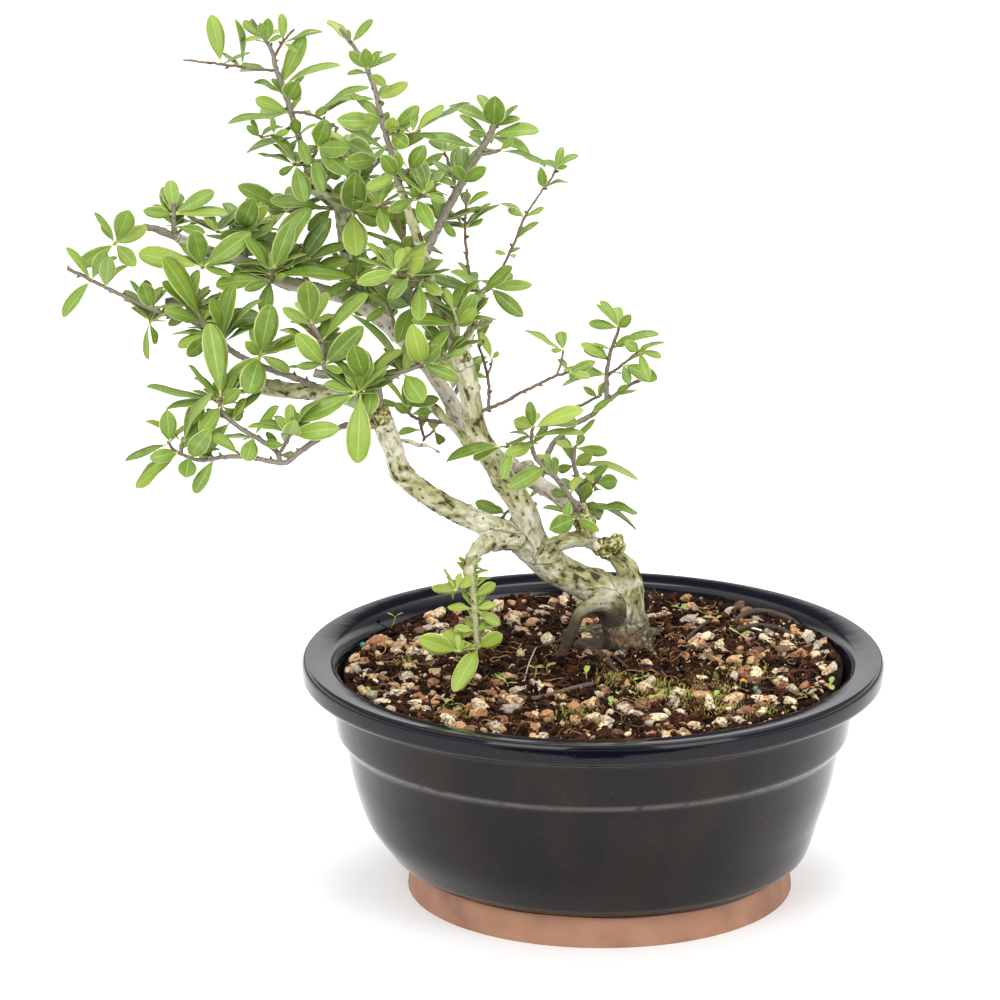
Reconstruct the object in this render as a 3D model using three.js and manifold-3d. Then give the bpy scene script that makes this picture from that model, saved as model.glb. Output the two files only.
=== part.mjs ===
// A firethorn bonsai: an old tree that leans to the left in a round glazed pot.
// Millimetres, +Z up. The front, which the tree is trained for, faces -Y.
// The origin is the centre of the pot's flat underside.

import * as THREE from 'three';
import { mergeVertices } from 'three/addons/utils/BufferGeometryUtils.js';
import Module from 'manifold-3d';

const wasm = await Module();
wasm.setup();

// Driving dimensions of the pot
const RIM_RADIUS = 126;
const POT_HEIGHT = 104.5;
const RIM_DEPTH = 10.5;
const RIM_CORNER = 2.2;
const MOUTH_RADIUS = 111.8;
const LEDGE_RADIUS = 112.4;
const BODY_RADIUS = 108;
const LEDGE_BOTTOM = 70;
const SHOULDER_RADIUS = 93;
const SHOULDER_HEIGHT = 22;
const FOOT_RADIUS = 84;
const FOOT_TOP_RADIUS = 82.2;
const FOOT_HEIGHT = 14;
const FOOT_CHAMFER = 0.4;
const FLOOR_TOP = 10;
const POT_SIDES = 40;

// The body was thrown a little to the left of its foot: how far, and between which heights it comes in
const BODY_OFFSET = -3.3;
const OFFSET_FROM = 14;
const OFFSET_TO = 36;

// The pot's inside, from the soil's edge down to the floor: radius and height
const POT_INSIDE = [[108.5, 96], [103.4, 72], [97, 50], [88, 28], [80, 13.5], [76, 10]];

// The drain holes, and the mesh screens that lie over them
const DRAIN_RADIUS = 8;
const DRAIN_CIRCLE = 42;
const DRAIN_COUNT = 3;
const DRAIN_SIDES = 12;
const SCREEN_WIDTH = 24;
const SCREEN_THICKNESS = 1.2;
const SCREEN_PITCH = 9;
const SCREEN_HOLE = 6;

// The soil
const SOIL_AT_WALL = 96.5;
const SOIL_MOUND = 3.5;
const SOIL_GRIT = 0.8;
const SOIL_SIDES = 24;
const SOIL_RINGS = 5;
const SOIL_GAP = 0.4;
const SOIL_BOTTOM = 11.9;
const SOIL_FLOOR_RADIUS = 76;
const MOUND_CENTRE = [11, 27];

// Room left between two pieces that touch
const GAP = 0.3;

// The front view, in which the tree's places are given: a viewer far off on the -Y side, looking a little down
const VIEW_SLOPE = THREE.MathUtils.degToRad(16.08);
const VIEW_DISTANCE = 2600;
const VIEW_TARGET = new THREE.Vector3(-43.56, 0, 174);
const VIEW_FORWARD = new THREE.Vector3(0, Math.cos(VIEW_SLOPE), -Math.sin(VIEW_SLOPE));
const VIEWER = VIEW_TARGET.clone().addScaledVector(VIEW_FORWARD, -VIEW_DISTANCE);
// The places are measured from a line this far to the right of the foot's centre
const VIEW_LINE = -2;

// Leaves: shares of their length and of their widest half
const LEAF_SLENDERNESS = 2.8;
const LEAF_THICKNESS = 1.1;
const LEAF_FOLD = 0.2;
const LEAF_DROOP = 0.12;
const STALK_WIDTH = 1;
const MIDDLE_ALONG = 0.48;
const MIDDLE_SHARE = 0.8;
const WIDEST_ALONG = 0.8;
const WIDEST_SHARE = 0.96;

// How a leaf may stand: to the viewer or from it, by how much more than it must, and which way it turns
const LEAF_STANDS = [
  { to: 1, more: 0, turn: 1 }, { to: -1, more: 0, turn: 1 }, { to: 1, more: 0.3, turn: 1 }, { to: -1, more: 0.3, turn: 1 },
  { to: 1, more: 0.1, turn: -1 }, { to: -1, more: 0.1, turn: -1 }, { to: 1, more: 0.6, turn: 1 },
  { to: -1, more: 0.6, turn: 1 }, { to: 1, more: 0.8, turn: 1 }, { to: -1, more: 0.8, turn: 1 },
];
const STEEPEST_TILT = 1.05;
const LEAF_SWAY = 0.5;
const LEAF_CLEARANCE = 0.15;
const OUTER_PART = 0.32;

const SMALLEST_LEAF = 48;
const SHORTEST_EDGES = [0.25, 0.2, 0.3, 0.15, 0.1, 0.05];
const SEED = 20260;

// Sides of a limb, and of a twig
const TRUNK_SIDES = 10;
const LIMB_SIDES = 6;
const TWIG_SIDES = 4;
const ROOT_SIDES = 5;

// The old wood. Each point is x and z as the front view shows it, depth behind the pot's axis, and radius.
const TRUNK = [
  [13, 90, 27, 13], [14, 99, 27, 13], [14, 108, 26.5, 11.2], [12.5, 118, 25.5, 10.3], [9, 127, 24, 9.8],
  [2, 133.5, 22, 8.4], [-7, 138, 20, 7.3], [-16, 142.5, 18, 7.3], [-24, 149, 15, 7.4], [-31, 155, 12.5, 6.6],
];
const LIMBS = [
  // The front limb, up to its rough cut end, and its pale continuation to the left
  [[-28, 154, 13, 6.2], [-38, 158.5, 8, 6], [-47, 162.5, 4, 5.3], [-56, 167, 0, 5], [-65, 171.5, -4, 4.8],
    [-73, 176.5, -8, 4.6], [-80, 182, -11, 4.6], [-85, 188.5, -14, 4.6], [-87, 196, -17, 4.4],
    [-89.5, 203, -20, 4.7], [-92, 210, -22, 4.6], [-94, 214, -23, 4.2]],
  [[-91, 208, -22, 3.4], [-99, 216, -21, 3.8], [-109, 220.5, -18, 3.7], [-120, 222, -14, 3.6],
    [-130, 222.5, -11, 3.6], [-140, 224, -8, 3.6], [-149, 226, -6, 3.4], [-157, 230, -4, 2.6]],
  // The main upright, its thin mossy leader with a lichened stub, and the leader that leans left
  [[-26, 151, 14, 6.2], [-28, 160, 11, 5.8], [-32, 170, 9, 5.7], [-37.5, 180, 7, 5.6], [-43.5, 190, 5, 5.2],
    [-49.5, 200, 3.5, 5], [-52.5, 210, 2.5, 4.6], [-54, 220, 1, 4.6], [-56, 230, -1, 4.7], [-58.5, 238, -2, 4.2]],
  [[-57, 236, -2, 2.6], [-56, 243, -1, 2.1], [-54, 250, 0, 2], [-52, 258, 2, 1.7], [-50, 264, 3, 1.5]],
  [[-53.5, 250, 0, 1.3], [-49, 252, -2, 1.2], [-45, 254, -3, 1.1]],
  [[-58, 235, -2, 3.2], [-62, 244, -4, 3], [-66, 254, -6, 2.8], [-70, 264, -7, 2.7], [-72, 274, -8, 2.6],
    [-74.5, 284, -9, 2.5], [-78, 294, -10, 2.2], [-81, 303, -11, 1.9], [-84, 312, -11, 1.6]],
  // The pale limb that rises behind the upright and runs on to the left, and the leader that stands on it
  [[-4, 158, 10, 3.4], [-8, 168, 13, 3.6], [-15, 174, 18, 3.7], [-24, 180.5, 23, 3.7], [-34, 187, 27, 3.7],
    [-45, 195.5, 29, 3.6], [-55, 204, 30, 3.6], [-60.5, 213, 31, 3.6], [-65, 222, 31, 3.5], [-71, 231, 31, 3.4],
    [-79, 241, 31, 3.3], [-88, 250, 31, 3.3], [-97, 258, 30, 3.2], [-106, 263.5, 29, 3.2], [-118, 266.5, 27, 3.2],
    [-130, 269.5, 25, 3], [-140, 273.5, 23, 2.8], [-152, 279.5, 21, 2.7], [-164, 283.5, 18.5, 2.6],
    [-174, 287.5, 16, 2.5], [-180, 291, 14.5, 2]],
  [[-34, 187, 27, 3.4], [-28, 189.5, 21, 2.6]],
  [[-95, 256.5, 30, 2.7], [-101, 266, 33, 2.6], [-105, 277, 35, 2.6], [-108, 288, 35, 2.5], [-109, 298, 34, 2.5],
    [-110, 304.5, 33, 2.5], [-114, 308.5, 31, 2.5], [-119, 310, 30, 2.4], [-121.5, 314, 29, 2.3], [-123, 321, 28, 1.9]],
  // The right shoulder and the level limb, which meet and close a window, with the burr and knobs where they meet
  [[13, 126, 24, 8.5], [14.5, 136, 22.5, 5.6], [13, 143, 20.5, 4.8], [8.5, 148.5, 17, 3.8], [2, 152.5, 13.5, 3.2],
    [-4, 156, 10.5, 3.2]],
  [[-26, 151, 14, 4.2], [-18, 154, 11, 3.5], [-11, 156, 10, 3.4], [-4, 156.5, 9.5, 3.3]],
  [[3, 152.5, 13, 2.8], [7.5, 154, 12, 2.7], [11, 154.5, 11, 2.6]],
  [[-4, 156, 10, 3.4], [-4, 162, 9.5, 4.2], [-6, 167.5, 9, 3], [-7.5, 170, 8.5, 2]],
  // The short limb that bends down over the pot, and two bare stubs behind the fork
  [[-34, 157, 10, 5.5], [-42, 156.5, 4, 4.9], [-48, 154.5, -3, 4.1], [-52, 150.5, -8, 3.2], [-54.5, 145.5, -11, 2.6],
    [-55, 140, -13.5, 2.2]],
  [[-54, 198, 5, 2.2], [-60, 205, 11, 1.9], [-66, 211, 14, 1.8], [-72, 217, 16, 1.6]],
  [[-87, 200, -17, 1.1], [-82, 200.5, -10, 1], [-76, 198.5, -6, 0.9], [-71, 197.5, -3, 0.9], [-67.5, 195, -1, 0.9]],
];
const ROOTS = [
  [[6, 127, 20, 4.2], [-2, 126.5, 12, 3.4], [-7, 123, 8, 2.8], [-10, 116, 7, 2.6], [-13, 109, 8, 2.5],
    [-16, 102, 9, 2.3], [-17, 94, 9, 2]],
  [[2, 108, 24, 4], [-8, 108.5, 22, 2.4], [-1, 105, 14, 2.4], [5, 101, 2, 2.2], [8, 96, -8, 1.8]],
  [[18, 110, 24, 4.6], [23, 104.5, 17, 3.2], [27, 100, 10, 2.4], [30, 95.5, 4, 1.8]],
  [[16, 112, 34, 6], [23, 113, 44, 4], [32, 112, 54, 2.6]],
  [[8, 112, 34, 6], [-4, 114, 44, 3.8], [-14, 113, 54, 2.6]],
];

// The curled root that lies on the soil at the right
const CURLED_ROOT = [
  [[57, 110.5, 46, 1.3], [59, 117, 58, 1.4], [63, 122, 67, 1.5], [69, 124, 70, 1.5], [76, 123, 68, 1.5],
    [83, 120.5, 62, 1.4], [88, 116.5, 55, 1.3], [91, 110.5, 46, 1.2]],
  [[57.5, 111.5, 46, 1.2], [60, 114.5, 47, 1.2], [64, 116.5, 50, 1.3], [70, 117.5, 54, 1.3], [77, 116.5, 52, 1.3],
    [83, 114, 46, 1.2], [86.5, 110, 38, 1.1], [88, 105, 29, 1]],
];

// The leafy shoots. Twigs are given as the limbs are. A tuft is its x, z and depth, then for each of its leaves
// the x and z of the tip and the width, all as the front view shows them.
const SHOOTS = [
  {
    name: 'shoot_leader_left',
    twigs: [
      [[-122.5, 320, 28, 1.6], [-124.5, 327, 27.5, 1.5], [-127, 335, 27, 1.4], [-130, 345, 27, 1.3], [-133, 355, 26, 1.2],
        [-136, 363, 25, 1.1], [-137, 369, 25, 1], [-140, 375, 24, 0.9], [-146, 384, 23, 0.8]],
      [[-137, 368, 25, 0.7], [-132.5, 375, 22, 0.6], [-128, 380, 20, 0.5]],
      [[-136, 362, 25, 0.7], [-145, 363, 26.5, 0.6], [-159, 365, 29.5, 0.6], [-175, 367, 32, 0.5]],
      [[-129, 339, 27, 0.6], [-136, 335, 24, 0.5], [-143, 333.5, 22, 0.4]],
      [[-130, 344.5, 27, 0.7], [-122, 343.5, 20, 0.6], [-116, 341, 12, 0.6], [-110, 337.5, 5, 0.5]],
      [[-123.5, 323, 28, 0.9], [-120, 326, 20, 0.8], [-119, 330, 14, 0.6]],
      [[-123.5, 322, 28, 0.8], [-127, 321.5, 22, 0.7], [-129, 322, 18, 0.6]],
    ],
    tufts: [
      [-159, 365, 29.5, [-162.5, 385.5, 7.5]],
      [-150, 364, 27.5, [-150.5, 385, 2.6]],
      [-139, 362.5, 25.5, [-150.5, 366, 2.6]],
      [-141, 376, 24, [-149.5, 383.5, 4.5], [-142.5, 383.5, 3.6], [-149, 375.5, 2.2]],
      [-139.5, 374, 24, [-139, 385, 5], [-133.5, 377.5, 2.2]],
      [-133, 374.5, 22.5, [-133, 386.5, 4.2], [-127, 371, 2]],
      [-133, 356, 26, [-124.5, 377, 7.5], [-110, 367, 3.4], [-131, 365, 4]],
      [-131.5, 350, 26.5, [-126, 358.5, 8.5], [-137, 359, 3], [-144.5, 358.5, 2.4]],
      [-130.5, 344, 27, [-144.5, 350, 5.8], [-156, 342.5, 3.2], [-146, 346, 8]],
      [-127, 334, 27, [-129, 342.5, 5], [-134, 325, 3.4], [-150, 329.5, 2.4], [-123.5, 325, 5]],
      [-137, 334.6, 23.6, [-137.5, 342, 2.6], [-131, 336, 3]],
      [-143, 333.5, 22, [-148.5, 338.5, 3], [-146, 341.5, 2.4]],
      [-120, 343, 18, [-98.5, 357.5, 3.2], [-106.5, 351, 2.8], [-114, 346.5, 3.6]],
      [-119, 329, 15, [-114.5, 342, 8.5], [-106.5, 329, 9], [-108, 320, 8.5]],
      [-120.5, 325, 21, [-117.5, 313.5, 6]],
      [-128, 321.7, 20, [-136, 317, 3.4], [-125, 308.5, 8], [-131.5, 328, 3.2]],
    ],
  },
  {
    name: 'shoot_crown_right',
    twigs: [
      [[-109, 301, 33, 1], [-106.5, 302, 25, 0.9], [-102, 301.5, 16, 0.8]],
    ],
    tufts: [
      [-104.5, 302, 20, [-102.5, 321.5, 11], [-103, 289, 10.5]],
      [-101.5, 301.5, 16, [-72.5, 296.5, 7.5], [-93, 306, 5], [-88, 297.5, 4]],
    ],
  },
  {
    name: 'shoot_crown_left',
    twigs: [
      [[-110, 302, 33, 0.9], [-120, 303, 35, 0.8], [-131, 301, 35, 0.7]],
    ],
    tufts: [
      [-113, 302.3, 34, [-121.5, 294.5, 6], [-137.5, 308.5, 4.8]],
      [-131, 301, 35, [-151.5, 313.5, 7.5], [-141, 303, 5]],
    ],
  },
  {
    name: 'shoot_crown_middle',
    twigs: [
      [[-117, 310, 30, 1], [-115, 315, 36, 0.8], [-110, 320, 40, 0.7], [-103, 325, 42, 0.6]],
    ],
    tufts: [
      [-114.5, 316, 36.5, [-108.5, 322, 7]],
      [-103, 325, 42, [-113, 332.5, 8], [-99, 332, 7], [-93, 323, 6], [-104, 314, 6]],
    ],
  },
  {
    name: 'shoot_leader_right',
    twigs: [
      [[-83, 309, -11, 1.5], [-86, 320, -11, 1.4], [-88.5, 330, -11, 1.3], [-91.5, 341, -11, 1.2], [-93.5, 351, -10, 1.1],
        [-96, 359, -10, 1.1], [-99, 366, -10, 1], [-103.5, 373, -9, 0.9], [-108.5, 380, -8, 0.8]],
      [[-96.5, 360, -10, 1.1], [-98.3, 367.5, -12, 1.2]],
      [[-90, 335, -11, 0.8], [-85, 335, -16, 0.7], [-79, 335, -20, 0.6], [-75, 336.5, -22, 0.5]],
      [[-85, 314, -11, 0.9], [-80, 319.5, -9, 0.7], [-78, 321.5, -7, 0.6]],
      [[-89, 324, -11, 0.8], [-91, 324.5, -4, 0.7], [-93, 324, 3, 0.6]],
    ],
    tufts: [
      [-104, 374, -9, [-106, 379, 3.2], [-96, 384.5, 3.8]],
      [-96.8, 363, -10.5, [-105, 370.5, 4.6], [-98.5, 373, 6], [-86, 370.5, 3.2], [-92.5, 371, 3.6]],
      [-96.5, 361, -10, [-106, 361.5, 2.4], [-91.5, 357.5, 4.4]],
      [-92.8, 350, -10, [-80.5, 357, 5.5], [-110, 351.5, 2.6], [-90, 346, 2.8]],
      [-92, 340, -11, [-109.5, 341, 8], [-98.5, 349, 4], [-99, 343, 4]],
      [-88, 335, -13, [-76, 347, 6], [-86.5, 343, 6], [-90.5, 342.5, 5.5], [-82.5, 331, 7]],
      [-78.5, 335, -20.3, [-66.5, 348, 4.2], [-57, 350.5, 2.8], [-77.5, 344, 3.6], [-67.5, 334, 2.8]],
      [-88, 327, -11, [-73.5, 335.5, 5], [-107, 341, 3.2]],
      [-86, 317, -11, [-92, 326.5, 7], [-97.5, 311.5, 5.2], [-84.5, 328, 5]],
      [-80, 319.5, -9, [-73, 330.5, 7], [-60, 314.5, 2.8], [-69, 311, 4.2], [-77, 309, 4]],
      [-93, 324, 3, [-104.5, 323, 7.5], [-106, 331.5, 9]],
    ],
  },
  {
    name: 'shoot_leader_low_right',
    twigs: [
      [[-82, 306, -11, 0.9], [-77, 307, -15, 0.8], [-73, 309, -18, 0.6]],
    ],
    tufts: [
      [-77, 307, -15, [-72.5, 298, 7], [-79, 312.5, 4.5], [-86, 303, 5]],
      [-73.5, 308.7, -18, [-65, 306, 3], [-70, 315, 3]],
    ],
  },
  {
    name: 'shoot_leader_low_left',
    twigs: [
      [[-82, 306, -11, 0.9], [-88, 305, -5, 0.8], [-94, 303, 0, 0.7]],
    ],
    tufts: [
      [-93, 303.5, -1, [-99, 309.5, 3.6], [-91, 296, 5.4]],
    ],
  },
  {
    name: 'shoot_top_right',
    twigs: [
      [[-73, 282, -8.5, 2.1], [-70, 290, -6, 2], [-66, 298, -3, 1.9], [-62, 306, 0, 1.8], [-57.5, 314, 3, 1.7],
        [-53.5, 321, 6, 1.6], [-49.5, 328, 8, 1.7], [-46, 334.5, 10, 1.5], [-43, 341, 11, 1.4]],
      [[-50.5, 326, 8, 1], [-45, 327, 6, 0.9], [-41.5, 328, 5, 0.7]],
      [[-63, 304, 0, 0.8], [-61, 311, 12, 0.8], [-62, 319, 24, 0.7], [-65, 327, 33, 0.6]],
    ],
    tufts: [
      [-44.3, 338, 10.6, [-43.5, 352.5, 9.8], [-62, 348.5, 5], [-33.5, 342.5, 3.4]],
      [-46.3, 334, 10, [-58, 344.5, 3.2], [-25.5, 338, 6], [-53.5, 335.5, 3.8], [-42.5, 331.5, 4.5], [-28, 328, 4.6]],
      [-49, 329, 8.3, [-72, 337, 4.4]],
      [-42, 328, 5, [-22, 323, 2.8], [-36, 332.5, 3.4]],
      [-57.5, 314, 3, [-47.5, 320.5, 5.6], [-61, 322.5, 6]],
      [-66.3, 297, -3.1, [-61.5, 291.5, 3.6]],
      [-61.5, 317, 21, [-55, 322, 4], [-68, 318, 4]],
      [-65, 327, 33, [-70, 333, 5], [-59, 332, 5], [-73, 322, 4]],
    ],
  },
  {
    name: 'shoot_right_crown',
    twigs: [
      [[-50.5, 262, 3, 1.4], [-49.3, 266, 3.6, 1.3], [-44.5, 269, 5, 1]],
      [[-50, 264.5, 3, 0.7], [-53, 270, 1, 0.7], [-55, 277, 0, 0.6], [-56, 286, 0, 0.6], [-56.5, 296, 0, 0.6],
        [-56, 303, 0, 0.5], [-55.5, 311, 0, 0.5]],
      [[-46, 268.5, 4.6, 0.7], [-41, 276, 5, 0.6], [-38, 282.5, 5, 0.6], [-35, 289, 6, 0.6], [-31.5, 298, 8, 0.6],
        [-28, 304, 9, 0.5], [-23, 311.5, 11, 0.5], [-19, 317, 12, 0.5], [-18, 321, 12, 0.4]],
    ],
    tufts: [
      [-50, 266, 3.4, [-72, 276, 5], [-37, 278, 5.6], [-62, 278, 3.2]],
      [-46, 268.3, 4.6, [-28, 270.5, 5.2], [-33, 256.5, 6.8], [-36.5, 274, 5]],
      [-51.5, 267.5, 2, [-58, 279.5, 2.4]],
      [-56, 303, 0, [-47, 310.5, 2.6], [-49.5, 300.5, 2.2]],
      [-56.5, 294, 0, [-49, 298.5, 2.2]],
      [-38, 282.5, 5, [-43.5, 284, 2], [-33.5, 281.5, 2]],
      [-35, 289, 6, [-31.5, 294, 3.2]],
      [-31, 298.8, 8.2, [-38, 302.5, 3.2], [-23.5, 303.5, 2.6]],
      [-23, 311.5, 11, [-24.5, 321.5, 4.4]],
      [-18.3, 320, 12, [-15.5, 328.5, 3.6], [-9, 326.5, 3.2], [-13.5, 321, 2.2]],
    ],
  },
  {
    name: 'shoot_mossy_hook',
    twigs: [
      [[-64, 248.5, -5, 1.3], [-61, 246.5, -11, 1.3], [-59.5, 250, -15, 1.1], [-60.5, 256, -17, 0.7], [-62.5, 260, -18, 0.5]],
    ],
    tufts: [
      [-59.7, 251.5, -15.2, [-79, 255.5, 5.6], [-52, 265.5, 6.2], [-52.5, 254, 3.2], [-51.5, 259, 5]],
      [-61.5, 258, -17.5, [-64.5, 266.5, 3.6]],
    ],
  },
  {
    name: 'shoot_inner_front',
    twigs: [
      [[-71, 268, -7.5, 0.9], [-75, 271, -20, 0.8], [-80, 273, -31, 0.7], [-86, 275, -39, 0.6]],
    ],
    tufts: [
      [-75.5, 271.3, -21, [-76, 259.5, 6.8], [-68, 266.5, 5]],
      [-80, 273, -31, [-74.5, 282, 5], [-88, 264, 5]],
      [-86, 275, -39, [-93.5, 277.5, 6.6], [-99.5, 271, 6], [-83, 284, 5]],
    ],
  },
  {
    name: 'shoot_inner_thin',
    twigs: [
      [[-78, 240, 30, 1.1], [-78.5, 249, 23, 1], [-79, 257, 18, 1], [-79.5, 266, 14, 0.9], [-81, 276, 12, 0.9],
        [-82, 285, 11, 0.8], [-84, 295, 11, 0.8], [-85.5, 300, 11, 0.7]],
    ],
    tufts: [
      [-82, 285, 11, [-91.5, 289, 4], [-91, 281, 6], [-80, 291.5, 3.6]],
      [-81.3, 278, 11.8, [-100, 279.5, 3.6]],
      [-80, 268, 13.5, [-91, 273, 5]],
      [-79.3, 260, 16.5, [-88, 262, 5], [-83, 250, 8]],
    ],
  },
  {
    name: 'shoot_centre_up',
    twigs: [
      [[-121, 267, 27, 1], [-124, 272, 22, 1], [-127, 277.5, 17, 0.9], [-126, 287, 13, 0.9]],
    ],
    tufts: [
      [-127, 278.5, 16.6, [-114.5, 298, 8], [-107, 288.5, 4.6], [-131.5, 286.5, 3.2]],
      [-125, 273.8, 20.5, [-107, 281.5, 5.2], [-117, 276, 4]],
    ],
  },
  {
    name: 'shoot_centre_back',
    twigs: [
      [[-98, 259, 30, 1], [-100, 266, 24, 0.8], [-103, 271.5, 20, 0.7]],
    ],
    tufts: [
      [-103, 271.5, 20, [-107, 280, 6.6], [-113.5, 266, 5], [-94, 274.5, 4.5]],
      [-99.5, 265, 25, [-92.5, 268.5, 5], [-107, 263, 5]],
    ],
  },
  {
    name: 'shoot_centre_middle',
    twigs: [
      [[-86, 248, 31, 1], [-88, 257, 22, 0.8], [-90, 262, 17, 0.6]],
    ],
    tufts: [
      [-89, 260, 18.5, [-97, 265, 5], [-84, 268, 5.5], [-96.5, 255, 4]],
    ],
  },
  {
    name: 'shoot_inner_left',
    twigs: [
      [[-138.5, 272, 23, 1.2], [-139, 273.5, 14, 1], [-138.8, 271, 7, 0.8], [-138, 276.5, 2, 0.7]],
    ],
    tufts: [
      [-138, 276, 2.5, [-130, 297, 8.2]],
      [-138.5, 273.5, 4.5, [-105, 276, 6.6], [-148, 290.5, 5]],
      [-138.8, 271.3, 8, [-162, 270.5, 7.2], [-148, 268, 4.4], [-133, 273.5, 3.2]],
      [-139, 273, 13, [-124.5, 303, 9.6], [-142, 258, 6.5]],
    ],
  },
  {
    name: 'shoot_left_back_top',
    twigs: [
      [[-149, 278, 22, 1.1], [-150, 286, 20, 0.9], [-151, 294, 18, 0.7]],
    ],
    tufts: [
      [-151, 294, 18, [-145, 310, 10], [-139.5, 304, 6], [-157, 303, 6]],
      [-150.3, 288, 19.5, [-138.5, 296.5, 4.4], [-137, 290.5, 6], [-159, 291.5, 4]],
    ],
  },
  {
    name: 'shoot_left_middle',
    twigs: [
      [[-169.5, 285.5, 17.5, 1], [-168.5, 281, 10, 0.9], [-168, 276.8, 3, 0.8]],
    ],
    tufts: [
      [-168, 277, 3.4, [-194.5, 284, 9], [-172, 295, 9], [-147.5, 292, 9.2], [-155.5, 274, 3.4]],
    ],
  },
  {
    name: 'shoot_left_top',
    twigs: [
      [[-177.5, 290, 15, 1.9], [-186, 293, 12, 1.6], [-193, 294.5, 9, 1.4], [-200, 291, 5, 0.8], [-205.5, 287, 2, 0.6]],
      [[-179.5, 291, 14.5, 1.4], [-180, 298, 13.5, 1.1], [-180, 305, 13, 1]],
      [[-178, 292, 15, 0.8], [-170, 296.5, 11, 0.6], [-160.5, 292, 7, 0.5]],
    ],
    tufts: [
      [-205, 287.4, 2.2, [-198, 303.5, 9], [-191.5, 294.5, 6], [-199, 280.5, 7], [-220, 278, 6.6], [-210, 296, 4.2]],
      [-180, 300, 13.4, [-163.5, 310.5, 6.6], [-157, 302.5, 4.4], [-191.5, 301.5, 5.2]],
      [-180, 295, 14, [-168, 292.5, 4.6], [-187.5, 305, 3.4]],
      [-161.5, 292.5, 7.3, [-167, 300, 2.8]],
    ],
  },
  {
    name: 'shoot_left_tip',
    twigs: [
      [[-111, 221, -17, 1.6], [-118, 223.5, -15, 1.5], [-127, 227.5, -16, 1.5], [-138, 231.5, -14, 1.4], [-148, 235.5, -10, 1.4],
        [-156, 240, -5, 1.4], [-162, 246, 0, 1.4], [-168, 252.5, 3, 1.5], [-173, 258.5, 6, 1.6], [-177, 262, 7, 1.6],
        [-184, 262, 8, 1.5]],
      [[-168, 252.5, 3, 1.2], [-178, 254.5, 0, 1.1], [-188, 258, -3, 1], [-200, 263.5, -6, 0.9], [-213, 270, -9, 0.8],
        [-225.5, 276.5, -12, 0.8]],
      [[-188, 258, -3, 0.5], [-191, 253, -5, 0.5]],
      [[-145, 234.5, -11, 0.8], [-144, 238.5, -15, 0.7]],
    ],
    tufts: [
      [-215.5, 271.3, -9.5, [-228.5, 256.5, 5.4], [-224.5, 286.5, 3.6], [-208.5, 285.5, 6.2]],
      [-209.5, 268.2, -8.2, [-207.5, 283.5, 7], [-201, 278.5, 2.2]],
      [-190, 259, -3.5, [-194, 271, 7.6]],
      [-191, 253, -5, [-193, 238.5, 2.8], [-187.5, 243, 3.2]],
      [-173, 258.3, 6, [-184.5, 271.5, 5.2], [-183, 251.5, 4.4], [-171, 276, 4.8], [-170.5, 268, 4]],
      [-168.5, 253, 3.3, [-182.5, 283.5, 8.2], [-143.5, 255.5, 8.8], [-158, 254.5, 7], [-183.5, 258.5, 5.6]],
      [-164, 248.5, 1.2, [-180, 243, 5], [-172, 241, 6.4]],
      [-160, 244, -1.6, [-156.5, 269.5, 7], [-145, 265, 2], [-163, 265, 4]],
      [-144, 238.3, -14.8, [-139, 261.5, 10], [-124.5, 247.5, 6], [-150.5, 244.5, 4.6], [-147.5, 227, 11],
        [-158.5, 226.5, 6.6], [-132, 232, 4.6]],
    ],
  },
  {
    name: 'shoot_front_low',
    twigs: [
      [[-94, 214, -22, 2.1], [-94, 223, -26, 2], [-98, 227.5, -29, 2], [-108, 229, -32, 1.9], [-121, 230.5, -35, 1.8]],
      [[-94, 224, -26.5, 1.5], [-88, 228.5, -26, 1.3], [-80, 232.5, -24, 1.2], [-71, 236, -20, 1], [-63, 238, -16, 0.8]],
      [[-116, 230, -34, 1], [-117.5, 238, -35, 1], [-118.5, 245.5, -34, 1.1], [-123.5, 254, -32, 1]],
      [[-118.5, 245.5, -34, 0.7], [-124, 249.5, -37, 0.6]],
      [[-101, 228, -30, 0.9], [-100.5, 223, -36, 0.8], [-103, 221.5, -41, 0.7]],
    ],
    tufts: [
      [-117, 234, -34.5, [-100, 251, 8.8], [-128.5, 248, 8.4], [-127.5, 233.5, 3.8], [-110.5, 231.5, 3.2]],
      [-118.3, 243.5, -34.4, [-100.5, 266.5, 5.8]],
      [-122, 251.5, -32.6, [-124, 273.5, 9.6], [-115.5, 266, 5.2], [-134, 259, 5]],
      [-99.5, 228, -29.5, [-105, 246, 9.6], [-85, 241.5, 4.2]],
      [-96, 226, -27.8, [-97.5, 216.5, 8], [-90, 234, 3.6]],
      [-101, 222.5, -37.5, [-102.5, 195, 10.6]],
      [-103, 221.5, -41, [-128, 211.5, 8.2], [-107, 210, 8], [-116.5, 226.5, 4.2]],
      [-83, 231, -24.8, [-100.5, 256.5, 4], [-76.5, 221, 9.8], [-78.5, 241, 4.4]],
      [-75, 234.3, -21.8, [-66.5, 243.5, 6.2], [-79.5, 253.5, 9.4], [-61, 228.5, 5.8], [-65, 249, 5]],
      [-65, 237.5, -17, [-56.5, 240.5, 3.2], [-62.5, 234.5, 3]],
    ],
  },
  {
    name: 'shoot_low_left',
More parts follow.
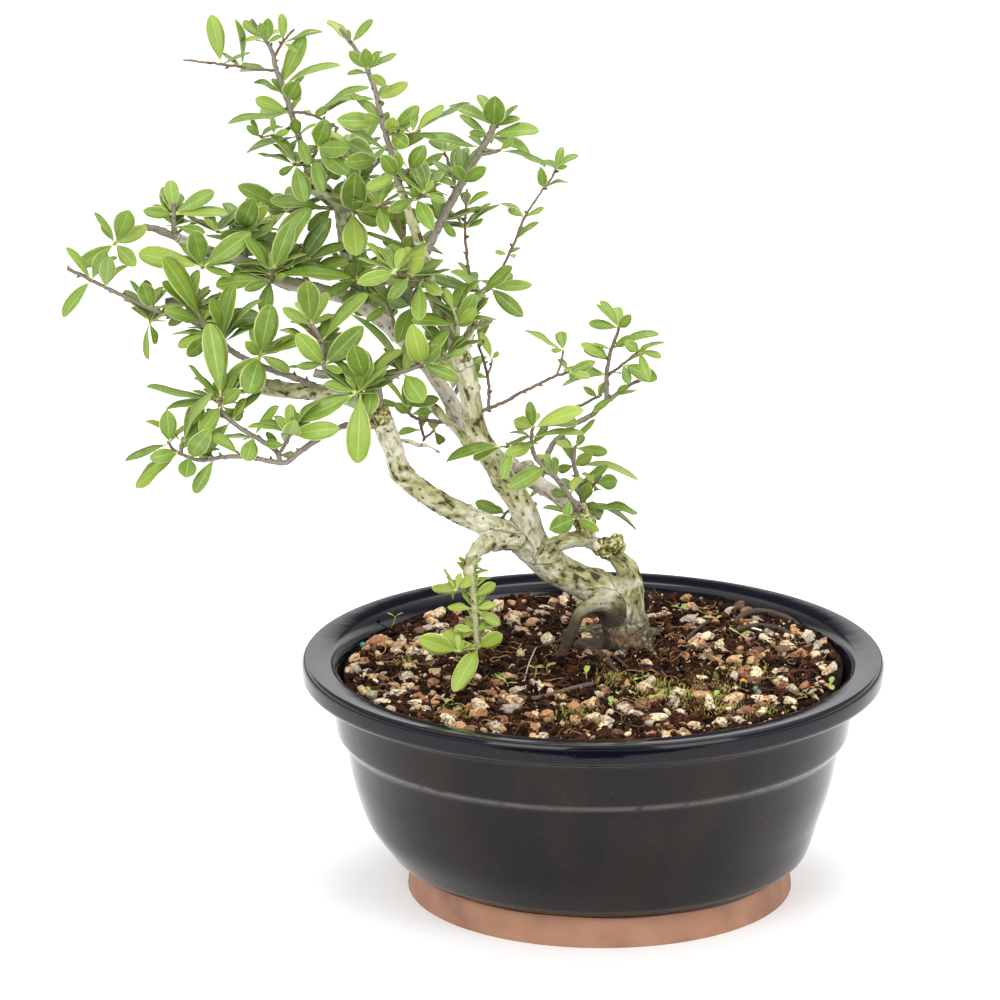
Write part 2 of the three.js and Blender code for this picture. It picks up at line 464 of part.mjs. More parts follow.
    twigs: [
      [[-90, 207, -21, 1.5], [-98, 207, -26, 1.4], [-107, 207.5, -30, 1.3], [-117, 202.5, -34, 1.3], [-125, 197.5, -37, 1.3],
        [-132, 191.5, -38, 1.2], [-136, 190.5, -38, 1.2], [-143, 192, -37, 1.1], [-152, 193.5, -35, 1.1],
        [-161, 193, -33, 1], [-170, 191.8, -31, 0.9], [-177, 194, -30, 0.8], [-181, 196, -29, 0.7], [-184, 200, -28, 0.6]],
      [[-135.5, 188.5, -38, 1.2], [-137, 195, -36, 1.1], [-143, 200, -33, 1.1], [-151, 205, -30, 1], [-157, 209.5, -27, 1],
        [-161, 214, -25, 0.9], [-161, 219.5, -24, 0.8]],
      [[-136.5, 194, -36.3, 0.9], [-133, 200, -42, 0.8], [-131, 204, -45, 0.7]],
      [[-178, 194.5, -29.8, 0.6], [-177.5, 202, -30, 0.5]],
    ],
    tufts: [
      [-161, 219, -24.1, [-164, 251, 10.6], [-191.5, 228, 3.2], [-184.5, 217, 3.6]],
      [-161, 216, -24.7, [-167, 208, 7.6], [-152.5, 223.5, 5], [-150.5, 209.5, 4.6], [-172.5, 235.5, 2.4]],
      [-156.5, 209.2, -27.2, [-172.5, 192, 6.6]],
      [-183.5, 199.3, -28.2, [-184, 215, 7.6], [-202.5, 193.5, 3.6]],
      [-179.5, 195.3, -29.4, [-190, 193, 6], [-198.5, 181.5, 6.4]],
      [-177.6, 200, -30, [-167, 224, 2.6], [-168, 208.5, 4.8], [-170.5, 216.5, 7.6]],
      [-175, 193.2, -30.3, [-176, 187, 8], [-164.5, 207, 8.6]],
      [-164, 192.7, -32.4, [-173, 178, 5.8], [-169.5, 197, 4]],
      [-153, 193.5, -34.8, [-165, 203.5, 4.8]],
      [-147, 202.5, -31.5, [-137.5, 216.5, 3.8], [-149.5, 194.5, 7.4]],
      [-142.5, 199.6, -33.2, [-136, 198.5, 4]],
      [-136.7, 194, -36.2, [-129, 194, 3.6]],
      [-131.3, 203.4, -44.6, [-129, 211.5, 7.6], [-111, 206, 8], [-138.5, 200, 4.2], [-149, 208.5, 2.2], [-137, 211, 3.4]],
    ],
  },
  {
    name: 'shoot_window',
    twigs: [
      [[-58, 208.5, 30, 1.2], [-68, 209, 24, 0.9], [-76, 210, 20, 0.8], [-80, 212, 17, 0.7], [-82, 215.5, 15, 0.6]],
      [[-76, 210, 20, 0.6], [-75, 205, 18, 0.6], [-73.5, 202, 17, 0.6], [-69.5, 205.5, 15, 0.5]],
    ],
    tufts: [
      [-82, 215.3, 15, [-93, 219, 2.8], [-68, 219.5, 5], [-77, 225.5, 4.6]],
      [-80, 212, 17, [-86.5, 217, 4], [-70, 215, 4.4]],
      [-70, 205, 15.2, [-64.5, 197, 4.2]],
      [-75, 205.3, 18, [-86, 204.5, 3.4]],
    ],
  },
  {
    name: 'shoot_behind_fork',
    twigs: [
      [[-44, 162, 6, 0.8], [-39, 168, 16, 0.7], [-34, 172, 24, 0.6], [-30, 174, 30, 0.5]],
    ],
    tufts: [
      [-39.2, 168, 15.6, [-52, 173, 5.4]],
      [-30.5, 173.7, 29.4, [-24, 168, 5], [-35, 165, 5]],
    ],
  },
  {
    name: 'shoot_right_low',
    twigs: [
      [[-51, 213, 3, 0.9], [-46, 215, -1, 0.8], [-40, 217.5, -4, 0.8], [-33, 221.5, -7, 0.7], [-25, 225.5, -10, 0.7],
        [-18, 229, -12, 0.6], [-12, 231, -14, 0.6]],
      [[-17.5, 229.2, -12, 0.5], [-15.5, 235, -12, 0.5], [-14.5, 240.5, -12, 0.5]],
      [[-46.5, 214.8, -1, 0.7], [-46.5, 226, 6, 0.7], [-48.5, 236, 10, 0.6], [-51, 243, 13, 0.5]],
      [[-47, 229, 7, 0.5], [-45.5, 233, 5, 0.5], [-45, 236.5, 4, 0.4]],
    ],
    tufts: [
      [-14.5, 240.3, -12, [-15.5, 247, 5.2], [-19.5, 240.5, 2.2]],
      [-12.5, 230.8, -13.8, [-1, 235.5, 4.6], [-4, 229, 3.2], [-8.5, 226, 2.6]],
      [-45, 236.5, 4, [-42.5, 239.5, 2.2]],
      [-50.8, 242.5, 12.8, [-48, 245.5, 2.2]],
    ],
  },
  {
    name: 'shoot_right_far',
    twigs: [
      [[-25, 181, 24, 1.6], [-22.5, 190, 28, 1.4], [-20, 197, 30, 1.3], [-15, 203, 31, 1.2], [-9, 208, 32, 1.2],
        [-3, 211.5, 33, 1.2], [3, 217, 34, 1.1], [9, 221.5, 35, 1], [15, 226, 36, 0.8], [19, 227.5, 37, 0.7]],
      [[4, 218, 34, 1.1], [4, 226, 33, 1], [4.5, 234, 32, 0.9], [6, 241, 31, 0.8], [8.5, 248, 30, 0.7], [9.5, 251, 30, 0.6]],
      [[4.3, 229, 33, 0.7], [10, 233.5, 31, 0.6], [15, 238, 29, 0.5], [19, 241, 28, 0.5]],
      [[-9, 208, 32, 0.8], [-11, 214, 36, 0.8], [-5, 217, 40, 0.7], [2, 221, 44, 0.6]],
    ],
    tufts: [
      [9, 250.3, 30, [2, 262.5, 4.2], [8.5, 257.5, 5.2], [14.5, 256.5, 4.6], [-3.5, 253, 4.4]],
      [6, 241, 31, [25.5, 249.5, 3.6], [14.5, 246.5, 4]],
      [5, 236.5, 31.7, [-6.5, 244, 4.2], [-2, 242.5, 5]],
      [4.2, 230, 32.8, [-14, 233.5, 4.6], [-16, 227, 3.2]],
      [11, 234.5, 30.6, [24, 228.5, 6.8], [13, 227.5, 4.2]],
      [18, 240, 28.3, [20.5, 232, 4.2], [27.5, 238, 3.2], [11.5, 244.5, 5], [22.5, 243.5, 2.4]],
      [8, 220.8, 34.8, [13, 225.5, 3.2], [-1, 214.5, 3.4]],
      [0, 220, 43, [-6, 224.5, 3], [5, 227, 3.4]],
    ],
  },
  {
    name: 'shoot_burr_left',
    twigs: [
      [[-6.5, 167, 9, 1.7], [-11, 174.5, 3, 1.3], [-16, 182, 0, 1.2], [-21.5, 188, -3, 1.1], [-26.5, 193.5, -6, 1],
        [-28, 200, -8, 0.9], [-27.5, 206.5, -9, 0.7]],
      [[-27.5, 197, -7, 0.7], [-33, 199, -12, 0.6], [-37, 197.5, -17, 0.5], [-41, 198, -21, 0.5]],
    ],
    tufts: [
      [-27.6, 206, -9, [-29, 218.5, 4.9], [-6.5, 215.5, 6.8], [-35.5, 209.5, 6.8], [-8, 210, 5]],
      [-28, 202, -8.4, [-6, 206, 3.2]],
      [-28, 198.5, -7.6, [-36.5, 195.5, 6.4], [-23, 204, 3]],
      [-40.5, 198, -20.6, [-65, 193.5, 5.2], [-54, 193, 4.6]],
      [-36.5, 197.6, -16.6, [-39, 189, 4.6]],
      [-22, 188.6, -3.3, [-34, 181.5, 7.2], [-17, 192, 4]],
      [-17, 183.3, -0.6, [-24, 192.5, 3.6], [-17.5, 193.5, 3]],
      [-11.5, 175.3, 2.6, [-19, 178, 4.2], [-12.8, 168.5, 3.8]],
    ],
  },
  {
    name: 'shoot_burr_right',
    twigs: [
      [[-5, 165, 10, 1.6], [-6, 174, 17, 1.3], [-8, 183, 21, 1.1], [-10, 191, 24, 1], [-9.5, 198, 26, 0.8]],
      [[-6, 175, 17.5, 0.8], [-2, 180, 12, 0.7], [2, 185, 8, 0.6]],
    ],
    tufts: [
      [-9.5, 197.3, 26, [3.5, 195.5, 5], [-6, 202, 3.2], [-17.5, 200, 2.8]],
      [-9.5, 189.5, 23.6, [18.5, 186, 3.6], [-2, 194.5, 5.6], [-17.5, 187, 4]],
      [-7, 178.5, 19.2, [-16, 182.5, 4.6], [4, 190, 4.6]],
      [-6, 173, 16.2, [-3, 183, 5.6], [18, 171, 3.4], [19, 163.5, 2.4]],
      [-1, 181.3, 11, [7.5, 182.5, 7], [-8, 181.5, 4], [1, 174, 5]],
      [-5.8, 171, 15, [5.5, 166, 5.8], [0, 171.5, 4]],
    ],
  },
  {
    name: 'shoot_burr_front',
    twigs: [
      [[-4.5, 164, 9, 1], [-7, 166, 1.5, 0.9], [-9, 166, -3, 0.7]],
    ],
    tufts: [
      [-8.5, 166, -2.4, [-17.5, 162, 9], [-2, 162, 4]],
    ],
  },
  {
    name: 'shoot_hanging',
    twigs: [
      [[-55, 143, -12, 1.9], [-54, 137, -15, 1.7], [-53, 131, -17, 1.5], [-52.5, 124, -20, 1.3], [-52, 115, -22, 1.2],
        [-51, 107, -23, 1]],
      [[-54.5, 139.5, -14, 0.9], [-60, 137, -17, 0.8], [-63, 138.5, -20, 0.7], [-65.5, 143, -22, 0.6]],
      [[-54, 136.5, -15, 0.7], [-58, 134.5, -20, 0.6], [-61, 133, -23, 0.5]],
      [[-51.3, 109, -23, 0.7], [-56, 106, -27, 0.6], [-59.5, 105.5, -30, 0.5]],
    ],
    tufts: [
      [-60.5, 133.2, -22.5, [-70, 134.5, 4.2], [-65.5, 128.5, 4], [-54.5, 138.5, 4.6]],
      [-53, 130.5, -17.3, [-43.5, 136.5, 4.8], [-56, 137.5, 4]],
      [-52.7, 125, -19.7, [-64, 126.5, 3.4], [-43.5, 127, 3.4], [-41, 118, 4.6]],
      [-52, 115, -22, [-61, 116.5, 3.6], [-45.5, 121, 4], [-62.5, 111.5, 3.6]],
      [-51, 107.5, -23, [-40.5, 113.5, 6.6], [-60, 109, 3.4], [-57.5, 95.5, 8]],
      [-59.5, 105.5, -30, [-76, 111.5, 9], [-64, 113.5, 6]],
    ],
  },
  {
    name: 'shoot_back_low',
    twigs: [
      [[-62, 218, 31, 1.1], [-59, 226, 42, 1], [-60, 235, 51, 0.8], [-65, 243, 57, 0.6]],
    ],
    tufts: [
      [-59, 228, 44, [-50, 234, 6], [-66, 224, 5]],
      [-61, 237, 52.5, [-55, 246, 6], [-70, 234, 6]],
      [-65, 243, 57, [-72, 250, 6], [-60, 253, 5]],
    ],
  },
  {
    name: 'shoot_back_middle',
    twigs: [
      [[-90, 252, 31, 1.1], [-91, 260, 43, 1], [-96, 268, 53, 0.8], [-102, 275, 60, 0.6]],
    ],
    tufts: [
      [-91.5, 261, 44.5, [-84, 254, 6], [-101, 258, 6]],
      [-96, 268, 53, [-88, 275, 6], [-105, 264, 6]],
      [-102, 275, 60, [-110, 280, 6], [-98, 285, 6]],
    ],
  },
  {
    name: 'shoot_back_left',
    twigs: [
      [[-147, 277.5, 22, 1], [-144, 280, 36, 0.9], [-142, 284, 46, 0.8], [-144, 290, 54, 0.6]],
    ],
    tufts: [
      [-143.5, 281, 39, [-134, 278, 6], [-152, 276, 6]],
      [-142, 285, 48, [-134, 292, 6], [-151, 284, 5]],
      [-144, 290, 54, [-150, 298, 6], [-138, 299, 5]],
    ],
  },
  {
    name: 'shoot_back_top',
    twigs: [
      [[-108, 294, 34.5, 1], [-104, 300, 46, 0.9], [-101, 308, 54, 0.8], [-101, 316, 59, 0.6]],
    ],
    tufts: [
      [-103.5, 301.5, 47.5, [-95, 297, 6], [-112, 298, 6]],
      [-101, 309, 54.5, [-92, 314, 6], [-110, 310, 5]],
      [-101, 316, 59, [-107, 323, 6], [-95, 323, 5]],
    ],
  },
];

// Where a point given in the front view stands: it keeps to its line of sight and lies at the given depth.
function place([x, z], depth) {
  const sight = new THREE.Vector3(x + VIEW_LINE, 0, z).sub(VIEWER);
  return VIEWER.clone().addScaledVector(sight, (depth - VIEWER.y) / -VIEWER.y);
}

// Seeded draws from 0 to 1, the same in every run.
function seeded(seed) {
  let state = seed;
  return () => {
    state = (state * 16807) % 2147483647;
    return state / 2147483647;
  };
}

// A closed three.js geometry as a solid that can be joined and cut, and back.
function toSolid(geometry) {
  const bare = geometry.clone();
  bare.deleteAttribute('normal');
  bare.deleteAttribute('uv');
  const merged = mergeVertices(bare, 1e-4);
  return new wasm.Manifold(new wasm.Mesh({
    numProp: 3,
    vertProperties: Float32Array.from(merged.attributes.position.array),
    triVerts: Uint32Array.from(merged.index.array),
  }));
}

function toGeometry(solid) {
  const mesh = solid.getMesh();
  const geometry = new THREE.BufferGeometry();
  geometry.setAttribute('position', new THREE.BufferAttribute(Float32Array.from(mesh.vertProperties), 3));
  geometry.setIndex(Array.from(mesh.triVerts));
  geometry.computeVertexNormals();
  return geometry;
}

function joined(solids) {
  return solids.reduce((sum, next) => sum.add(next));
}

// The largest of a solid's separate bodies.
function largestBody(solid) {
  return solid.decompose().sort((a, b) => b.volume() - a.volume())[0];
}

// The nearest point to a given one on any of the routes' centre lines.
function nearestOnRoutes(point, routes) {
  const found = new THREE.Vector3();
  const step = new THREE.Vector3();
  let best = Infinity;
  for (const points of routes) {
    for (let i = 1; i < points.length; i += 1) {
      const line = new THREE.Line3(points[i - 1], points[i]);
      line.closestPointToPoint(point, true, step);
      const distance = step.distanceTo(point);
      if (distance < best) {
        best = distance;
        found.copy(step);
      }
    }
  }
  return found;
}

// The points of a route. One that grows from other wood starts on the centre line of that wood.
function routePoints(route, parents) {
  const points = route.map(([x, z, depth]) => place([x, z], depth));
  if (parents.length > 0) points[0].copy(nearestOnRoutes(points[0], parents));
  return points;
}

// A branch: a cylinder whose rings are moved onto the points, each ring square to the way and with its own radius.
function branch(points, radii, sides, swell = 0) {
  const last = points.length - 1;
  const tangents = points.map((_, i) => points[Math.min(i + 1, last)].clone().sub(points[Math.max(i - 1, 0)]).normalize());
  const across = new THREE.Vector3(1, 0, 0);
  if (Math.abs(tangents[0].x) > 0.8) across.set(0, 0, 1);
  const frames = tangents.map((tangent) => {
    across.addScaledVector(tangent, -across.dot(tangent)).normalize();
    return { across: across.clone(), up: new THREE.Vector3().crossVectors(across, tangent) };
  });
  const geometry = new THREE.CylinderGeometry(1, 1, 1, sides, last);
  const position = geometry.attributes.position;
  for (let i = 0; i < position.count; i += 1) {
    const ring = Math.round((position.getY(i) + 0.5) * last);
    const radius = radii[ring] + swell;
    const corner = points[ring].clone();
    if (ring === 0) corner.addScaledVector(tangents[0], -swell);
    if (ring === last) corner.addScaledVector(tangents[last], swell);
    corner.addScaledVector(frames[ring].across, position.getX(i) * radius);
    corner.addScaledVector(frames[ring].up, position.getZ(i) * radius);
    position.setXYZ(i, corner.x, corner.y, corner.z);
  }
  return toSolid(geometry);
}

// A leaf from where it starts to its tip, with the width it shows from the front. The front view stays the same
// however the leaf stands: a tilt to or from the viewer makes it longer, a turn on its own line makes it wider.
function leafFrame(base, tip, width, stand, sway) {
  const along = tip.clone().sub(base);
  const seen = along.length();
  along.divideScalar(seen);
  const wide = Math.max(width, seen / LEAF_SLENDERNESS);
  const lean = Math.min(Math.acos(Math.min(1, seen / (wide * LEAF_SLENDERNESS))), STEEPEST_TILT);
  const tilt = THREE.MathUtils.clamp(stand.to * (lean + stand.more) + sway, -STEEPEST_TILT, STEEPEST_TILT);
  const toViewer = VIEWER.clone().sub(base);
  toViewer.addScaledVector(along, -toViewer.dot(along)).normalize();
  const direction = along.clone().multiplyScalar(Math.cos(tilt)).addScaledVector(toViewer, Math.sin(tilt));
  const flat = toViewer.multiplyScalar(Math.cos(tilt)).addScaledVector(along, -Math.sin(tilt));
  const edge = new THREE.Vector3().crossVectors(direction, flat);
  const turn = Math.acos(width / wide) * stand.turn * (edge.z < 0 ? -1 : 1);
  const normal = flat.multiplyScalar(Math.cos(turn)).addScaledVector(edge, Math.sin(turn));
  return bladeFrame(base, direction, normal, seen / Math.cos(tilt), wide / 2);
}

function bladeFrame(base, direction, normal, length, half) {
  return { base, direction, normal, side: new THREE.Vector3().crossVectors(direction, normal), length, half };
}

// A point of the folded, drooping blade: along it from 0 to 1, across it from -1 to 1, and off its middle by a lift.
function leafPoint(leaf, along, across, lift = 0) {
  const rise = Math.abs(across) * leaf.half * LEAF_FOLD - along * along * leaf.length * LEAF_DROOP + lift;
  return leaf.base.clone()
    .addScaledVector(leaf.direction, along * leaf.length)
    .addScaledVector(leaf.side, across * leaf.half)
    .addScaledVector(leaf.normal, rise);
}

// A leaf as a closed solid of few faces, from `start` along it: thin at the edge, thick at the rib below, rounded
// at the end. A swell grows it all round, to test the room it needs.
function leafSolid(leaf, start = 0, swell = 0) {
  const more = swell / leaf.half;
  const stalk = STALK_WIDTH / 2 / leaf.half;
  const root = stalk + (start / MIDDLE_ALONG) * (MIDDLE_SHARE - stalk) + more;
  const above = LEAF_THICKNESS / 4 + swell;
  const below = -LEAF_THICKNESS - swell;
  const corners = [
    leafPoint(leaf, start, root, above), leafPoint(leaf, start, -root, above), leafPoint(leaf, start, 0, below),
    leafPoint(leaf, MIDDLE_ALONG, MIDDLE_SHARE + more, above), leafPoint(leaf, MIDDLE_ALONG, -MIDDLE_SHARE - more, above),
    leafPoint(leaf, MIDDLE_ALONG, 0, below),
    leafPoint(leaf, WIDEST_ALONG, WIDEST_SHARE + more, above), leafPoint(leaf, WIDEST_ALONG, -WIDEST_SHARE - more, above),
    leafPoint(leaf, 1 + swell / leaf.length, 0, above),
  ];
  const faces = [
    [0, 1, 2], [0, 3, 4], [0, 4, 1], [0, 2, 5], [0, 5, 3], [1, 5, 2], [1, 4, 5],
    [3, 6, 7], [3, 7, 4], [6, 8, 7], [3, 5, 6], [5, 8, 6], [5, 7, 8], [4, 7, 5],
  ];
  const geometry = new THREE.BufferGeometry();
  geometry.setAttribute('position', new THREE.Float32BufferAttribute(corners.flatMap((corner) => corner.toArray()), 3));
  geometry.setIndex(faces.flat());
  return toSolid(geometry);
}

// Whether all corners of a solid stay apart when their places are rounded.
function cornersApart(solid) {
  const { numVert, vertProperties } = solid.getMesh();
  return [1e3, 1e4].every((steps) => {
    const spots = new Set();
    for (let i = 0; i < numVert; i += 1) {
      spots.add([0, 1, 2].map((k) => Math.round(vertProperties[i * 3 + k] * steps)).join());
    }
    return spots.size === numVert;
  });
}

// A solid with its shortest edges taken out, which leaves its corners apart.
function tidied(solid) {
  return SHORTEST_EDGES.map((edge) => solid.simplify(edge)).find(cornersApart);
}

// Things that stand already, each with its box, to test the room for the next.
class Neighbours {
  constructor() {
    this.things = [];
  }

  add(solid, owner) {
    this.things.push({ solid, owner, box: solid.boundingBox() });
  }

  clear(solid, wanted) {
    const box = solid.boundingBox();
    return this.things.every((thing) => {
      if (!wanted(thing.owner)) return true;
      const apart = [0, 1, 2].some((k) => thing.box.min[k] > box.max[k] || thing.box.max[k] < box.min[k]);
      return apart || thing.solid.intersect(solid).isEmpty();
    });
  }
}

// The round pot, thrown in one piece: a bare foot, a swelling body with two ledges, and a flat rim turned outward.
function makePot() {
  const profile = [
    [0, 0], [FOOT_RADIUS - FOOT_CHAMFER, 0], [FOOT_RADIUS, FOOT_CHAMFER], [FOOT_TOP_RADIUS, FOOT_HEIGHT],
    [SHOULDER_RADIUS - 3, FOOT_HEIGHT + 3], [SHOULDER_RADIUS, SHOULDER_HEIGHT], [97, 29.4], [100.5, 38], [104.6, 51],
    [BODY_RADIUS, LEDGE_BOTTOM], [LEDGE_RADIUS - 0.6, LEDGE_BOTTOM + 3], [LEDGE_RADIUS + 1.1, POT_HEIGHT - RIM_DEPTH - 3],
    [RIM_RADIUS - 8, POT_HEIGHT - RIM_DEPTH - 0.4], [RIM_RADIUS - 1.5, POT_HEIGHT - RIM_DEPTH + 1],
    [RIM_RADIUS, POT_HEIGHT - RIM_DEPTH / 2], [RIM_RADIUS - 0.3, POT_HEIGHT - RIM_CORNER],
    [RIM_RADIUS - RIM_CORNER, POT_HEIGHT], [MOUTH_RADIUS + 1, POT_HEIGHT - 1.2], [MOUTH_RADIUS - 1.2, POT_HEIGHT - 4],
    ...POT_INSIDE, [0, FLOOR_TOP],
  ];
  const geometry = new THREE.LatheGeometry(profile.map(([r, z]) => new THREE.Vector2(r, z)), POT_SIDES).rotateX(Math.PI / 2);
  const hole = toSolid(new THREE.CylinderGeometry(DRAIN_RADIUS, DRAIN_RADIUS, FLOOR_TOP * 3, DRAIN_SIDES).rotateX(Math.PI / 2));
  const holes = drainPlaces().map(([x, y]) => hole.translate([x, y, 0]));
  return toSolid(offsetBody(geometry)).subtract(joined(holes));
}

// How far the pot's middle lies to the side at a height, and a geometry moved to suit.
function offsetAt(z) {
  return BODY_OFFSET * THREE.MathUtils.smoothstep(z, OFFSET_FROM, OFFSET_TO);
}

function offsetBody(geometry) {
  const position = geometry.attributes.position;
  for (let i = 0; i < position.count; i += 1) position.setX(i, position.getX(i) + offsetAt(position.getZ(i)));
  return geometry;
}

function drainPlaces() {
  return Array.from({ length: DRAIN_COUNT }, (_, i) => {
    const angle = (2 * Math.PI * i) / DRAIN_COUNT + Math.PI / 2;
    return [DRAIN_CIRCLE * Math.cos(angle), DRAIN_CIRCLE * Math.sin(angle)];
  });
}

// A square of coarse mesh that lies over a drain hole.
function makeScreen([x, y]) {
  const plate = toSolid(new THREE.BoxGeometry(SCREEN_WIDTH, SCREEN_WIDTH, SCREEN_THICKNESS));
  const hole = toSolid(new THREE.BoxGeometry(SCREEN_HOLE, SCREEN_HOLE, SCREEN_THICKNESS * 3));
  const holes = [];
  for (const row of [-1, 1]) {
    for (const column of [-1, 1]) holes.push(hole.translate([(row * SCREEN_PITCH) / 2, (column * SCREEN_PITCH) / 2, 0]));
  }
  return plate.subtract(joined(holes)).translate([x, y, FLOOR_TOP + GAP + SCREEN_THICKNESS / 2]);
}

// How high the soil lies: a low mound round the trunk, broken by grit.
function soilHeight(x, y) {
  const away = Math.hypot(x - MOUND_CENTRE[0], y - MOUND_CENTRE[1]) / MOUTH_RADIUS;
  const mound = SOIL_MOUND * Math.max(0, 1 - away * away);
  const grit = Math.sin(x / 5.3 + 1.7 * Math.sin(y / 7.1)) * Math.sin(y / 4.7 + 1.3 * Math.sin(x / 8.3));
  return SOIL_AT_WALL + mound + SOIL_GRIT * grit;
}

// The soil fills the pot, clear of its wall, of the screens and of the wood that stands in it.
function makeSoil(wood) {
  const inside = POT_INSIDE.slice().reverse().filter(([, z]) => z < SOIL_AT_WALL - 2 && z > SOIL_BOTTOM + 2);
  const top = POT_INSIDE[0][0] - SOIL_GAP;
  const profile = [[0, SOIL_BOTTOM], [SOIL_FLOOR_RADIUS, SOIL_BOTTOM]];
  profile.push(...inside.map(([r, z]) => [r - SOIL_GAP, z]), [top, SOIL_AT_WALL]);
  for (let i = SOIL_RINGS - 1; i > 0; i -= 1) profile.push([(top * i) / SOIL_RINGS, SOIL_AT_WALL]);
  profile.push([0, SOIL_AT_WALL]);
  const geometry = new THREE.LatheGeometry(profile.map(([r, z]) => new THREE.Vector2(r, z)), SOIL_SIDES).rotateX(Math.PI / 2);
  const position = geometry.attributes.position;
  for (let i = 0; i < position.count; i += 1) {
    if (position.getZ(i) > SOIL_AT_WALL - 1) {
      const [x, y] = [position.getX(i), position.getY(i)];
      const edge = Math.hypot(x, y) > top - 1;
      position.setZ(i, edge ? SOIL_AT_WALL : soilHeight(x, y));
    }
  }
  return largestBody(toSolid(offsetBody(geometry)).subtract(wood));
}

// The trunk with its limbs and roots, in one body. Swollen, it is the room they need.
function makeWood(routes, swell) {
  const solids = routes.map(({ points, radii, sides }) => branch(points, radii, sides, swell));
  return joined(solids);
}

function woodRoute(route, sides) {
  return { points: routePoints(route, []), radii: route.map((point) => point[3]), sides };
}

function woodRoutes() {
  return [
    woodRoute(TRUNK, TRUNK_SIDES),
    ...LIMBS.map((route) => woodRoute(route, LIMB_SIDES)),
    ...ROOTS.map((route) => woodRoute(route, ROOT_SIDES)),
  ];
}

// The twigs of a shoot: the first grows from the old wood, the others from it or from one another.
function twigRoutes(shoot, limbs) {
  const routes = [];
  shoot.twigs.forEach((route, i) => {
    const parents = i === 0 ? limbs : [...limbs, ...routes.map((twig) => twig.points)];
    routes.push({ points: routePoints(route, parents), radii: route.map((point) => point[3]) });
  });
  return routes;
}

// The leaves of a shoot, each in the first stand that has room among all that grows already.
function growShoot(shoot, routes, neighbours, draw) {
  const twigs = routes.map((route) => route.points);
  let body = joined(routes.map(({ points, radii }) => branch(points, radii, TWIG_SIDES)));
  const grow = (stands) => {
    const fits = (stand, among) => {
      if (!neighbours.clear(leafSolid(stand, 0, LEAF_CLEARANCE), (owner) => owner !== shoot.name)) return false;
      if (among && !neighbours.clear(leafSolid(stand, OUTER_PART, LEAF_CLEARANCE), (owner) => owner === shoot.name)) return false;
      return cornersApart(body.add(leafSolid(stand)));
    };
    const found = stands.find((stand) => fits(stand, true)) ?? stands.find((stand) => fits(stand, false));
    if (!found) return;
    body = body.add(leafSolid(found));
    neighbours.add(leafSolid(found, OUTER_PART, LEAF_CLEARANCE), shoot.name);
  };
  for (const [x, z, depth, ...tips] of shoot.tufts) {
    const base = nearestOnRoutes(place([x, z], depth), twigs);
    for (const [tipX, tipZ, width] of tips) {
      const sway = LEAF_SWAY * (draw() - 0.5);
      const tip = place([tipX, tipZ], base.y);
      if (tip.distanceTo(base) * width < SMALLEST_LEAF) continue;
      grow(LEAF_STANDS.map((stand) => leafFrame(base, tip, width, stand, sway)));
    }
  }
  return body;
}

function addNode(group, name, solid) {
  const mesh = new THREE.Mesh(toGeometry(solid));
  mesh.name = name;
  group.add(mesh);
}

function makeTree() {
  const group = new THREE.Group();
  const wood = woodRoutes();
  const roomForWood = makeWood(wood, GAP);
  const curled = CURLED_ROOT.map((route) => woodRoute(route, ROOT_SIDES));

  addNode(group, 'pot', makePot());
  addNode(group, 'soil', makeSoil(roomForWood.add(makeWood(curled, GAP))));
  drainPlaces().forEach((spot, i) => addNode(group, `drain_screen_${i + 1}`, makeScreen(spot)));
  addNode(group, 'trunk_and_limbs', tidied(largestBody(makeWood(wood, 0))));
  addNode(group, 'surface_root', tidied(largestBody(makeWood(curled, 0))));

  const neighbours = new Neighbours();
  neighbours.add(roomForWood, 'trunk_and_limbs');
  const limbs = wood.map((route) => route.points);
  const shoots = SHOOTS.map((shoot) => ({ shoot, routes: twigRoutes(shoot, limbs) }));
  for (const { shoot, routes } of shoots) {
    for (const { points, radii } of routes) neighbours.add(branch(points, radii, TWIG_SIDES, GAP), shoot.name);
  }
  const draw = seeded(SEED);
  for (const { shoot, routes } of shoots) {
    const whole = growShoot(shoot, routes, neighbours, draw).subtract(roomForWood);
    addNode(group, shoot.name, tidied(largestBody(whole)));
  }
  return group;
}

export default makeTree();
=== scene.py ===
"""A firethorn bonsai in a round glazed pot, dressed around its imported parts.

Sizes are millimetres until a mesh is made, which turns them into Blender's metres. The tree's places are
given as the front view shows them, the same way as in the part's source.
"""

from __future__ import annotations

import logging
import math
from dataclasses import dataclass, field
from enum import Enum, IntEnum
from functools import partialmethod
from typing import Iterable, Iterator, NamedTuple, Sequence

import bmesh
import bpy
import numpy as np
from mathutils import Matrix, Vector, kdtree, noise

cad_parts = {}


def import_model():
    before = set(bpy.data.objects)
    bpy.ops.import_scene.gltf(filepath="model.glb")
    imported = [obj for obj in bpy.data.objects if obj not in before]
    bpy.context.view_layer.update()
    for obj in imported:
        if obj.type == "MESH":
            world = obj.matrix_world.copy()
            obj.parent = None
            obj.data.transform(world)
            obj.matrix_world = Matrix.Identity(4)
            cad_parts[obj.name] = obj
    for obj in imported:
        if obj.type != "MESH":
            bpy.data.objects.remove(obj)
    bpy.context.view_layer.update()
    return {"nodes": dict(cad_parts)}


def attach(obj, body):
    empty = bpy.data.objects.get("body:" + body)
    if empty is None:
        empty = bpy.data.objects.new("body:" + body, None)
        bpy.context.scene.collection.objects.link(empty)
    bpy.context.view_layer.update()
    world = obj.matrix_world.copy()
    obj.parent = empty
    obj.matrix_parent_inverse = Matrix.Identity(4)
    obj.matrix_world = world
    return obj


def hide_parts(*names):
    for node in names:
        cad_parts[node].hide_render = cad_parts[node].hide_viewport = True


log = logging.getLogger("bonsai")

MM = 0.001
BODY = "root"
SEED = 20260

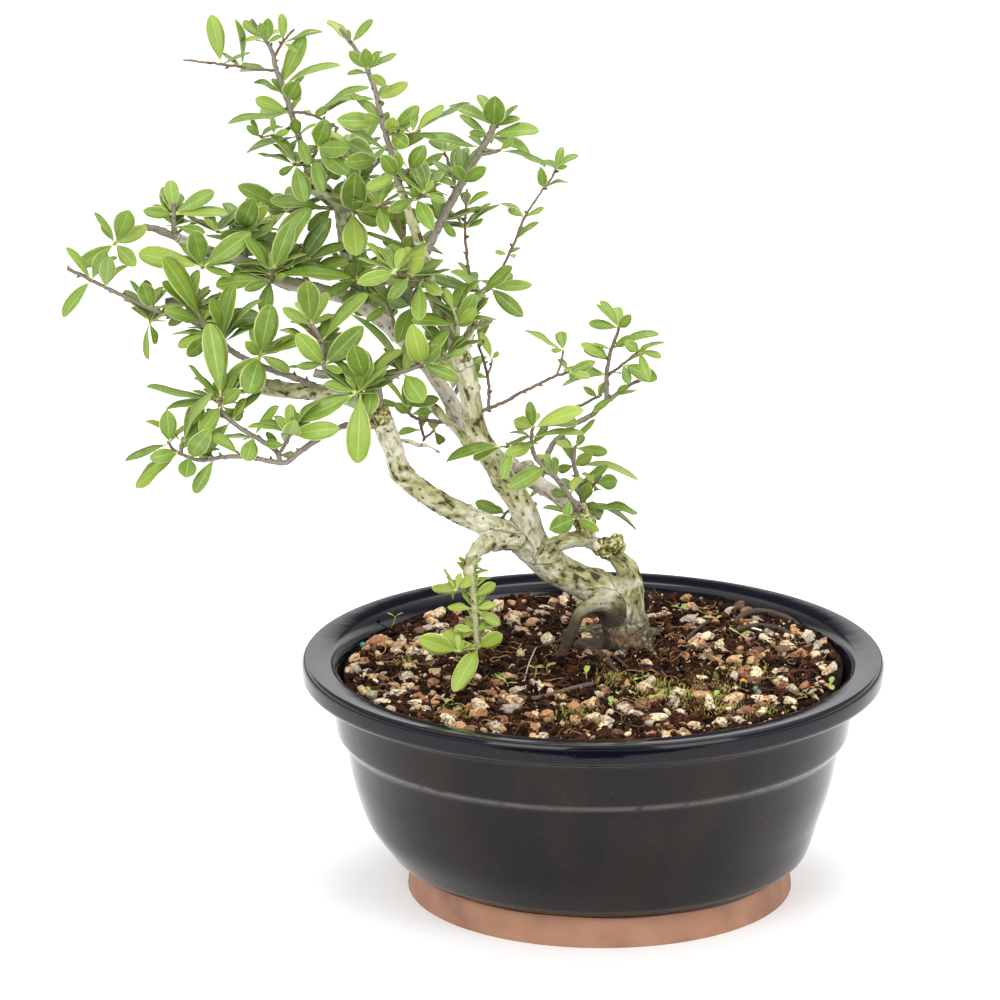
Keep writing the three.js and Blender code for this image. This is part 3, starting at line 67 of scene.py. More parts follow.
# The front view: a viewer far off on the -Y side, looking a little down. The same numbers place the camera
VIEW_SLOPE = math.radians(16.08)
VIEW_DISTANCE = 2600.0
VIEW_TARGET = Vector((-43.56, 0.0, 174.0))
VIEW_FORWARD = Vector((0.0, math.cos(VIEW_SLOPE), -math.sin(VIEW_SLOPE)))
VIEWER = VIEW_TARGET - VIEW_FORWARD * VIEW_DISTANCE
VIEW_LINE = -2.0
FOCAL_LENGTH = 217.7
SENSOR_WIDTH = 36.0

# The body was thrown a little to the left of its foot: how far, and between which heights it comes in
BODY_OFFSET = -3.3
OFFSET_FROM = 14.0
OFFSET_TO = 36.0

# The soil's top
SOIL_AT_WALL = 96.5
SOIL_MOUND = 3.5
SOIL_GRIT = 0.8
SOIL_RADIUS = 108.1
MOUTH_RADIUS = 111.8
MOUND_CENTRE = (11.0, 27.0)

# Leaves: length over width, and the solids' thickness; the fold and droop as shares of half width and length
LEAF_SLENDERNESS = 2.8
LEAF_THICKNESS = 1.1
LEAF_FOLD = 0.2
LEAF_DROOP = 0.12
# The steepest lean from the view, the range of a leaf's own sway, and the smallest solid leaf in square mm
STEEPEST_TILT = 1.05
LEAF_SWAY = 0.5
SMALLEST_SOLID_LEAF = 48.0


class LeafStand(NamedTuple):
    """How a leaf may stand: to or from the viewer, by how much more than it must, and which way it turns."""

    to: int
    more: float
    turn: int


LEAF_STANDS = (
    LeafStand(1, 0, 1), LeafStand(-1, 0, 1), LeafStand(1, 0.3, 1), LeafStand(-1, 0.3, 1),
    LeafStand(1, 0.1, -1), LeafStand(-1, 0.1, -1), LeafStand(1, 0.6, 1), LeafStand(-1, 0.6, 1),
    LeafStand(1, 0.8, 1), LeafStand(-1, 0.8, 1),
)

Numbers = float | np.ndarray
Route = Sequence[Sequence[float]]


class Shoot(NamedTuple):
    """A leafy shoot: the node it stands for, its twigs, and its tufts.

    A tuft is its x, z and depth, then for each of its leaves the x and z of the tip and the width.
    """

    name: str
    twigs: Sequence[Route]
    tufts: Sequence[Sequence]


# The old wood. Each point is x and z as the front view shows it, depth behind the pot's axis, and radius
TRUNK = [
    [13, 90, 27, 13], [14, 99, 27, 13], [14, 108, 26.5, 11.2], [12.5, 118, 25.5, 10.3], [9, 127, 24, 9.8],
    [2, 133.5, 22, 8.4], [-7, 138, 20, 7.3], [-16, 142.5, 18, 7.3], [-24, 149, 15, 7.4],
    [-31, 155, 12.5, 6.6],
]

LIMBS = [
    # The front limb, up to its rough cut end, and its pale continuation to the left
    [[-28, 154, 13, 6.2], [-38, 158.5, 8, 6], [-47, 162.5, 4, 5.3], [-56, 167, 0, 5],
     [-65, 171.5, -4, 4.8], [-73, 176.5, -8, 4.6], [-80, 182, -11, 4.6], [-85, 188.5, -14, 4.6],
     [-87, 196, -17, 4.4], [-89.5, 203, -20, 4.7], [-92, 210, -22, 4.6], [-94, 214, -23, 4.2]],
    [[-91, 208, -22, 3.4], [-99, 216, -21, 3.8], [-109, 220.5, -18, 3.7], [-120, 222, -14, 3.6],
     [-130, 222.5, -11, 3.6], [-140, 224, -8, 3.6], [-149, 226, -6, 3.4], [-157, 230, -4, 2.6]],
    # The main upright, its thin mossy leader with a lichened stub, and the leader that leans left
    [[-26, 151, 14, 6.2], [-28, 160, 11, 5.8], [-32, 170, 9, 5.7], [-37.5, 180, 7, 5.6],
     [-43.5, 190, 5, 5.2], [-49.5, 200, 3.5, 5], [-52.5, 210, 2.5, 4.6], [-54, 220, 1, 4.6],
     [-56, 230, -1, 4.7], [-58.5, 238, -2, 4.2]],
    [[-57, 236, -2, 2.6], [-56, 243, -1, 2.1], [-54, 250, 0, 2], [-52, 258, 2, 1.7], [-50, 264, 3, 1.5]],
    [[-53.5, 250, 0, 1.3], [-49, 252, -2, 1.2], [-45, 254, -3, 1.1]],
    [[-58, 235, -2, 3.2], [-62, 244, -4, 3], [-66, 254, -6, 2.8], [-70, 264, -7, 2.7],
     [-72, 274, -8, 2.6], [-74.5, 284, -9, 2.5], [-78, 294, -10, 2.2], [-81, 303, -11, 1.9],
     [-84, 312, -11, 1.6]],
    # The pale limb that rises behind the upright and runs on to the left, and the leader that stands on it
    [[-4, 158, 10, 3.4], [-8, 168, 13, 3.6], [-15, 174, 18, 3.7], [-24, 180.5, 23, 3.7],
     [-34, 187, 27, 3.7], [-45, 195.5, 29, 3.6], [-55, 204, 30, 3.6], [-60.5, 213, 31, 3.6],
     [-65, 222, 31, 3.5], [-71, 231, 31, 3.4], [-79, 241, 31, 3.3], [-88, 250, 31, 3.3],
     [-97, 258, 30, 3.2], [-106, 263.5, 29, 3.2], [-118, 266.5, 27, 3.2], [-130, 269.5, 25, 3],
     [-140, 273.5, 23, 2.8], [-152, 279.5, 21, 2.7], [-164, 283.5, 18.5, 2.6], [-174, 287.5, 16, 2.5],
     [-180, 291, 14.5, 2]],
    [[-34, 187, 27, 3.4], [-28, 189.5, 21, 2.6]],
    [[-95, 256.5, 30, 2.7], [-101, 266, 33, 2.6], [-105, 277, 35, 2.6], [-108, 288, 35, 2.5],
     [-109, 298, 34, 2.5], [-110, 304.5, 33, 2.5], [-114, 308.5, 31, 2.5], [-119, 310, 30, 2.4],
     [-121.5, 314, 29, 2.3], [-123, 321, 28, 1.9]],
    # The right shoulder and the level limb, which meet and close a window, with the burr and knobs where
    # they meet
    [[13, 126, 24, 8.5], [14.5, 136, 22.5, 5.6], [13, 143, 20.5, 4.8], [8.5, 148.5, 17, 3.8],
     [2, 152.5, 13.5, 3.2], [-4, 156, 10.5, 3.2]],
    [[-26, 151, 14, 4.2], [-18, 154, 11, 3.5], [-11, 156, 10, 3.4], [-4, 156.5, 9.5, 3.3]],
    [[3, 152.5, 13, 2.8], [7.5, 154, 12, 2.7], [11, 154.5, 11, 2.6]],
    [[-4, 156, 10, 3.4], [-4, 162, 9.5, 4.2], [-6, 167.5, 9, 3], [-7.5, 170, 8.5, 2]],
    # The short limb that bends down over the pot, and two bare stubs behind the fork
    [[-34, 157, 10, 5.5], [-42, 156.5, 4, 4.9], [-48, 154.5, -3, 4.1], [-52, 150.5, -8, 3.2],
     [-54.5, 145.5, -11, 2.6], [-55, 140, -13.5, 2.2]],
    [[-54, 198, 5, 2.2], [-60, 205, 11, 1.9], [-66, 211, 14, 1.8], [-72, 217, 16, 1.6]],
    [[-87, 200, -17, 1.1], [-82, 200.5, -10, 1], [-76, 198.5, -6, 0.9], [-71, 197.5, -3, 0.9],
     [-67.5, 195, -1, 0.9]],
]

ROOTS = [
    [[6, 127, 20, 4.2], [-2, 126.5, 12, 3.4], [-7, 123, 8, 2.8], [-10, 116, 7, 2.6], [-13, 109, 8, 2.5],
     [-16, 102, 9, 2.3], [-17, 94, 9, 2]],
    [[2, 108, 24, 4], [-8, 108.5, 22, 2.4], [-1, 105, 14, 2.4], [5, 101, 2, 2.2], [8, 96, -8, 1.8]],
    [[18, 110, 24, 4.6], [23, 104.5, 17, 3.2], [27, 100, 10, 2.4], [30, 95.5, 4, 1.8]],
    [[16, 112, 34, 6], [23, 113, 44, 4], [32, 112, 54, 2.6]],
    [[8, 112, 34, 6], [-4, 114, 44, 3.8], [-14, 113, 54, 2.6]],
]

CURLED_ROOT = [
    [[57, 110.5, 46, 1.3], [59, 117, 58, 1.4], [63, 122, 67, 1.5], [69, 124, 70, 1.5],
     [76, 123, 68, 1.5], [83, 120.5, 62, 1.4], [88, 116.5, 55, 1.3], [91, 110.5, 46, 1.2]],
    [[57.5, 111.5, 46, 1.2], [60, 114.5, 47, 1.2], [64, 116.5, 50, 1.3], [70, 117.5, 54, 1.3],
     [77, 116.5, 52, 1.3], [83, 114, 46, 1.2], [86.5, 110, 38, 1.1], [88, 105, 29, 1]],
]

SHOOTS = [
    Shoot("shoot_leader_left", [
        [[-122.5, 320, 28, 1.6], [-124.5, 327, 27.5, 1.5], [-127, 335, 27, 1.4], [-130, 345, 27, 1.3],
         [-133, 355, 26, 1.2], [-136, 363, 25, 1.1], [-137, 369, 25, 1], [-140, 375, 24, 0.9],
         [-146, 384, 23, 0.8]],
        [[-137, 368, 25, 0.7], [-132.5, 375, 22, 0.6], [-128, 380, 20, 0.5]],
        [[-136, 362, 25, 0.7], [-145, 363, 26.5, 0.6], [-159, 365, 29.5, 0.6], [-175, 367, 32, 0.5]],
        [[-129, 339, 27, 0.6], [-136, 335, 24, 0.5], [-143, 333.5, 22, 0.4]],
        [[-130, 344.5, 27, 0.7], [-122, 343.5, 20, 0.6], [-116, 341, 12, 0.6], [-110, 337.5, 5, 0.5]],
        [[-123.5, 323, 28, 0.9], [-120, 326, 20, 0.8], [-119, 330, 14, 0.6]],
        [[-123.5, 322, 28, 0.8], [-127, 321.5, 22, 0.7], [-129, 322, 18, 0.6]],
    ], [
        [-159, 365, 29.5, [-162.5, 385.5, 7.5]], [-150, 364, 27.5, [-150.5, 385, 2.6]],
        [-139, 362.5, 25.5, [-150.5, 366, 2.6]],
        [-141, 376, 24, [-149.5, 383.5, 4.5], [-142.5, 383.5, 3.6], [-149, 375.5, 2.2]],
        [-139.5, 374, 24, [-139, 385, 5], [-133.5, 377.5, 2.2]],
        [-133, 374.5, 22.5, [-133, 386.5, 4.2], [-127, 371, 2]],
        [-133, 356, 26, [-124.5, 377, 7.5], [-110, 367, 3.4], [-131, 365, 4]],
        [-131.5, 350, 26.5, [-126, 358.5, 8.5], [-137, 359, 3], [-144.5, 358.5, 2.4]],
        [-130.5, 344, 27, [-144.5, 350, 5.8], [-156, 342.5, 3.2], [-146, 346, 8]],
        [-127, 334, 27, [-129, 342.5, 5], [-134, 325, 3.4], [-150, 329.5, 2.4], [-123.5, 325, 5]],
        [-137, 334.6, 23.6, [-137.5, 342, 2.6], [-131, 336, 3]],
        [-143, 333.5, 22, [-148.5, 338.5, 3], [-146, 341.5, 2.4]],
        [-120, 343, 18, [-98.5, 357.5, 3.2], [-106.5, 351, 2.8], [-114, 346.5, 3.6]],
        [-119, 329, 15, [-114.5, 342, 8.5], [-106.5, 329, 9], [-108, 320, 8.5]],
        [-120.5, 325, 21, [-117.5, 313.5, 6]],
        [-128, 321.7, 20, [-136, 317, 3.4], [-125, 308.5, 8], [-131.5, 328, 3.2]],
    ]),
    Shoot("shoot_crown_right", [
        [[-109, 301, 33, 1], [-106.5, 302, 25, 0.9], [-102, 301.5, 16, 0.8]],
    ], [
        [-104.5, 302, 20, [-102.5, 321.5, 11], [-103, 289, 10.5]],
        [-101.5, 301.5, 16, [-72.5, 296.5, 7.5], [-93, 306, 5], [-88, 297.5, 4]],
    ]),
    Shoot("shoot_crown_left", [
        [[-110, 302, 33, 0.9], [-120, 303, 35, 0.8], [-131, 301, 35, 0.7]],
    ], [
        [-113, 302.3, 34, [-121.5, 294.5, 6], [-137.5, 308.5, 4.8]],
        [-131, 301, 35, [-151.5, 313.5, 7.5], [-141, 303, 5]],
    ]),
    Shoot("shoot_crown_middle", [
        [[-117, 310, 30, 1], [-115, 315, 36, 0.8], [-110, 320, 40, 0.7], [-103, 325, 42, 0.6]],
    ], [
        [-114.5, 316, 36.5, [-108.5, 322, 7]],
        [-103, 325, 42, [-113, 332.5, 8], [-99, 332, 7], [-93, 323, 6], [-104, 314, 6]],
    ]),
    Shoot("shoot_leader_right", [
        [[-83, 309, -11, 1.5], [-86, 320, -11, 1.4], [-88.5, 330, -11, 1.3], [-91.5, 341, -11, 1.2],
         [-93.5, 351, -10, 1.1], [-96, 359, -10, 1.1], [-99, 366, -10, 1], [-103.5, 373, -9, 0.9],
         [-108.5, 380, -8, 0.8]],
        [[-96.5, 360, -10, 1.1], [-98.3, 367.5, -12, 1.2]],
        [[-90, 335, -11, 0.8], [-85, 335, -16, 0.7], [-79, 335, -20, 0.6], [-75, 336.5, -22, 0.5]],
        [[-85, 314, -11, 0.9], [-80, 319.5, -9, 0.7], [-78, 321.5, -7, 0.6]],
        [[-89, 324, -11, 0.8], [-91, 324.5, -4, 0.7], [-93, 324, 3, 0.6]],
    ], [
        [-104, 374, -9, [-106, 379, 3.2], [-96, 384.5, 3.8]],
        [-96.8, 363, -10.5, [-105, 370.5, 4.6], [-98.5, 373, 6], [-86, 370.5, 3.2], [-92.5, 371, 3.6]],
        [-96.5, 361, -10, [-106, 361.5, 2.4], [-91.5, 357.5, 4.4]],
        [-92.8, 350, -10, [-80.5, 357, 5.5], [-110, 351.5, 2.6], [-90, 346, 2.8]],
        [-92, 340, -11, [-109.5, 341, 8], [-98.5, 349, 4], [-99, 343, 4]],
        [-88, 335, -13, [-76, 347, 6], [-86.5, 343, 6], [-90.5, 342.5, 5.5], [-82.5, 331, 7]],
        [-78.5, 335, -20.3, [-66.5, 348, 4.2], [-57, 350.5, 2.8], [-77.5, 344, 3.6], [-67.5, 334, 2.8]],
        [-88, 327, -11, [-73.5, 335.5, 5], [-107, 341, 3.2]],
        [-86, 317, -11, [-92, 326.5, 7], [-97.5, 311.5, 5.2], [-84.5, 328, 5]],
        [-80, 319.5, -9, [-73, 330.5, 7], [-60, 314.5, 2.8], [-69, 311, 4.2], [-77, 309, 4]],
        [-93, 324, 3, [-104.5, 323, 7.5], [-106, 331.5, 9]],
    ]),
    Shoot("shoot_leader_low_right", [
        [[-82, 306, -11, 0.9], [-77, 307, -15, 0.8], [-73, 309, -18, 0.6]],
    ], [
        [-77, 307, -15, [-72.5, 298, 7], [-79, 312.5, 4.5], [-86, 303, 5]],
        [-73.5, 308.7, -18, [-65, 306, 3], [-70, 315, 3]],
    ]),
    Shoot("shoot_leader_low_left", [
        [[-82, 306, -11, 0.9], [-88, 305, -5, 0.8], [-94, 303, 0, 0.7]],
    ], [
        [-93, 303.5, -1, [-99, 309.5, 3.6], [-91, 296, 5.4]],
    ]),
    Shoot("shoot_top_right", [
        [[-73, 282, -8.5, 2.1], [-70, 290, -6, 2], [-66, 298, -3, 1.9], [-62, 306, 0, 1.8],
         [-57.5, 314, 3, 1.7], [-53.5, 321, 6, 1.6], [-49.5, 328, 8, 1.7], [-46, 334.5, 10, 1.5],
         [-43, 341, 11, 1.4]],
        [[-50.5, 326, 8, 1], [-45, 327, 6, 0.9], [-41.5, 328, 5, 0.7]],
        [[-63, 304, 0, 0.8], [-61, 311, 12, 0.8], [-62, 319, 24, 0.7], [-65, 327, 33, 0.6]],
    ], [
        [-44.3, 338, 10.6, [-43.5, 352.5, 9.8], [-62, 348.5, 5], [-33.5, 342.5, 3.4]],
        [-46.3, 334, 10, [-58, 344.5, 3.2], [-25.5, 338, 6], [-53.5, 335.5, 3.8], [-42.5, 331.5, 4.5],
         [-28, 328, 4.6]],
        [-49, 329, 8.3, [-72, 337, 4.4]], [-42, 328, 5, [-22, 323, 2.8], [-36, 332.5, 3.4]],
        [-57.5, 314, 3, [-47.5, 320.5, 5.6], [-61, 322.5, 6]], [-66.3, 297, -3.1, [-61.5, 291.5, 3.6]],
        [-61.5, 317, 21, [-55, 322, 4], [-68, 318, 4]],
        [-65, 327, 33, [-70, 333, 5], [-59, 332, 5], [-73, 322, 4]],
    ]),
    Shoot("shoot_right_crown", [
        [[-50.5, 262, 3, 1.4], [-49.3, 266, 3.6, 1.3], [-44.5, 269, 5, 1]],
        [[-50, 264.5, 3, 0.7], [-53, 270, 1, 0.7], [-55, 277, 0, 0.6], [-56, 286, 0, 0.6],
         [-56.5, 296, 0, 0.6], [-56, 303, 0, 0.5], [-55.5, 311, 0, 0.5]],
        [[-46, 268.5, 4.6, 0.7], [-41, 276, 5, 0.6], [-38, 282.5, 5, 0.6], [-35, 289, 6, 0.6],
         [-31.5, 298, 8, 0.6], [-28, 304, 9, 0.5], [-23, 311.5, 11, 0.5], [-19, 317, 12, 0.5],
         [-18, 321, 12, 0.4]],
    ], [
        [-50, 266, 3.4, [-72, 276, 5], [-37, 278, 5.6], [-62, 278, 3.2]],
        [-46, 268.3, 4.6, [-28, 270.5, 5.2], [-33, 256.5, 6.8], [-36.5, 274, 5]],
        [-51.5, 267.5, 2, [-58, 279.5, 2.4]], [-56, 303, 0, [-47, 310.5, 2.6], [-49.5, 300.5, 2.2]],
        [-56.5, 294, 0, [-49, 298.5, 2.2]], [-38, 282.5, 5, [-43.5, 284, 2], [-33.5, 281.5, 2]],
        [-35, 289, 6, [-31.5, 294, 3.2]], [-31, 298.8, 8.2, [-38, 302.5, 3.2], [-23.5, 303.5, 2.6]],
        [-23, 311.5, 11, [-24.5, 321.5, 4.4]],
        [-18.3, 320, 12, [-15.5, 328.5, 3.6], [-9, 326.5, 3.2], [-13.5, 321, 2.2]],
    ]),
    Shoot("shoot_mossy_hook", [
        [[-64, 248.5, -5, 1.3], [-61, 246.5, -11, 1.3], [-59.5, 250, -15, 1.1], [-60.5, 256, -17, 0.7],
         [-62.5, 260, -18, 0.5]],
    ], [
        [-59.7, 251.5, -15.2, [-79, 255.5, 5.6], [-52, 265.5, 6.2], [-52.5, 254, 3.2], [-51.5, 259, 5]],
        [-61.5, 258, -17.5, [-64.5, 266.5, 3.6]],
    ]),
    Shoot("shoot_inner_front", [
        [[-71, 268, -7.5, 0.9], [-75, 271, -20, 0.8], [-80, 273, -31, 0.7], [-86, 275, -39, 0.6]],
    ], [
        [-75.5, 271.3, -21, [-76, 259.5, 6.8], [-68, 266.5, 5]],
        [-80, 273, -31, [-74.5, 282, 5], [-88, 264, 5]],
        [-86, 275, -39, [-93.5, 277.5, 6.6], [-99.5, 271, 6], [-83, 284, 5]],
    ]),
    Shoot("shoot_inner_thin", [
        [[-78, 240, 30, 1.1], [-78.5, 249, 23, 1], [-79, 257, 18, 1], [-79.5, 266, 14, 0.9],
         [-81, 276, 12, 0.9], [-82, 285, 11, 0.8], [-84, 295, 11, 0.8], [-85.5, 300, 11, 0.7]],
    ], [
        [-82, 285, 11, [-91.5, 289, 4], [-91, 281, 6], [-80, 291.5, 3.6]],
        [-81.3, 278, 11.8, [-100, 279.5, 3.6]], [-80, 268, 13.5, [-91, 273, 5]],
        [-79.3, 260, 16.5, [-88, 262, 5], [-83, 250, 8]],
    ]),
    Shoot("shoot_centre_up", [
        [[-121, 267, 27, 1], [-124, 272, 22, 1], [-127, 277.5, 17, 0.9], [-126, 287, 13, 0.9]],
    ], [
        [-127, 278.5, 16.6, [-114.5, 298, 8], [-107, 288.5, 4.6], [-131.5, 286.5, 3.2]],
        [-125, 273.8, 20.5, [-107, 281.5, 5.2], [-117, 276, 4]],
    ]),
    Shoot("shoot_centre_back", [
        [[-98, 259, 30, 1], [-100, 266, 24, 0.8], [-103, 271.5, 20, 0.7]],
    ], [
        [-103, 271.5, 20, [-107, 280, 6.6], [-113.5, 266, 5], [-94, 274.5, 4.5]],
        [-99.5, 265, 25, [-92.5, 268.5, 5], [-107, 263, 5]],
    ]),
    Shoot("shoot_centre_middle", [
        [[-86, 248, 31, 1], [-88, 257, 22, 0.8], [-90, 262, 17, 0.6]],
    ], [
        [-89, 260, 18.5, [-97, 265, 5], [-84, 268, 5.5], [-96.5, 255, 4]],
    ]),
    Shoot("shoot_inner_left", [
        [[-138.5, 272, 23, 1.2], [-139, 273.5, 14, 1], [-138.8, 271, 7, 0.8], [-138, 276.5, 2, 0.7]],
    ], [
        [-138, 276, 2.5, [-130, 297, 8.2]], [-138.5, 273.5, 4.5, [-105, 276, 6.6], [-148, 290.5, 5]],
        [-138.8, 271.3, 8, [-162, 270.5, 7.2], [-148, 268, 4.4], [-133, 273.5, 3.2]],
        [-139, 273, 13, [-124.5, 303, 9.6], [-142, 258, 6.5]],
    ]),
    Shoot("shoot_left_back_top", [
        [[-149, 278, 22, 1.1], [-150, 286, 20, 0.9], [-151, 294, 18, 0.7]],
    ], [
        [-151, 294, 18, [-145, 310, 10], [-139.5, 304, 6], [-157, 303, 6]],
        [-150.3, 288, 19.5, [-138.5, 296.5, 4.4], [-137, 290.5, 6], [-159, 291.5, 4]],
    ]),
    Shoot("shoot_left_middle", [
        [[-169.5, 285.5, 17.5, 1], [-168.5, 281, 10, 0.9], [-168, 276.8, 3, 0.8]],
    ], [
        [-168, 277, 3.4, [-194.5, 284, 9], [-172, 295, 9], [-147.5, 292, 9.2], [-155.5, 274, 3.4]],
    ]),
    Shoot("shoot_left_top", [
        [[-177.5, 290, 15, 1.9], [-186, 293, 12, 1.6], [-193, 294.5, 9, 1.4], [-200, 291, 5, 0.8],
         [-205.5, 287, 2, 0.6]],
        [[-179.5, 291, 14.5, 1.4], [-180, 298, 13.5, 1.1], [-180, 305, 13, 1]],
        [[-178, 292, 15, 0.8], [-170, 296.5, 11, 0.6], [-160.5, 292, 7, 0.5]],
    ], [
        [-205, 287.4, 2.2, [-198, 303.5, 9], [-191.5, 294.5, 6], [-199, 280.5, 7], [-220, 278, 6.6],
         [-210, 296, 4.2]],
        [-180, 300, 13.4, [-163.5, 310.5, 6.6], [-157, 302.5, 4.4], [-191.5, 301.5, 5.2]],
        [-180, 295, 14, [-168, 292.5, 4.6], [-187.5, 305, 3.4]], [-161.5, 292.5, 7.3, [-167, 300, 2.8]],
    ]),
    Shoot("shoot_left_tip", [
        [[-111, 221, -17, 1.6], [-118, 223.5, -15, 1.5], [-127, 227.5, -16, 1.5],
         [-138, 231.5, -14, 1.4], [-148, 235.5, -10, 1.4], [-156, 240, -5, 1.4], [-162, 246, 0, 1.4],
         [-168, 252.5, 3, 1.5], [-173, 258.5, 6, 1.6], [-177, 262, 7, 1.6], [-184, 262, 8, 1.5]],
        [[-168, 252.5, 3, 1.2], [-178, 254.5, 0, 1.1], [-188, 258, -3, 1], [-200, 263.5, -6, 0.9],
         [-213, 270, -9, 0.8], [-225.5, 276.5, -12, 0.8]],
        [[-188, 258, -3, 0.5], [-191, 253, -5, 0.5]],
        [[-145, 234.5, -11, 0.8], [-144, 238.5, -15, 0.7]],
    ], [
        [-215.5, 271.3, -9.5, [-228.5, 256.5, 5.4], [-224.5, 286.5, 3.6], [-208.5, 285.5, 6.2]],
        [-209.5, 268.2, -8.2, [-207.5, 283.5, 7], [-201, 278.5, 2.2]], [-190, 259, -3.5, [-194, 271, 7.6]],
        [-191, 253, -5, [-193, 238.5, 2.8], [-187.5, 243, 3.2]],
        [-173, 258.3, 6, [-184.5, 271.5, 5.2], [-183, 251.5, 4.4], [-171, 276, 4.8], [-170.5, 268, 4]],
        [-168.5, 253, 3.3, [-182.5, 283.5, 8.2], [-143.5, 255.5, 8.8], [-158, 254.5, 7],
         [-183.5, 258.5, 5.6]],
        [-164, 248.5, 1.2, [-180, 243, 5], [-172, 241, 6.4]],
        [-160, 244, -1.6, [-156.5, 269.5, 7], [-145, 265, 2], [-163, 265, 4]],
        [-144, 238.3, -14.8, [-139, 261.5, 10], [-124.5, 247.5, 6], [-150.5, 244.5, 4.6],
         [-147.5, 227, 11], [-158.5, 226.5, 6.6], [-132, 232, 4.6]],
    ]),
    Shoot("shoot_front_low", [
        [[-94, 214, -22, 2.1], [-94, 223, -26, 2], [-98, 227.5, -29, 2], [-108, 229, -32, 1.9],
         [-121, 230.5, -35, 1.8]],
        [[-94, 224, -26.5, 1.5], [-88, 228.5, -26, 1.3], [-80, 232.5, -24, 1.2], [-71, 236, -20, 1],
         [-63, 238, -16, 0.8]],
        [[-116, 230, -34, 1], [-117.5, 238, -35, 1], [-118.5, 245.5, -34, 1.1], [-123.5, 254, -32, 1]],
        [[-118.5, 245.5, -34, 0.7], [-124, 249.5, -37, 0.6]],
        [[-101, 228, -30, 0.9], [-100.5, 223, -36, 0.8], [-103, 221.5, -41, 0.7]],
    ], [
        [-117, 234, -34.5, [-100, 251, 8.8], [-128.5, 248, 8.4], [-127.5, 233.5, 3.8],
         [-110.5, 231.5, 3.2]],
        [-118.3, 243.5, -34.4, [-100.5, 266.5, 5.8]],
        [-122, 251.5, -32.6, [-124, 273.5, 9.6], [-115.5, 266, 5.2], [-134, 259, 5]],
        [-99.5, 228, -29.5, [-105, 246, 9.6], [-85, 241.5, 4.2]],
        [-96, 226, -27.8, [-97.5, 216.5, 8], [-90, 234, 3.6]], [-101, 222.5, -37.5, [-102.5, 195, 10.6]],
        [-103, 221.5, -41, [-128, 211.5, 8.2], [-107, 210, 8], [-116.5, 226.5, 4.2]],
        [-83, 231, -24.8, [-100.5, 256.5, 4], [-76.5, 221, 9.8], [-78.5, 241, 4.4]],
        [-75, 234.3, -21.8, [-66.5, 243.5, 6.2], [-79.5, 253.5, 9.4], [-61, 228.5, 5.8], [-65, 249, 5]],
        [-65, 237.5, -17, [-56.5, 240.5, 3.2], [-62.5, 234.5, 3]],
    ]),
    Shoot("shoot_low_left", [
        [[-90, 207, -21, 1.5], [-98, 207, -26, 1.4], [-107, 207.5, -30, 1.3], [-117, 202.5, -34, 1.3],
         [-125, 197.5, -37, 1.3], [-132, 191.5, -38, 1.2], [-136, 190.5, -38, 1.2],
         [-143, 192, -37, 1.1], [-152, 193.5, -35, 1.1], [-161, 193, -33, 1], [-170, 191.8, -31, 0.9],
         [-177, 194, -30, 0.8], [-181, 196, -29, 0.7], [-184, 200, -28, 0.6]],
        [[-135.5, 188.5, -38, 1.2], [-137, 195, -36, 1.1], [-143, 200, -33, 1.1], [-151, 205, -30, 1],
         [-157, 209.5, -27, 1], [-161, 214, -25, 0.9], [-161, 219.5, -24, 0.8]],
        [[-136.5, 194, -36.3, 0.9], [-133, 200, -42, 0.8], [-131, 204, -45, 0.7]],
        [[-178, 194.5, -29.8, 0.6], [-177.5, 202, -30, 0.5]],
    ], [
        [-161, 219, -24.1, [-164, 251, 10.6], [-191.5, 228, 3.2], [-184.5, 217, 3.6]],
        [-161, 216, -24.7, [-167, 208, 7.6], [-152.5, 223.5, 5], [-150.5, 209.5, 4.6],
         [-172.5, 235.5, 2.4]],
        [-156.5, 209.2, -27.2, [-172.5, 192, 6.6]],
        [-183.5, 199.3, -28.2, [-184, 215, 7.6], [-202.5, 193.5, 3.6]],
        [-179.5, 195.3, -29.4, [-190, 193, 6], [-198.5, 181.5, 6.4]],
        [-177.6, 200, -30, [-167, 224, 2.6], [-168, 208.5, 4.8], [-170.5, 216.5, 7.6]],
        [-175, 193.2, -30.3, [-176, 187, 8], [-164.5, 207, 8.6]],
        [-164, 192.7, -32.4, [-173, 178, 5.8], [-169.5, 197, 4]], [-153, 193.5, -34.8, [-165, 203.5, 4.8]],
        [-147, 202.5, -31.5, [-137.5, 216.5, 3.8], [-149.5, 194.5, 7.4]],
        [-142.5, 199.6, -33.2, [-136, 198.5, 4]], [-136.7, 194, -36.2, [-129, 194, 3.6]],
        [-131.3, 203.4, -44.6, [-129, 211.5, 7.6], [-111, 206, 8], [-138.5, 200, 4.2],
         [-149, 208.5, 2.2], [-137, 211, 3.4]],
    ]),
    Shoot("shoot_window", [
        [[-58, 208.5, 30, 1.2], [-68, 209, 24, 0.9], [-76, 210, 20, 0.8], [-80, 212, 17, 0.7],
         [-82, 215.5, 15, 0.6]],
        [[-76, 210, 20, 0.6], [-75, 205, 18, 0.6], [-73.5, 202, 17, 0.6], [-69.5, 205.5, 15, 0.5]],
    ], [
        [-82, 215.3, 15, [-93, 219, 2.8], [-68, 219.5, 5], [-77, 225.5, 4.6]],
        [-80, 212, 17, [-86.5, 217, 4], [-70, 215, 4.4]], [-70, 205, 15.2, [-64.5, 197, 4.2]],
        [-75, 205.3, 18, [-86, 204.5, 3.4]],
    ]),
    Shoot("shoot_behind_fork", [
        [[-44, 162, 6, 0.8], [-39, 168, 16, 0.7], [-34, 172, 24, 0.6], [-30, 174, 30, 0.5]],
    ], [
        [-39.2, 168, 15.6, [-52, 173, 5.4]], [-30.5, 173.7, 29.4, [-24, 168, 5], [-35, 165, 5]],
    ]),
    Shoot("shoot_right_low", [
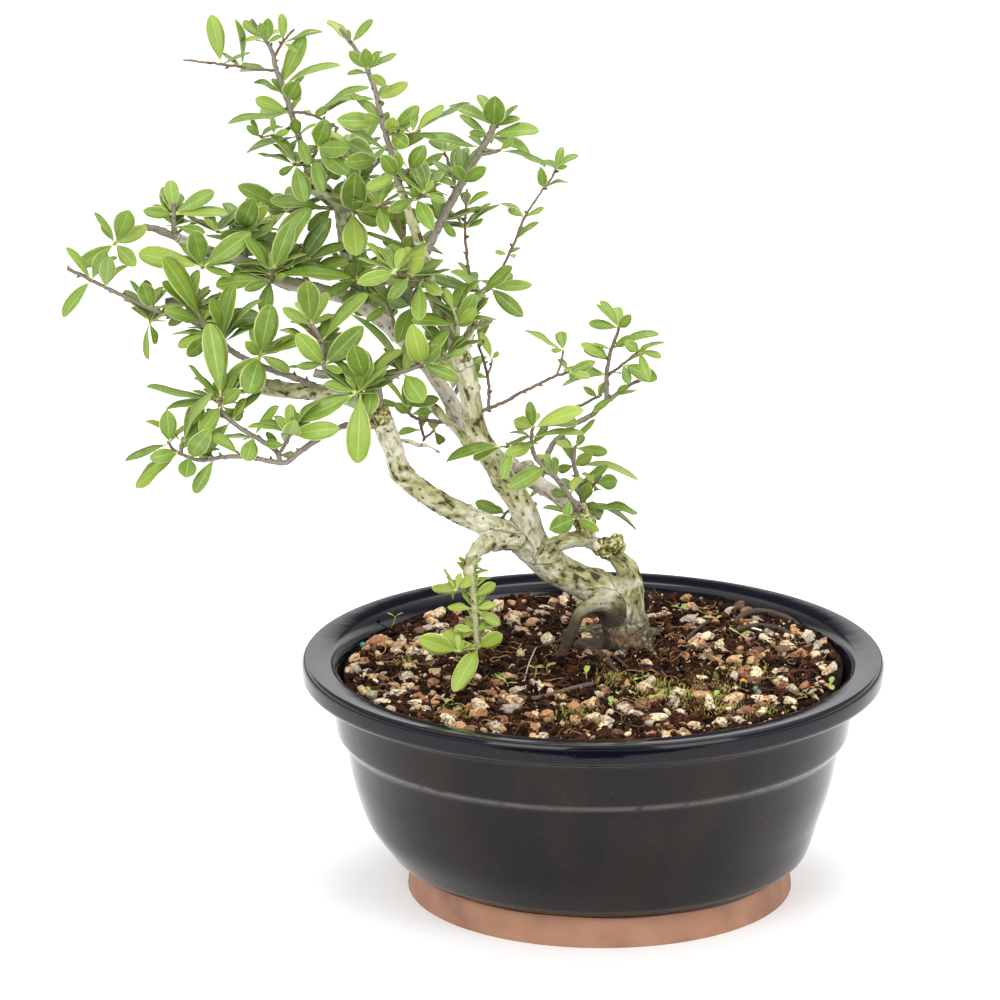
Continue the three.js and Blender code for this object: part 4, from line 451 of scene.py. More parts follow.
        [[-51, 213, 3, 0.9], [-46, 215, -1, 0.8], [-40, 217.5, -4, 0.8], [-33, 221.5, -7, 0.7],
         [-25, 225.5, -10, 0.7], [-18, 229, -12, 0.6], [-12, 231, -14, 0.6]],
        [[-17.5, 229.2, -12, 0.5], [-15.5, 235, -12, 0.5], [-14.5, 240.5, -12, 0.5]],
        [[-46.5, 214.8, -1, 0.7], [-46.5, 226, 6, 0.7], [-48.5, 236, 10, 0.6], [-51, 243, 13, 0.5]],
        [[-47, 229, 7, 0.5], [-45.5, 233, 5, 0.5], [-45, 236.5, 4, 0.4]],
    ], [
        [-14.5, 240.3, -12, [-15.5, 247, 5.2], [-19.5, 240.5, 2.2]],
        [-12.5, 230.8, -13.8, [-1, 235.5, 4.6], [-4, 229, 3.2], [-8.5, 226, 2.6]],
        [-45, 236.5, 4, [-42.5, 239.5, 2.2]], [-50.8, 242.5, 12.8, [-48, 245.5, 2.2]],
    ]),
    Shoot("shoot_right_far", [
        [[-25, 181, 24, 1.6], [-22.5, 190, 28, 1.4], [-20, 197, 30, 1.3], [-15, 203, 31, 1.2],
         [-9, 208, 32, 1.2], [-3, 211.5, 33, 1.2], [3, 217, 34, 1.1], [9, 221.5, 35, 1],
         [15, 226, 36, 0.8], [19, 227.5, 37, 0.7]],
        [[4, 218, 34, 1.1], [4, 226, 33, 1], [4.5, 234, 32, 0.9], [6, 241, 31, 0.8], [8.5, 248, 30, 0.7],
         [9.5, 251, 30, 0.6]],
        [[4.3, 229, 33, 0.7], [10, 233.5, 31, 0.6], [15, 238, 29, 0.5], [19, 241, 28, 0.5]],
        [[-9, 208, 32, 0.8], [-11, 214, 36, 0.8], [-5, 217, 40, 0.7], [2, 221, 44, 0.6]],
    ], [
        [9, 250.3, 30, [2, 262.5, 4.2], [8.5, 257.5, 5.2], [14.5, 256.5, 4.6], [-3.5, 253, 4.4]],
        [6, 241, 31, [25.5, 249.5, 3.6], [14.5, 246.5, 4]],
        [5, 236.5, 31.7, [-6.5, 244, 4.2], [-2, 242.5, 5]],
        [4.2, 230, 32.8, [-14, 233.5, 4.6], [-16, 227, 3.2]],
        [11, 234.5, 30.6, [24, 228.5, 6.8], [13, 227.5, 4.2]],
        [18, 240, 28.3, [20.5, 232, 4.2], [27.5, 238, 3.2], [11.5, 244.5, 5], [22.5, 243.5, 2.4]],
        [8, 220.8, 34.8, [13, 225.5, 3.2], [-1, 214.5, 3.4]], [0, 220, 43, [-6, 224.5, 3], [5, 227, 3.4]],
    ]),
    Shoot("shoot_burr_left", [
        [[-6.5, 167, 9, 1.7], [-11, 174.5, 3, 1.3], [-16, 182, 0, 1.2], [-21.5, 188, -3, 1.1],
         [-26.5, 193.5, -6, 1], [-28, 200, -8, 0.9], [-27.5, 206.5, -9, 0.7]],
        [[-27.5, 197, -7, 0.7], [-33, 199, -12, 0.6], [-37, 197.5, -17, 0.5], [-41, 198, -21, 0.5]],
    ], [
        [-27.6, 206, -9, [-29, 218.5, 4.9], [-6.5, 215.5, 6.8], [-35.5, 209.5, 6.8], [-8, 210, 5]],
        [-28, 202, -8.4, [-6, 206, 3.2]], [-28, 198.5, -7.6, [-36.5, 195.5, 6.4], [-23, 204, 3]],
        [-40.5, 198, -20.6, [-65, 193.5, 5.2], [-54, 193, 4.6]], [-36.5, 197.6, -16.6, [-39, 189, 4.6]],
        [-22, 188.6, -3.3, [-34, 181.5, 7.2], [-17, 192, 4]],
        [-17, 183.3, -0.6, [-24, 192.5, 3.6], [-17.5, 193.5, 3]],
        [-11.5, 175.3, 2.6, [-19, 178, 4.2], [-12.8, 168.5, 3.8]],
    ]),
    Shoot("shoot_burr_right", [
        [[-5, 165, 10, 1.6], [-6, 174, 17, 1.3], [-8, 183, 21, 1.1], [-10, 191, 24, 1],
         [-9.5, 198, 26, 0.8]],
        [[-6, 175, 17.5, 0.8], [-2, 180, 12, 0.7], [2, 185, 8, 0.6]],
    ], [
        [-9.5, 197.3, 26, [3.5, 195.5, 5], [-6, 202, 3.2], [-17.5, 200, 2.8]],
        [-9.5, 189.5, 23.6, [18.5, 186, 3.6], [-2, 194.5, 5.6], [-17.5, 187, 4]],
        [-7, 178.5, 19.2, [-16, 182.5, 4.6], [4, 190, 4.6]],
        [-6, 173, 16.2, [-3, 183, 5.6], [18, 171, 3.4], [19, 163.5, 2.4]],
        [-1, 181.3, 11, [7.5, 182.5, 7], [-8, 181.5, 4], [1, 174, 5]],
        [-5.8, 171, 15, [5.5, 166, 5.8], [0, 171.5, 4]],
    ]),
    Shoot("shoot_burr_front", [
        [[-4.5, 164, 9, 1], [-7, 166, 1.5, 0.9], [-9, 166, -3, 0.7]],
    ], [
        [-8.5, 166, -2.4, [-17.5, 162, 9], [-2, 162, 4]],
    ]),
    Shoot("shoot_hanging", [
        [[-55, 143, -12, 1.9], [-54, 137, -15, 1.7], [-53, 131, -17, 1.5], [-52.5, 124, -20, 1.3],
         [-52, 115, -22, 1.2], [-51, 107, -23, 1]],
        [[-54.5, 139.5, -14, 0.9], [-60, 137, -17, 0.8], [-63, 138.5, -20, 0.7], [-65.5, 143, -22, 0.6]],
        [[-54, 136.5, -15, 0.7], [-58, 134.5, -20, 0.6], [-61, 133, -23, 0.5]],
        [[-51.3, 109, -23, 0.7], [-56, 106, -27, 0.6], [-59.5, 105.5, -30, 0.5]],
    ], [
        [-60.5, 133.2, -22.5, [-70, 134.5, 4.2], [-65.5, 128.5, 4], [-54.5, 138.5, 4.6]],
        [-53, 130.5, -17.3, [-43.5, 136.5, 4.8], [-56, 137.5, 4]],
        [-52.7, 125, -19.7, [-64, 126.5, 3.4], [-43.5, 127, 3.4], [-41, 118, 4.6]],
        [-52, 115, -22, [-61, 116.5, 3.6], [-45.5, 121, 4], [-62.5, 111.5, 3.6]],
        [-51, 107.5, -23, [-40.5, 113.5, 6.6], [-60, 109, 3.4], [-57.5, 95.5, 8]],
        [-59.5, 105.5, -30, [-76, 111.5, 9], [-64, 113.5, 6]],
    ]),
    Shoot("shoot_back_low", [
        [[-62, 218, 31, 1.1], [-59, 226, 42, 1], [-60, 235, 51, 0.8], [-65, 243, 57, 0.6]],
    ], [
        [-59, 228, 44, [-50, 234, 6], [-66, 224, 5]], [-61, 237, 52.5, [-55, 246, 6], [-70, 234, 6]],
        [-65, 243, 57, [-72, 250, 6], [-60, 253, 5]],
    ]),
    Shoot("shoot_back_middle", [
        [[-90, 252, 31, 1.1], [-91, 260, 43, 1], [-96, 268, 53, 0.8], [-102, 275, 60, 0.6]],
    ], [
        [-91.5, 261, 44.5, [-84, 254, 6], [-101, 258, 6]], [-96, 268, 53, [-88, 275, 6], [-105, 264, 6]],
        [-102, 275, 60, [-110, 280, 6], [-98, 285, 6]],
    ]),
    Shoot("shoot_back_left", [
        [[-147, 277.5, 22, 1], [-144, 280, 36, 0.9], [-142, 284, 46, 0.8], [-144, 290, 54, 0.6]],
    ], [
        [-143.5, 281, 39, [-134, 278, 6], [-152, 276, 6]], [-142, 285, 48, [-134, 292, 6], [-151, 284, 5]],
        [-144, 290, 54, [-150, 298, 6], [-138, 299, 5]],
    ]),
    Shoot("shoot_back_top", [
        [[-108, 294, 34.5, 1], [-104, 300, 46, 0.9], [-101, 308, 54, 0.8], [-101, 316, 59, 0.6]],
    ], [
        [-103.5, 301.5, 47.5, [-95, 297, 6], [-112, 298, 6]],
        [-101, 309, 54.5, [-92, 314, 6], [-110, 310, 5]], [-101, 316, 59, [-107, 323, 6], [-95, 323, 5]],
    ]),
]

# Tufts of small leaves only: their x, z and depth
MORE_TUFTS = {
    "shoot_hanging": (
        (-54.5, 142, -13), (-55, 138, -14), (-53.5, 133, -16.5), (-52.8, 128, -18.5), (-52, 120, -21),
        (-51.5, 111, -22.5),
    ),
}

# Shoots whose twigs are pale green with lichen
MOSSY_SHOOTS = ("shoot_hanging", "shoot_mossy_hook")

# Twigs that end in a pruning cut: the shoot, and the number of the twig in it
CUT_TWIGS = {
    ("shoot_leader_right", 1), ("shoot_top_right", 0), ("shoot_front_low", 0), ("shoot_left_tip", 0),
    ("shoot_front_low", 2), ("shoot_centre_up", 0),
}

# Moss on the soil: the middle of each patch, how far it reaches, and how many tufts it has
MOSS = (
    (44, -46, 20, 420), (24, -38, 15, 260), (62, -10, 14, 140), (-12, -66, 12, 120), (-86, 8, 6, 40),
    (8, -24, 12, 120), (78, 30, 9, 60), (-60, -60, 10, 60), (70, -60, 10, 90),
)

# Sticks, thin roots and splinters on the soil: each point's x and z in the front view and how far it is
# lifted, then the radius and how pale it is
LITTER = (
    (((-34.7, 83.5, 0), (-27, 82.6, 0.3), (-19.9, 84.2, 0.3), (-9, 87.2, 0.6), (-0.7, 89.6, 0)), 1.0, 0.05),
    (((39.2, 109.7, 0), (43, 113.2, 0.8), (47, 116, 1.0), (51.2, 119.7, 0)), 0.8, 0.0),
    (((-26, 106.2, 0), (-19, 107.4, 0.8), (-13, 110, 1.2), (-9, 113.5, 0.4)), 0.55, 0.0),
    (((6.7, 102.6, 0.5), (10.5, 99.6, 0.8), (14.5, 96.2, 0)), 0.5, 0.0),
    (((46, 104.5, 0), (55, 103.5, 0.5), (66, 104, 0)), 0.45, 0.1),
    (((63.8, 114.3, 0.6), (68, 114.1, 0.9), (72.6, 113.2, 0.4)), 0.55, 1.0),
    (((75, 112.2, 0.3), (80, 111.6, 0.5)), 0.4, 0.9),
    (((-31, 91.2, 0), (-29, 97, 2.2), (-25.9, 105.1, 1.5)), 0.28, 0.6),
    (((48.3, 106.2, 0.2), (52, 106.8, 0.5), (56.3, 106, 0.1)), 1.1, 0.0),
)

# Seedlings: the x and z of each foot in the front view, its height and how many leaves it has
SPROUTS = (
    (-27, 93, 5, 3), (-21.5, 96, 2.5, 2), (-42, 91.6, 1.5, 3), (-38.5, 89.8, 1.5, 2), (-4.4, 91.5, 4, 2),
    (7.4, 79, 2.5, 2), (62.4, 108, 6, 2), (37, 121.5, 4, 3), (91, 84, 1.5, 2), (102, 89, 1.2, 2),
    (51, 83, 2, 3), (-97, 86, 1.5, 2), (-88.9, 116.5, 5, 2), (51.9, 118, 2.5, 2), (27, 84, 2, 2),
    (-62, 82, 1.5, 2), (20, 92, 2, 2),
)

# Lengths of the old wood whose bark is pinkish grey, counted with the trunk as 0
PINK_LIMBS = (7, 8, 16)

# Rough knobs: x, z and depth, how far each reaches, and how high it stands
BURRS = (
    (7, 154, 12, 8.5, 1.7), (-5, 165, 9, 7, 1.5), (2, 152, 13, 6, 1.0), (-93.5, 212, -22, 7, 1.2),
    (-122, 316, 29, 6, 0.6), (-51, 262, 3, 5, 0.9), (-58, 237, -2, 5, 0.8), (14, 134, 22, 6, 0.7),
)

# The sawn patch low on the trunk's front: from where to where along x, y and z
SAWN = ((5.0, 17.0), (-5.0, 24.0), (104.0, 110.0))

# Feed beads: the x and z of each in the front view, and its colour: 0 teal, 1 orange
BEADS = (
    (46.6, 119.4, 0), (69.3, 87.6, 0), (-7.2, 88.5, 0), (-101, 107.8, 0), (91.3, 112.7, 0), (63.8, 91.2, 1),
    (77.9, 117.6, 1), (64.2, 116.7, 1),
)


def linear(code: str) -> tuple[float, float, float, float]:
    """Turn an sRGB hex colour into linear light.

    Args:
        code: The colour as "#rrggbb".

    Returns:
        Linear red, green and blue, and an alpha of one.
    """
    levels = [int(code[i : i + 2], 16) / 255 for i in (1, 3, 5)]
    light = [level / 12.92 if level <= 0.04045 else ((level + 0.055) / 1.055) ** 2.4 for level in levels]
    return (*light, 1.0)


def smoothstep(value: Numbers, low: float, high: float) -> np.ndarray:
    """Return 0 below `low`, 1 above `high`, and a smooth rise between."""
    share = np.clip((np.asarray(value, dtype=float) - low) / (high - low), 0, 1)
    return share * share * (3 - 2 * share)


def offset_at(z: Numbers) -> np.ndarray:
    """Return how far the pot's middle lies to the side at a height."""
    return BODY_OFFSET * smoothstep(z, OFFSET_FROM, OFFSET_TO)


def place(x: float, z: float, depth: float) -> Vector:
    """Return where a point given in the front view stands: on its line of sight, at the given depth."""
    sight = Vector((x + VIEW_LINE, 0, z)) - VIEWER
    return VIEWER + sight * ((depth - VIEWER.y) / -VIEWER.y)


def soil_height(x: Numbers, y: Numbers) -> np.ndarray:
    """Tell how high the soil lies: a low mound round the trunk, broken by grit.

    Args:
        x: How far to the right a place is, or many places are.
        y: How far behind the pot's axis.

    Returns:
        The height at each.
    """
    x = np.asarray(x, dtype=float) - BODY_OFFSET
    y = np.asarray(y, dtype=float)
    away = np.hypot(x - MOUND_CENTRE[0], y - MOUND_CENTRE[1]) / MOUTH_RADIUS
    grit = np.sin(x / 5.3 + 1.7 * np.sin(y / 7.1)) * np.sin(y / 4.7 + 1.3 * np.sin(x / 8.3))
    return SOIL_AT_WALL + SOIL_MOUND * np.maximum(0, 1 - away * away) + SOIL_GRIT * grit


def add_node(
    tree: bpy.types.NodeTree, kind: str, settings: dict | None = None, inputs: dict | None = None,
    stops: Sequence = (),
) -> bpy.types.Node:
    """Add a shader node with its settings, its inputs and the stops of its colour ramp.

    Args:
        tree: The node tree that gets it.
        kind: The node's type.
        settings: Properties of the node by name.
        inputs: Values or output sockets by the input's name or number.
        stops: Place and hex colour of each stop, for a colour ramp.

    Returns:
        The node.
    """
    node = tree.nodes.new(kind)
    for name, value in (settings or {}).items():
        setattr(node, name, value)
    for key, value in (inputs or {}).items():
        if isinstance(value, bpy.types.NodeSocket):
            tree.links.new(value, node.inputs[key])
        else:
            node.inputs[key].default_value = value
    if stops:
        ramp = node.color_ramp.elements
        while len(ramp) < len(stops):
            ramp.new(0.5)
        for element, (position, code) in zip(ramp, stops):
            element.position = position
            element.color = linear(code)
    return node


SMOOTH = {"interpolation_type": "SMOOTHSTEP"}


class Node(Enum):
    """A kind of node in the finishes: its type, settings, inputs in the order they are given, and output."""

    NOISE = ("ShaderNodeTexNoise", {}, ("Scale", "Detail", "Distortion", "Vector"), "Fac")
    CELLS = ("ShaderNodeTexVoronoi", {"feature": "F1"}, ("Scale", "Vector"), "Distance")
    STRETCH = ("ShaderNodeVectorMath", {"operation": "MULTIPLY"}, (0, 1), 0)
    HEIGHT = ("ShaderNodeSeparateXYZ", {}, ("Vector",), "Z")
    RISE = ("ShaderNodeMapRange", SMOOTH, ("Value", "From Min", "From Max"), "Result")
    SPREAD = ("ShaderNodeMapRange", {}, ("Value", "To Min", "To Max"), "Result")
    RAMP = ("ShaderNodeValToRGB", {}, ("Fac",), "Color")
    MIX = ("ShaderNodeMix", {"data_type": "RGBA"}, (0, 6, 7), 2)
    BUMP = ("ShaderNodeBump", {}, ("Height", "Distance", "Strength"), "Normal")
    GRAIN = ("ShaderNodeAttribute", {"attribute_name": "grain"}, (), "Vector")
    ADD = ("ShaderNodeMath", {"operation": "ADD"}, (0, 1), 0)
    SUBTRACT = ("ShaderNodeMath", {"operation": "SUBTRACT"}, (0, 1), 0)
    MULTIPLY = ("ShaderNodeMath", {"operation": "MULTIPLY"}, (0, 1), 0)
    ABSOLUTE = ("ShaderNodeMath", {"operation": "ABSOLUTE"}, (0,), 0)
    SINE = ("ShaderNodeMath", {"operation": "SINE"}, (0,), 0)


@dataclass
class Level:
    """What a node gives to the next ones, kept so that sums on it can be written as sums."""

    sheet: Sheet
    socket: bpy.types.NodeSocket

    def joined(self, kind: Node, *others: Level | float) -> Level:
        """Return what a node of a kind makes of this level and others."""
        return self.sheet.add(kind, self, *others)

    __add__ = partialmethod(joined, Node.ADD)
    __sub__ = partialmethod(joined, Node.SUBTRACT)
    __mul__ = partialmethod(joined, Node.MULTIPLY)
    __abs__ = partialmethod(joined, Node.ABSOLUTE)


class Sheet:
    """A finish as it is drawn up: a principled shader and the nodes that lead to it."""

    def __init__(self, name: str, roughness: float, ior: float, settings: dict | None = None) -> None:
        """Start a principled material.

        Args:
            name: The material's name.
            roughness: Its typical roughness.
            ior: Its index of refraction.
            settings: Other uniform values of the shader, by socket.
        """
        self.material = bpy.data.materials.new(name)
        self.material.use_nodes = True
        self.tree = self.material.node_tree
        self.tree.nodes.clear()
        values = {"Roughness": roughness, "IOR": ior, **(settings or {})}
        self.shader = add_node(self.tree, "ShaderNodeBsdfPrincipled", inputs=values)
        add_node(self.tree, "ShaderNodeOutputMaterial", inputs={"Surface": self.shader.outputs["BSDF"]})
        self.place = Level(self, add_node(self.tree, "ShaderNodeTexCoord").outputs["Object"])

    def add(self, kind: Node, *values: object, stops: Sequence = ()) -> Level:
        """Add a node.

        A pattern lies on the object. Its scale is given as the size of a feature in millimetres, and so is
        the height of a relief.

        Args:
            kind: Its kind.
            values: Its inputs in the kind's order: levels, numbers or hex colours.
            stops: Place and hex colour of each stop, for a colour ramp.

        Returns:
            What it gives.
        """
        name, settings, keys, output = kind.value
        inputs = {"Vector": self.place.socket} if "Vector" in keys else {}
        for key, value in zip(keys, values):
            if isinstance(value, Level):
                value = value.socket
            elif isinstance(value, str):
                value = linear(value)
            elif key == "Scale":
                value = 1 / (value * MM)
            elif key == "Distance":
                value = value * MM
            inputs[key] = value
        return Level(self, add_node(self.tree, name, settings, inputs, stops).outputs[output])

    def marks(self, name: str) -> tuple[Level, ...]:
        """Return the three levels that the mesh keeps in each corner.

        Args:
            name: The name it keeps them under.

        Returns:
            The levels.
        """
        vector = add_node(self.tree, "ShaderNodeAttribute", {"attribute_name": name}).outputs["Vector"]
        parts = add_node(self.tree, "ShaderNodeSeparateXYZ", {}, {0: vector}).outputs
        return tuple(Level(self, part) for part in parts)

    def finish(
        self, colour: Level, bump: Level | None = None, rough: Level | None = None
    ) -> bpy.types.Material:
        """Give the shader its colour, its relief and its roughness.

        Args:
            colour: Its colour.
            bump: Its relief, if it has one.
            rough: Its roughness, where that varies.

        Returns:
            The material.
        """
        for name, level in (("Base Color", colour), ("Normal", bump), ("Roughness", rough)):
            if level:
                self.tree.links.new(level.socket, self.shader.inputs[name])
        return self.material


@dataclass(frozen=True)
class BlackGlaze:
    """Iron-black stoneware glaze, poured and fired glossy: deep aubergine, thin and brown over each edge,
    with a painted highlight there.
    """

    deep: str = "#07060b"
    olive: str = "#13100f"
    blue: str = "#090a14"
    # The grey-brown of thin glaze: laid in a line over each edge, where it is partly a painted highlight,
    # and in the specks
    thin: str = "#57524b"
    # The heights of the two edges, how far up the blue begins, and how wide and how sharp the line over each
    # edge is: thin glaze with a painted highlight
    ledge: float = 71.4
    lip: float = 92.6
    run: float = 4.0
    line_width: float = 2.2
    line_core: float = 0.3

    def material(self) -> bpy.types.Material:
        """Make the material.

        Returns:
            The material.
        """
        settings = {"Specular IOR Level": 0.27, "Specular Tint": linear("#f8eee8")}
        sheet = Sheet("black_glaze", roughness=0.12, ior=1.52, settings=settings)
        height = sheet.add(Node.HEIGHT)
        broad = sheet.add(Node.NOISE, 26, 3, 0, sheet.add(Node.STRETCH, sheet.place, (1, 1, 0.45)))
        shade = sheet.add(Node.MIX, sheet.add(Node.RISE, broad, 0.42, 0.62), self.deep, self.olive)
        above = sheet.add(Node.RISE, height, self.lip * MM, (self.lip + self.run) * MM)
        shade = sheet.add(Node.MIX, above, shade, self.blue)
        # Over each edge a broken grey-brown line: the glaze running thin, and partly a painted highlight
        for edge in (self.ledge, self.lip):
            line = sheet.add(Node.RISE, abs(height - edge * MM), self.line_width * MM, self.line_core * MM)
            broken = sheet.add(Node.RISE, sheet.add(Node.NOISE, 9, 2), 0.25, 0.5)
            shade = sheet.add(Node.MIX, line * broken * 0.6, shade, self.thin)
        specks = sheet.add(Node.RISE, sheet.add(Node.NOISE, 0.9, 1), 0.70, 0.78)
        colour = sheet.add(Node.MIX, specks * 0.35, shade, self.thin)
        rough = sheet.add(Node.SPREAD, sheet.add(Node.NOISE, 14, 5), 0.05, 0.14)
        return sheet.finish(colour, sheet.add(Node.BUMP, sheet.add(Node.NOISE, 11, 2), 0.12, 0.5), rough)


@dataclass(frozen=True)
class BareClay:
    """Unglazed red stoneware, turned on the wheel: matt, with fine throwing lines and pale scuffs."""

    clay: str = "#997058"
    pale: str = "#a47b64"
    dark: str = "#896450"
    # Between these heights the clay darkens where the glaze begins
    stain: tuple[float, float] = (12.4, 14.6)

    def material(self) -> bpy.types.Material:
        """Make the material.

        Returns:
            The material.
        """
        sheet = Sheet("bare_clay", roughness=0.85, ior=1.5)
        cloud = sheet.add(Node.NOISE, 17, 5, 0)
        shade = sheet.add(Node.RAMP, cloud, stops=((0.3, self.dark), (0.5, self.clay), (0.72, self.pale)))
        least, most = self.stain
        stain = sheet.add(Node.RISE, sheet.add(Node.HEIGHT) + cloud * (2 * MM), least * MM, most * MM)
        lines = sheet.add(Node.NOISE, 1.6, 3, 0, sheet.add(Node.STRETCH, sheet.place, (0.04, 0.04, 1)))
        relief = lines + sheet.add(Node.NOISE, 0.6, 3) * 0.6
        colour = sheet.add(Node.MIX, stain, shade, self.dark)
        return sheet.finish(colour, sheet.add(Node.BUMP, relief, 0.25, 0.6))


@dataclass(frozen=True)
class Bark:
    """Smooth firethorn bark, weathered outdoors: pale grey with green algae, olive cracks and dark pores."""

    pale: str = "#d4d0b9"
    grey: str = "#b0ad98"
    green: str = "#9c9b62"
    moss: str = "#77733b"
    crack: str = "#403822"
    lichen: str = "#aeab62"
    pink: str = "#b0a59b"
    # Dark brown: a painted shade on the bark near the soil, and part of the roots' own colour
    base: str = "#4b3e30"
    root: str = "#3b3025"
    sawn: str = "#8a6a52"
    # Sizes in millimetres: clouds of algae, flakes of moss, fine grain, lumps of crust, the pores' spacing
    cloud: float = 12.0
    flake: float = 2.3
    fine: float = 1.7
    crust: float = 1.6
    pore: float = 4.6

    def material(self) -> bpy.types.Material:
        """Make the material.

        Its marks are how green, how pink and how near the soil the wood is, then how rough it is, how
        freshly sawn and how much of a root. The grain is the place, drawn together along the wood.

        Returns:
            The material.
        """
        sheet = Sheet("firethorn_bark", roughness=0.8, ior=1.45)
        green, pink, low = sheet.marks("mark")
        rough, sawn, root = sheet.marks("tint")
        grain = sheet.add(Node.GRAIN)
        cloud = sheet.add(Node.NOISE, self.cloud, 4, 0.5)
        fine = sheet.add(Node.NOISE, self.fine, 6, 0, grain)
        algae = sheet.add(Node.RISE, cloud + green * 0.35, 0.5, 0.78)
        skin = sheet.add(Node.MIX, sheet.add(Node.RISE, fine, 0.38, 0.66), self.pale, self.grey)
        skin = sheet.add(Node.MIX, algae * 0.8, skin, self.green)
        skin = sheet.add(Node.MIX, pink * 0.6, skin, self.pink)
        worn = sheet.add(Node.NOISE, self.flake, 6, 0.5, grain) + (cloud - 0.5) * 0.55 + green * 0.1
        flakes = sheet.add(Node.RISE, worn, 0.605, 0.65)
        skin = sheet.add(Node.MIX, flakes * 0.55, skin, self.moss)
        core = sheet.add(Node.RISE, worn + fine * 0.1, 0.77, 0.81)
        skin = sheet.add(Node.MIX, core, skin, self.crack)
        stops = ((0.36, self.crack), (0.47, self.moss), (0.56, self.lichen), (0.68, self.pale))
        crust = sheet.add(Node.RAMP, sheet.add(Node.NOISE, self.crust, 3), stops=stops)
        skin = sheet.add(Node.MIX, sheet.add(Node.RISE, rough + fine, 0.7, 1.0), skin, crust)
        pores = sheet.add(Node.RISE, sheet.add(Node.CELLS, self.pore), 0.15, 0.09)
        skin = sheet.add(Node.MIX, pores * 0.85, skin, self.crack)
        # Near the soil the bark darkens to dark brown in broken patches: painted shade
        skin = sheet.add(Node.MIX, low * sheet.add(Node.RISE, fine, 0.15, 0.55), skin, self.base)
        skin = sheet.add(Node.MIX, root, skin, sheet.add(Node.MIX, fine, self.root, self.base))
        skin = sheet.add(Node.MIX, sawn * sheet.add(Node.RISE, fine, 0.7, 0.3), skin, self.sawn)
        relief = fine * 1.1 - flakes * 0.6 - pores * 0.5 - core * 0.7
        spread = sheet.add(Node.SPREAD, fine, 0.68, 0.95)
        return sheet.finish(skin, sheet.add(Node.BUMP, relief, 0.8, 1.0), spread)


@dataclass(frozen=True)
class TwigBark:
    """Young firethorn bark: brown-grey where a few years old, red-brown and smoother towards the tips."""

    old: str = "#7f776a"
    young: str = "#624938"
    green: str = "#a3a476"
    dark: str = "#35281f"

    def material(self) -> bpy.types.Material:
        """Make the material. Its marks are how young, how green and how dark the wood is.

        Returns:
            The material.
        """
        sheet = Sheet("twig_bark", roughness=0.7, ior=1.45)
        young, green, dark = sheet.marks("mark")
        fine = sheet.add(Node.NOISE, 1.5, 4)
        shade = sheet.add(Node.MIX, young, self.old, self.young)
        shade = sheet.add(Node.MIX, green, shade, self.green)
        shade = sheet.add(Node.MIX, sheet.add(Node.RISE, fine, 0.5, 0.7) * 0.55, shade, self.dark)
        colour = sheet.add(Node.MIX, dark, shade, self.dark)
        return sheet.finish(colour, sheet.add(Node.BUMP, fine, 0.2, 0.7))


@dataclass(frozen=True)
class CutWood:
    """A fresh pruning cut, clipped: orange-brown heartwood with a paler rim."""

    heart: str = "#b5733d"
    rim: str = "#d8b27c"

    def material(self) -> bpy.types.Material:
        """Make the material.

        Returns:
            The material.
        """
        sheet = Sheet("cut_wood", roughness=0.75, ior=1.45)
        rings = sheet.add(Node.NOISE, 0.8, 4)
        colour = sheet.add(Node.MIX, sheet.add(Node.RISE, rings, 0.4, 0.65), self.heart, self.rim)
        return sheet.finish(colour, sheet.add(Node.BUMP, rings, 0.15, 0.5))


@dataclass(frozen=True)
class LeafBlade:
    """A firethorn leaf, fresh and waxy: mid green above with a pale rib and margin, greyer green below."""

    deep: str = "#4b651b"
    mid: str = "#6a882f"
    light: str = "#93a740"
    rib: str = "#bccb7d"
    margin: str = "#e2e796"
    under: str = "#8aa565"
    rust: str = "#94702f"
    vein_spacing: float = 1.9

    def material(self) -> bpy.types.Material:
        """Make the material. The mesh marks each corner's place on the leaf and each leaf's own tint.

        Returns:
            The material.
        """
        sheet = Sheet("firethorn_leaf", roughness=0.38, ior=1.45)
        across, along, below = sheet.marks("mark")
        hue, length, age = sheet.marks("tint")
        shade = sheet.add(Node.RAMP, hue, stops=((0.0, self.deep), (0.5, self.mid), (1.0, self.light)))
        cloud = sheet.add(Node.NOISE, 3.5, 3)
        shade = sheet.add(Node.MIX, sheet.add(Node.RISE, cloud, 0.4, 0.75) * 0.35, shade, self.light)
        side = abs(across)
        run = along * length - side * 2.2
        waves = sheet.add(Node.SINE, run * (math.pi / self.vein_spacing))
        vein = sheet.add(Node.RISE, abs(waves), 0.22, 0.0)
        shade = sheet.add(Node.MIX, vein * 0.12, shade, self.rib)
        shade = sheet.add(Node.MIX, below * 0.7, shade, self.under)
        shade = sheet.add(Node.MIX, sheet.add(Node.RISE, side, 0.065, 0.015) * 0.5, shade, self.rib)
        shade = sheet.add(Node.MIX, sheet.add(Node.RISE, side, 0.82, 0.94) * 0.85, shade, self.margin)
        shade = sheet.add(Node.MIX, sheet.add(Node.RISE, along, 0.16, 0.08) * 0.6, shade, self.margin)
        burn = sheet.add(Node.RISE, sheet.add(Node.NOISE, 1.7, 2), 0.66, 0.7) * age
        relief = sheet.add(Node.BUMP, cloud * 0.5 - vein * 0.6, 0.12, 0.6)
        spread = sheet.add(Node.SPREAD, cloud, 0.3, 0.5)
        return sheet.finish(sheet.add(Node.MIX, burn, shade, self.rust), relief, spread)


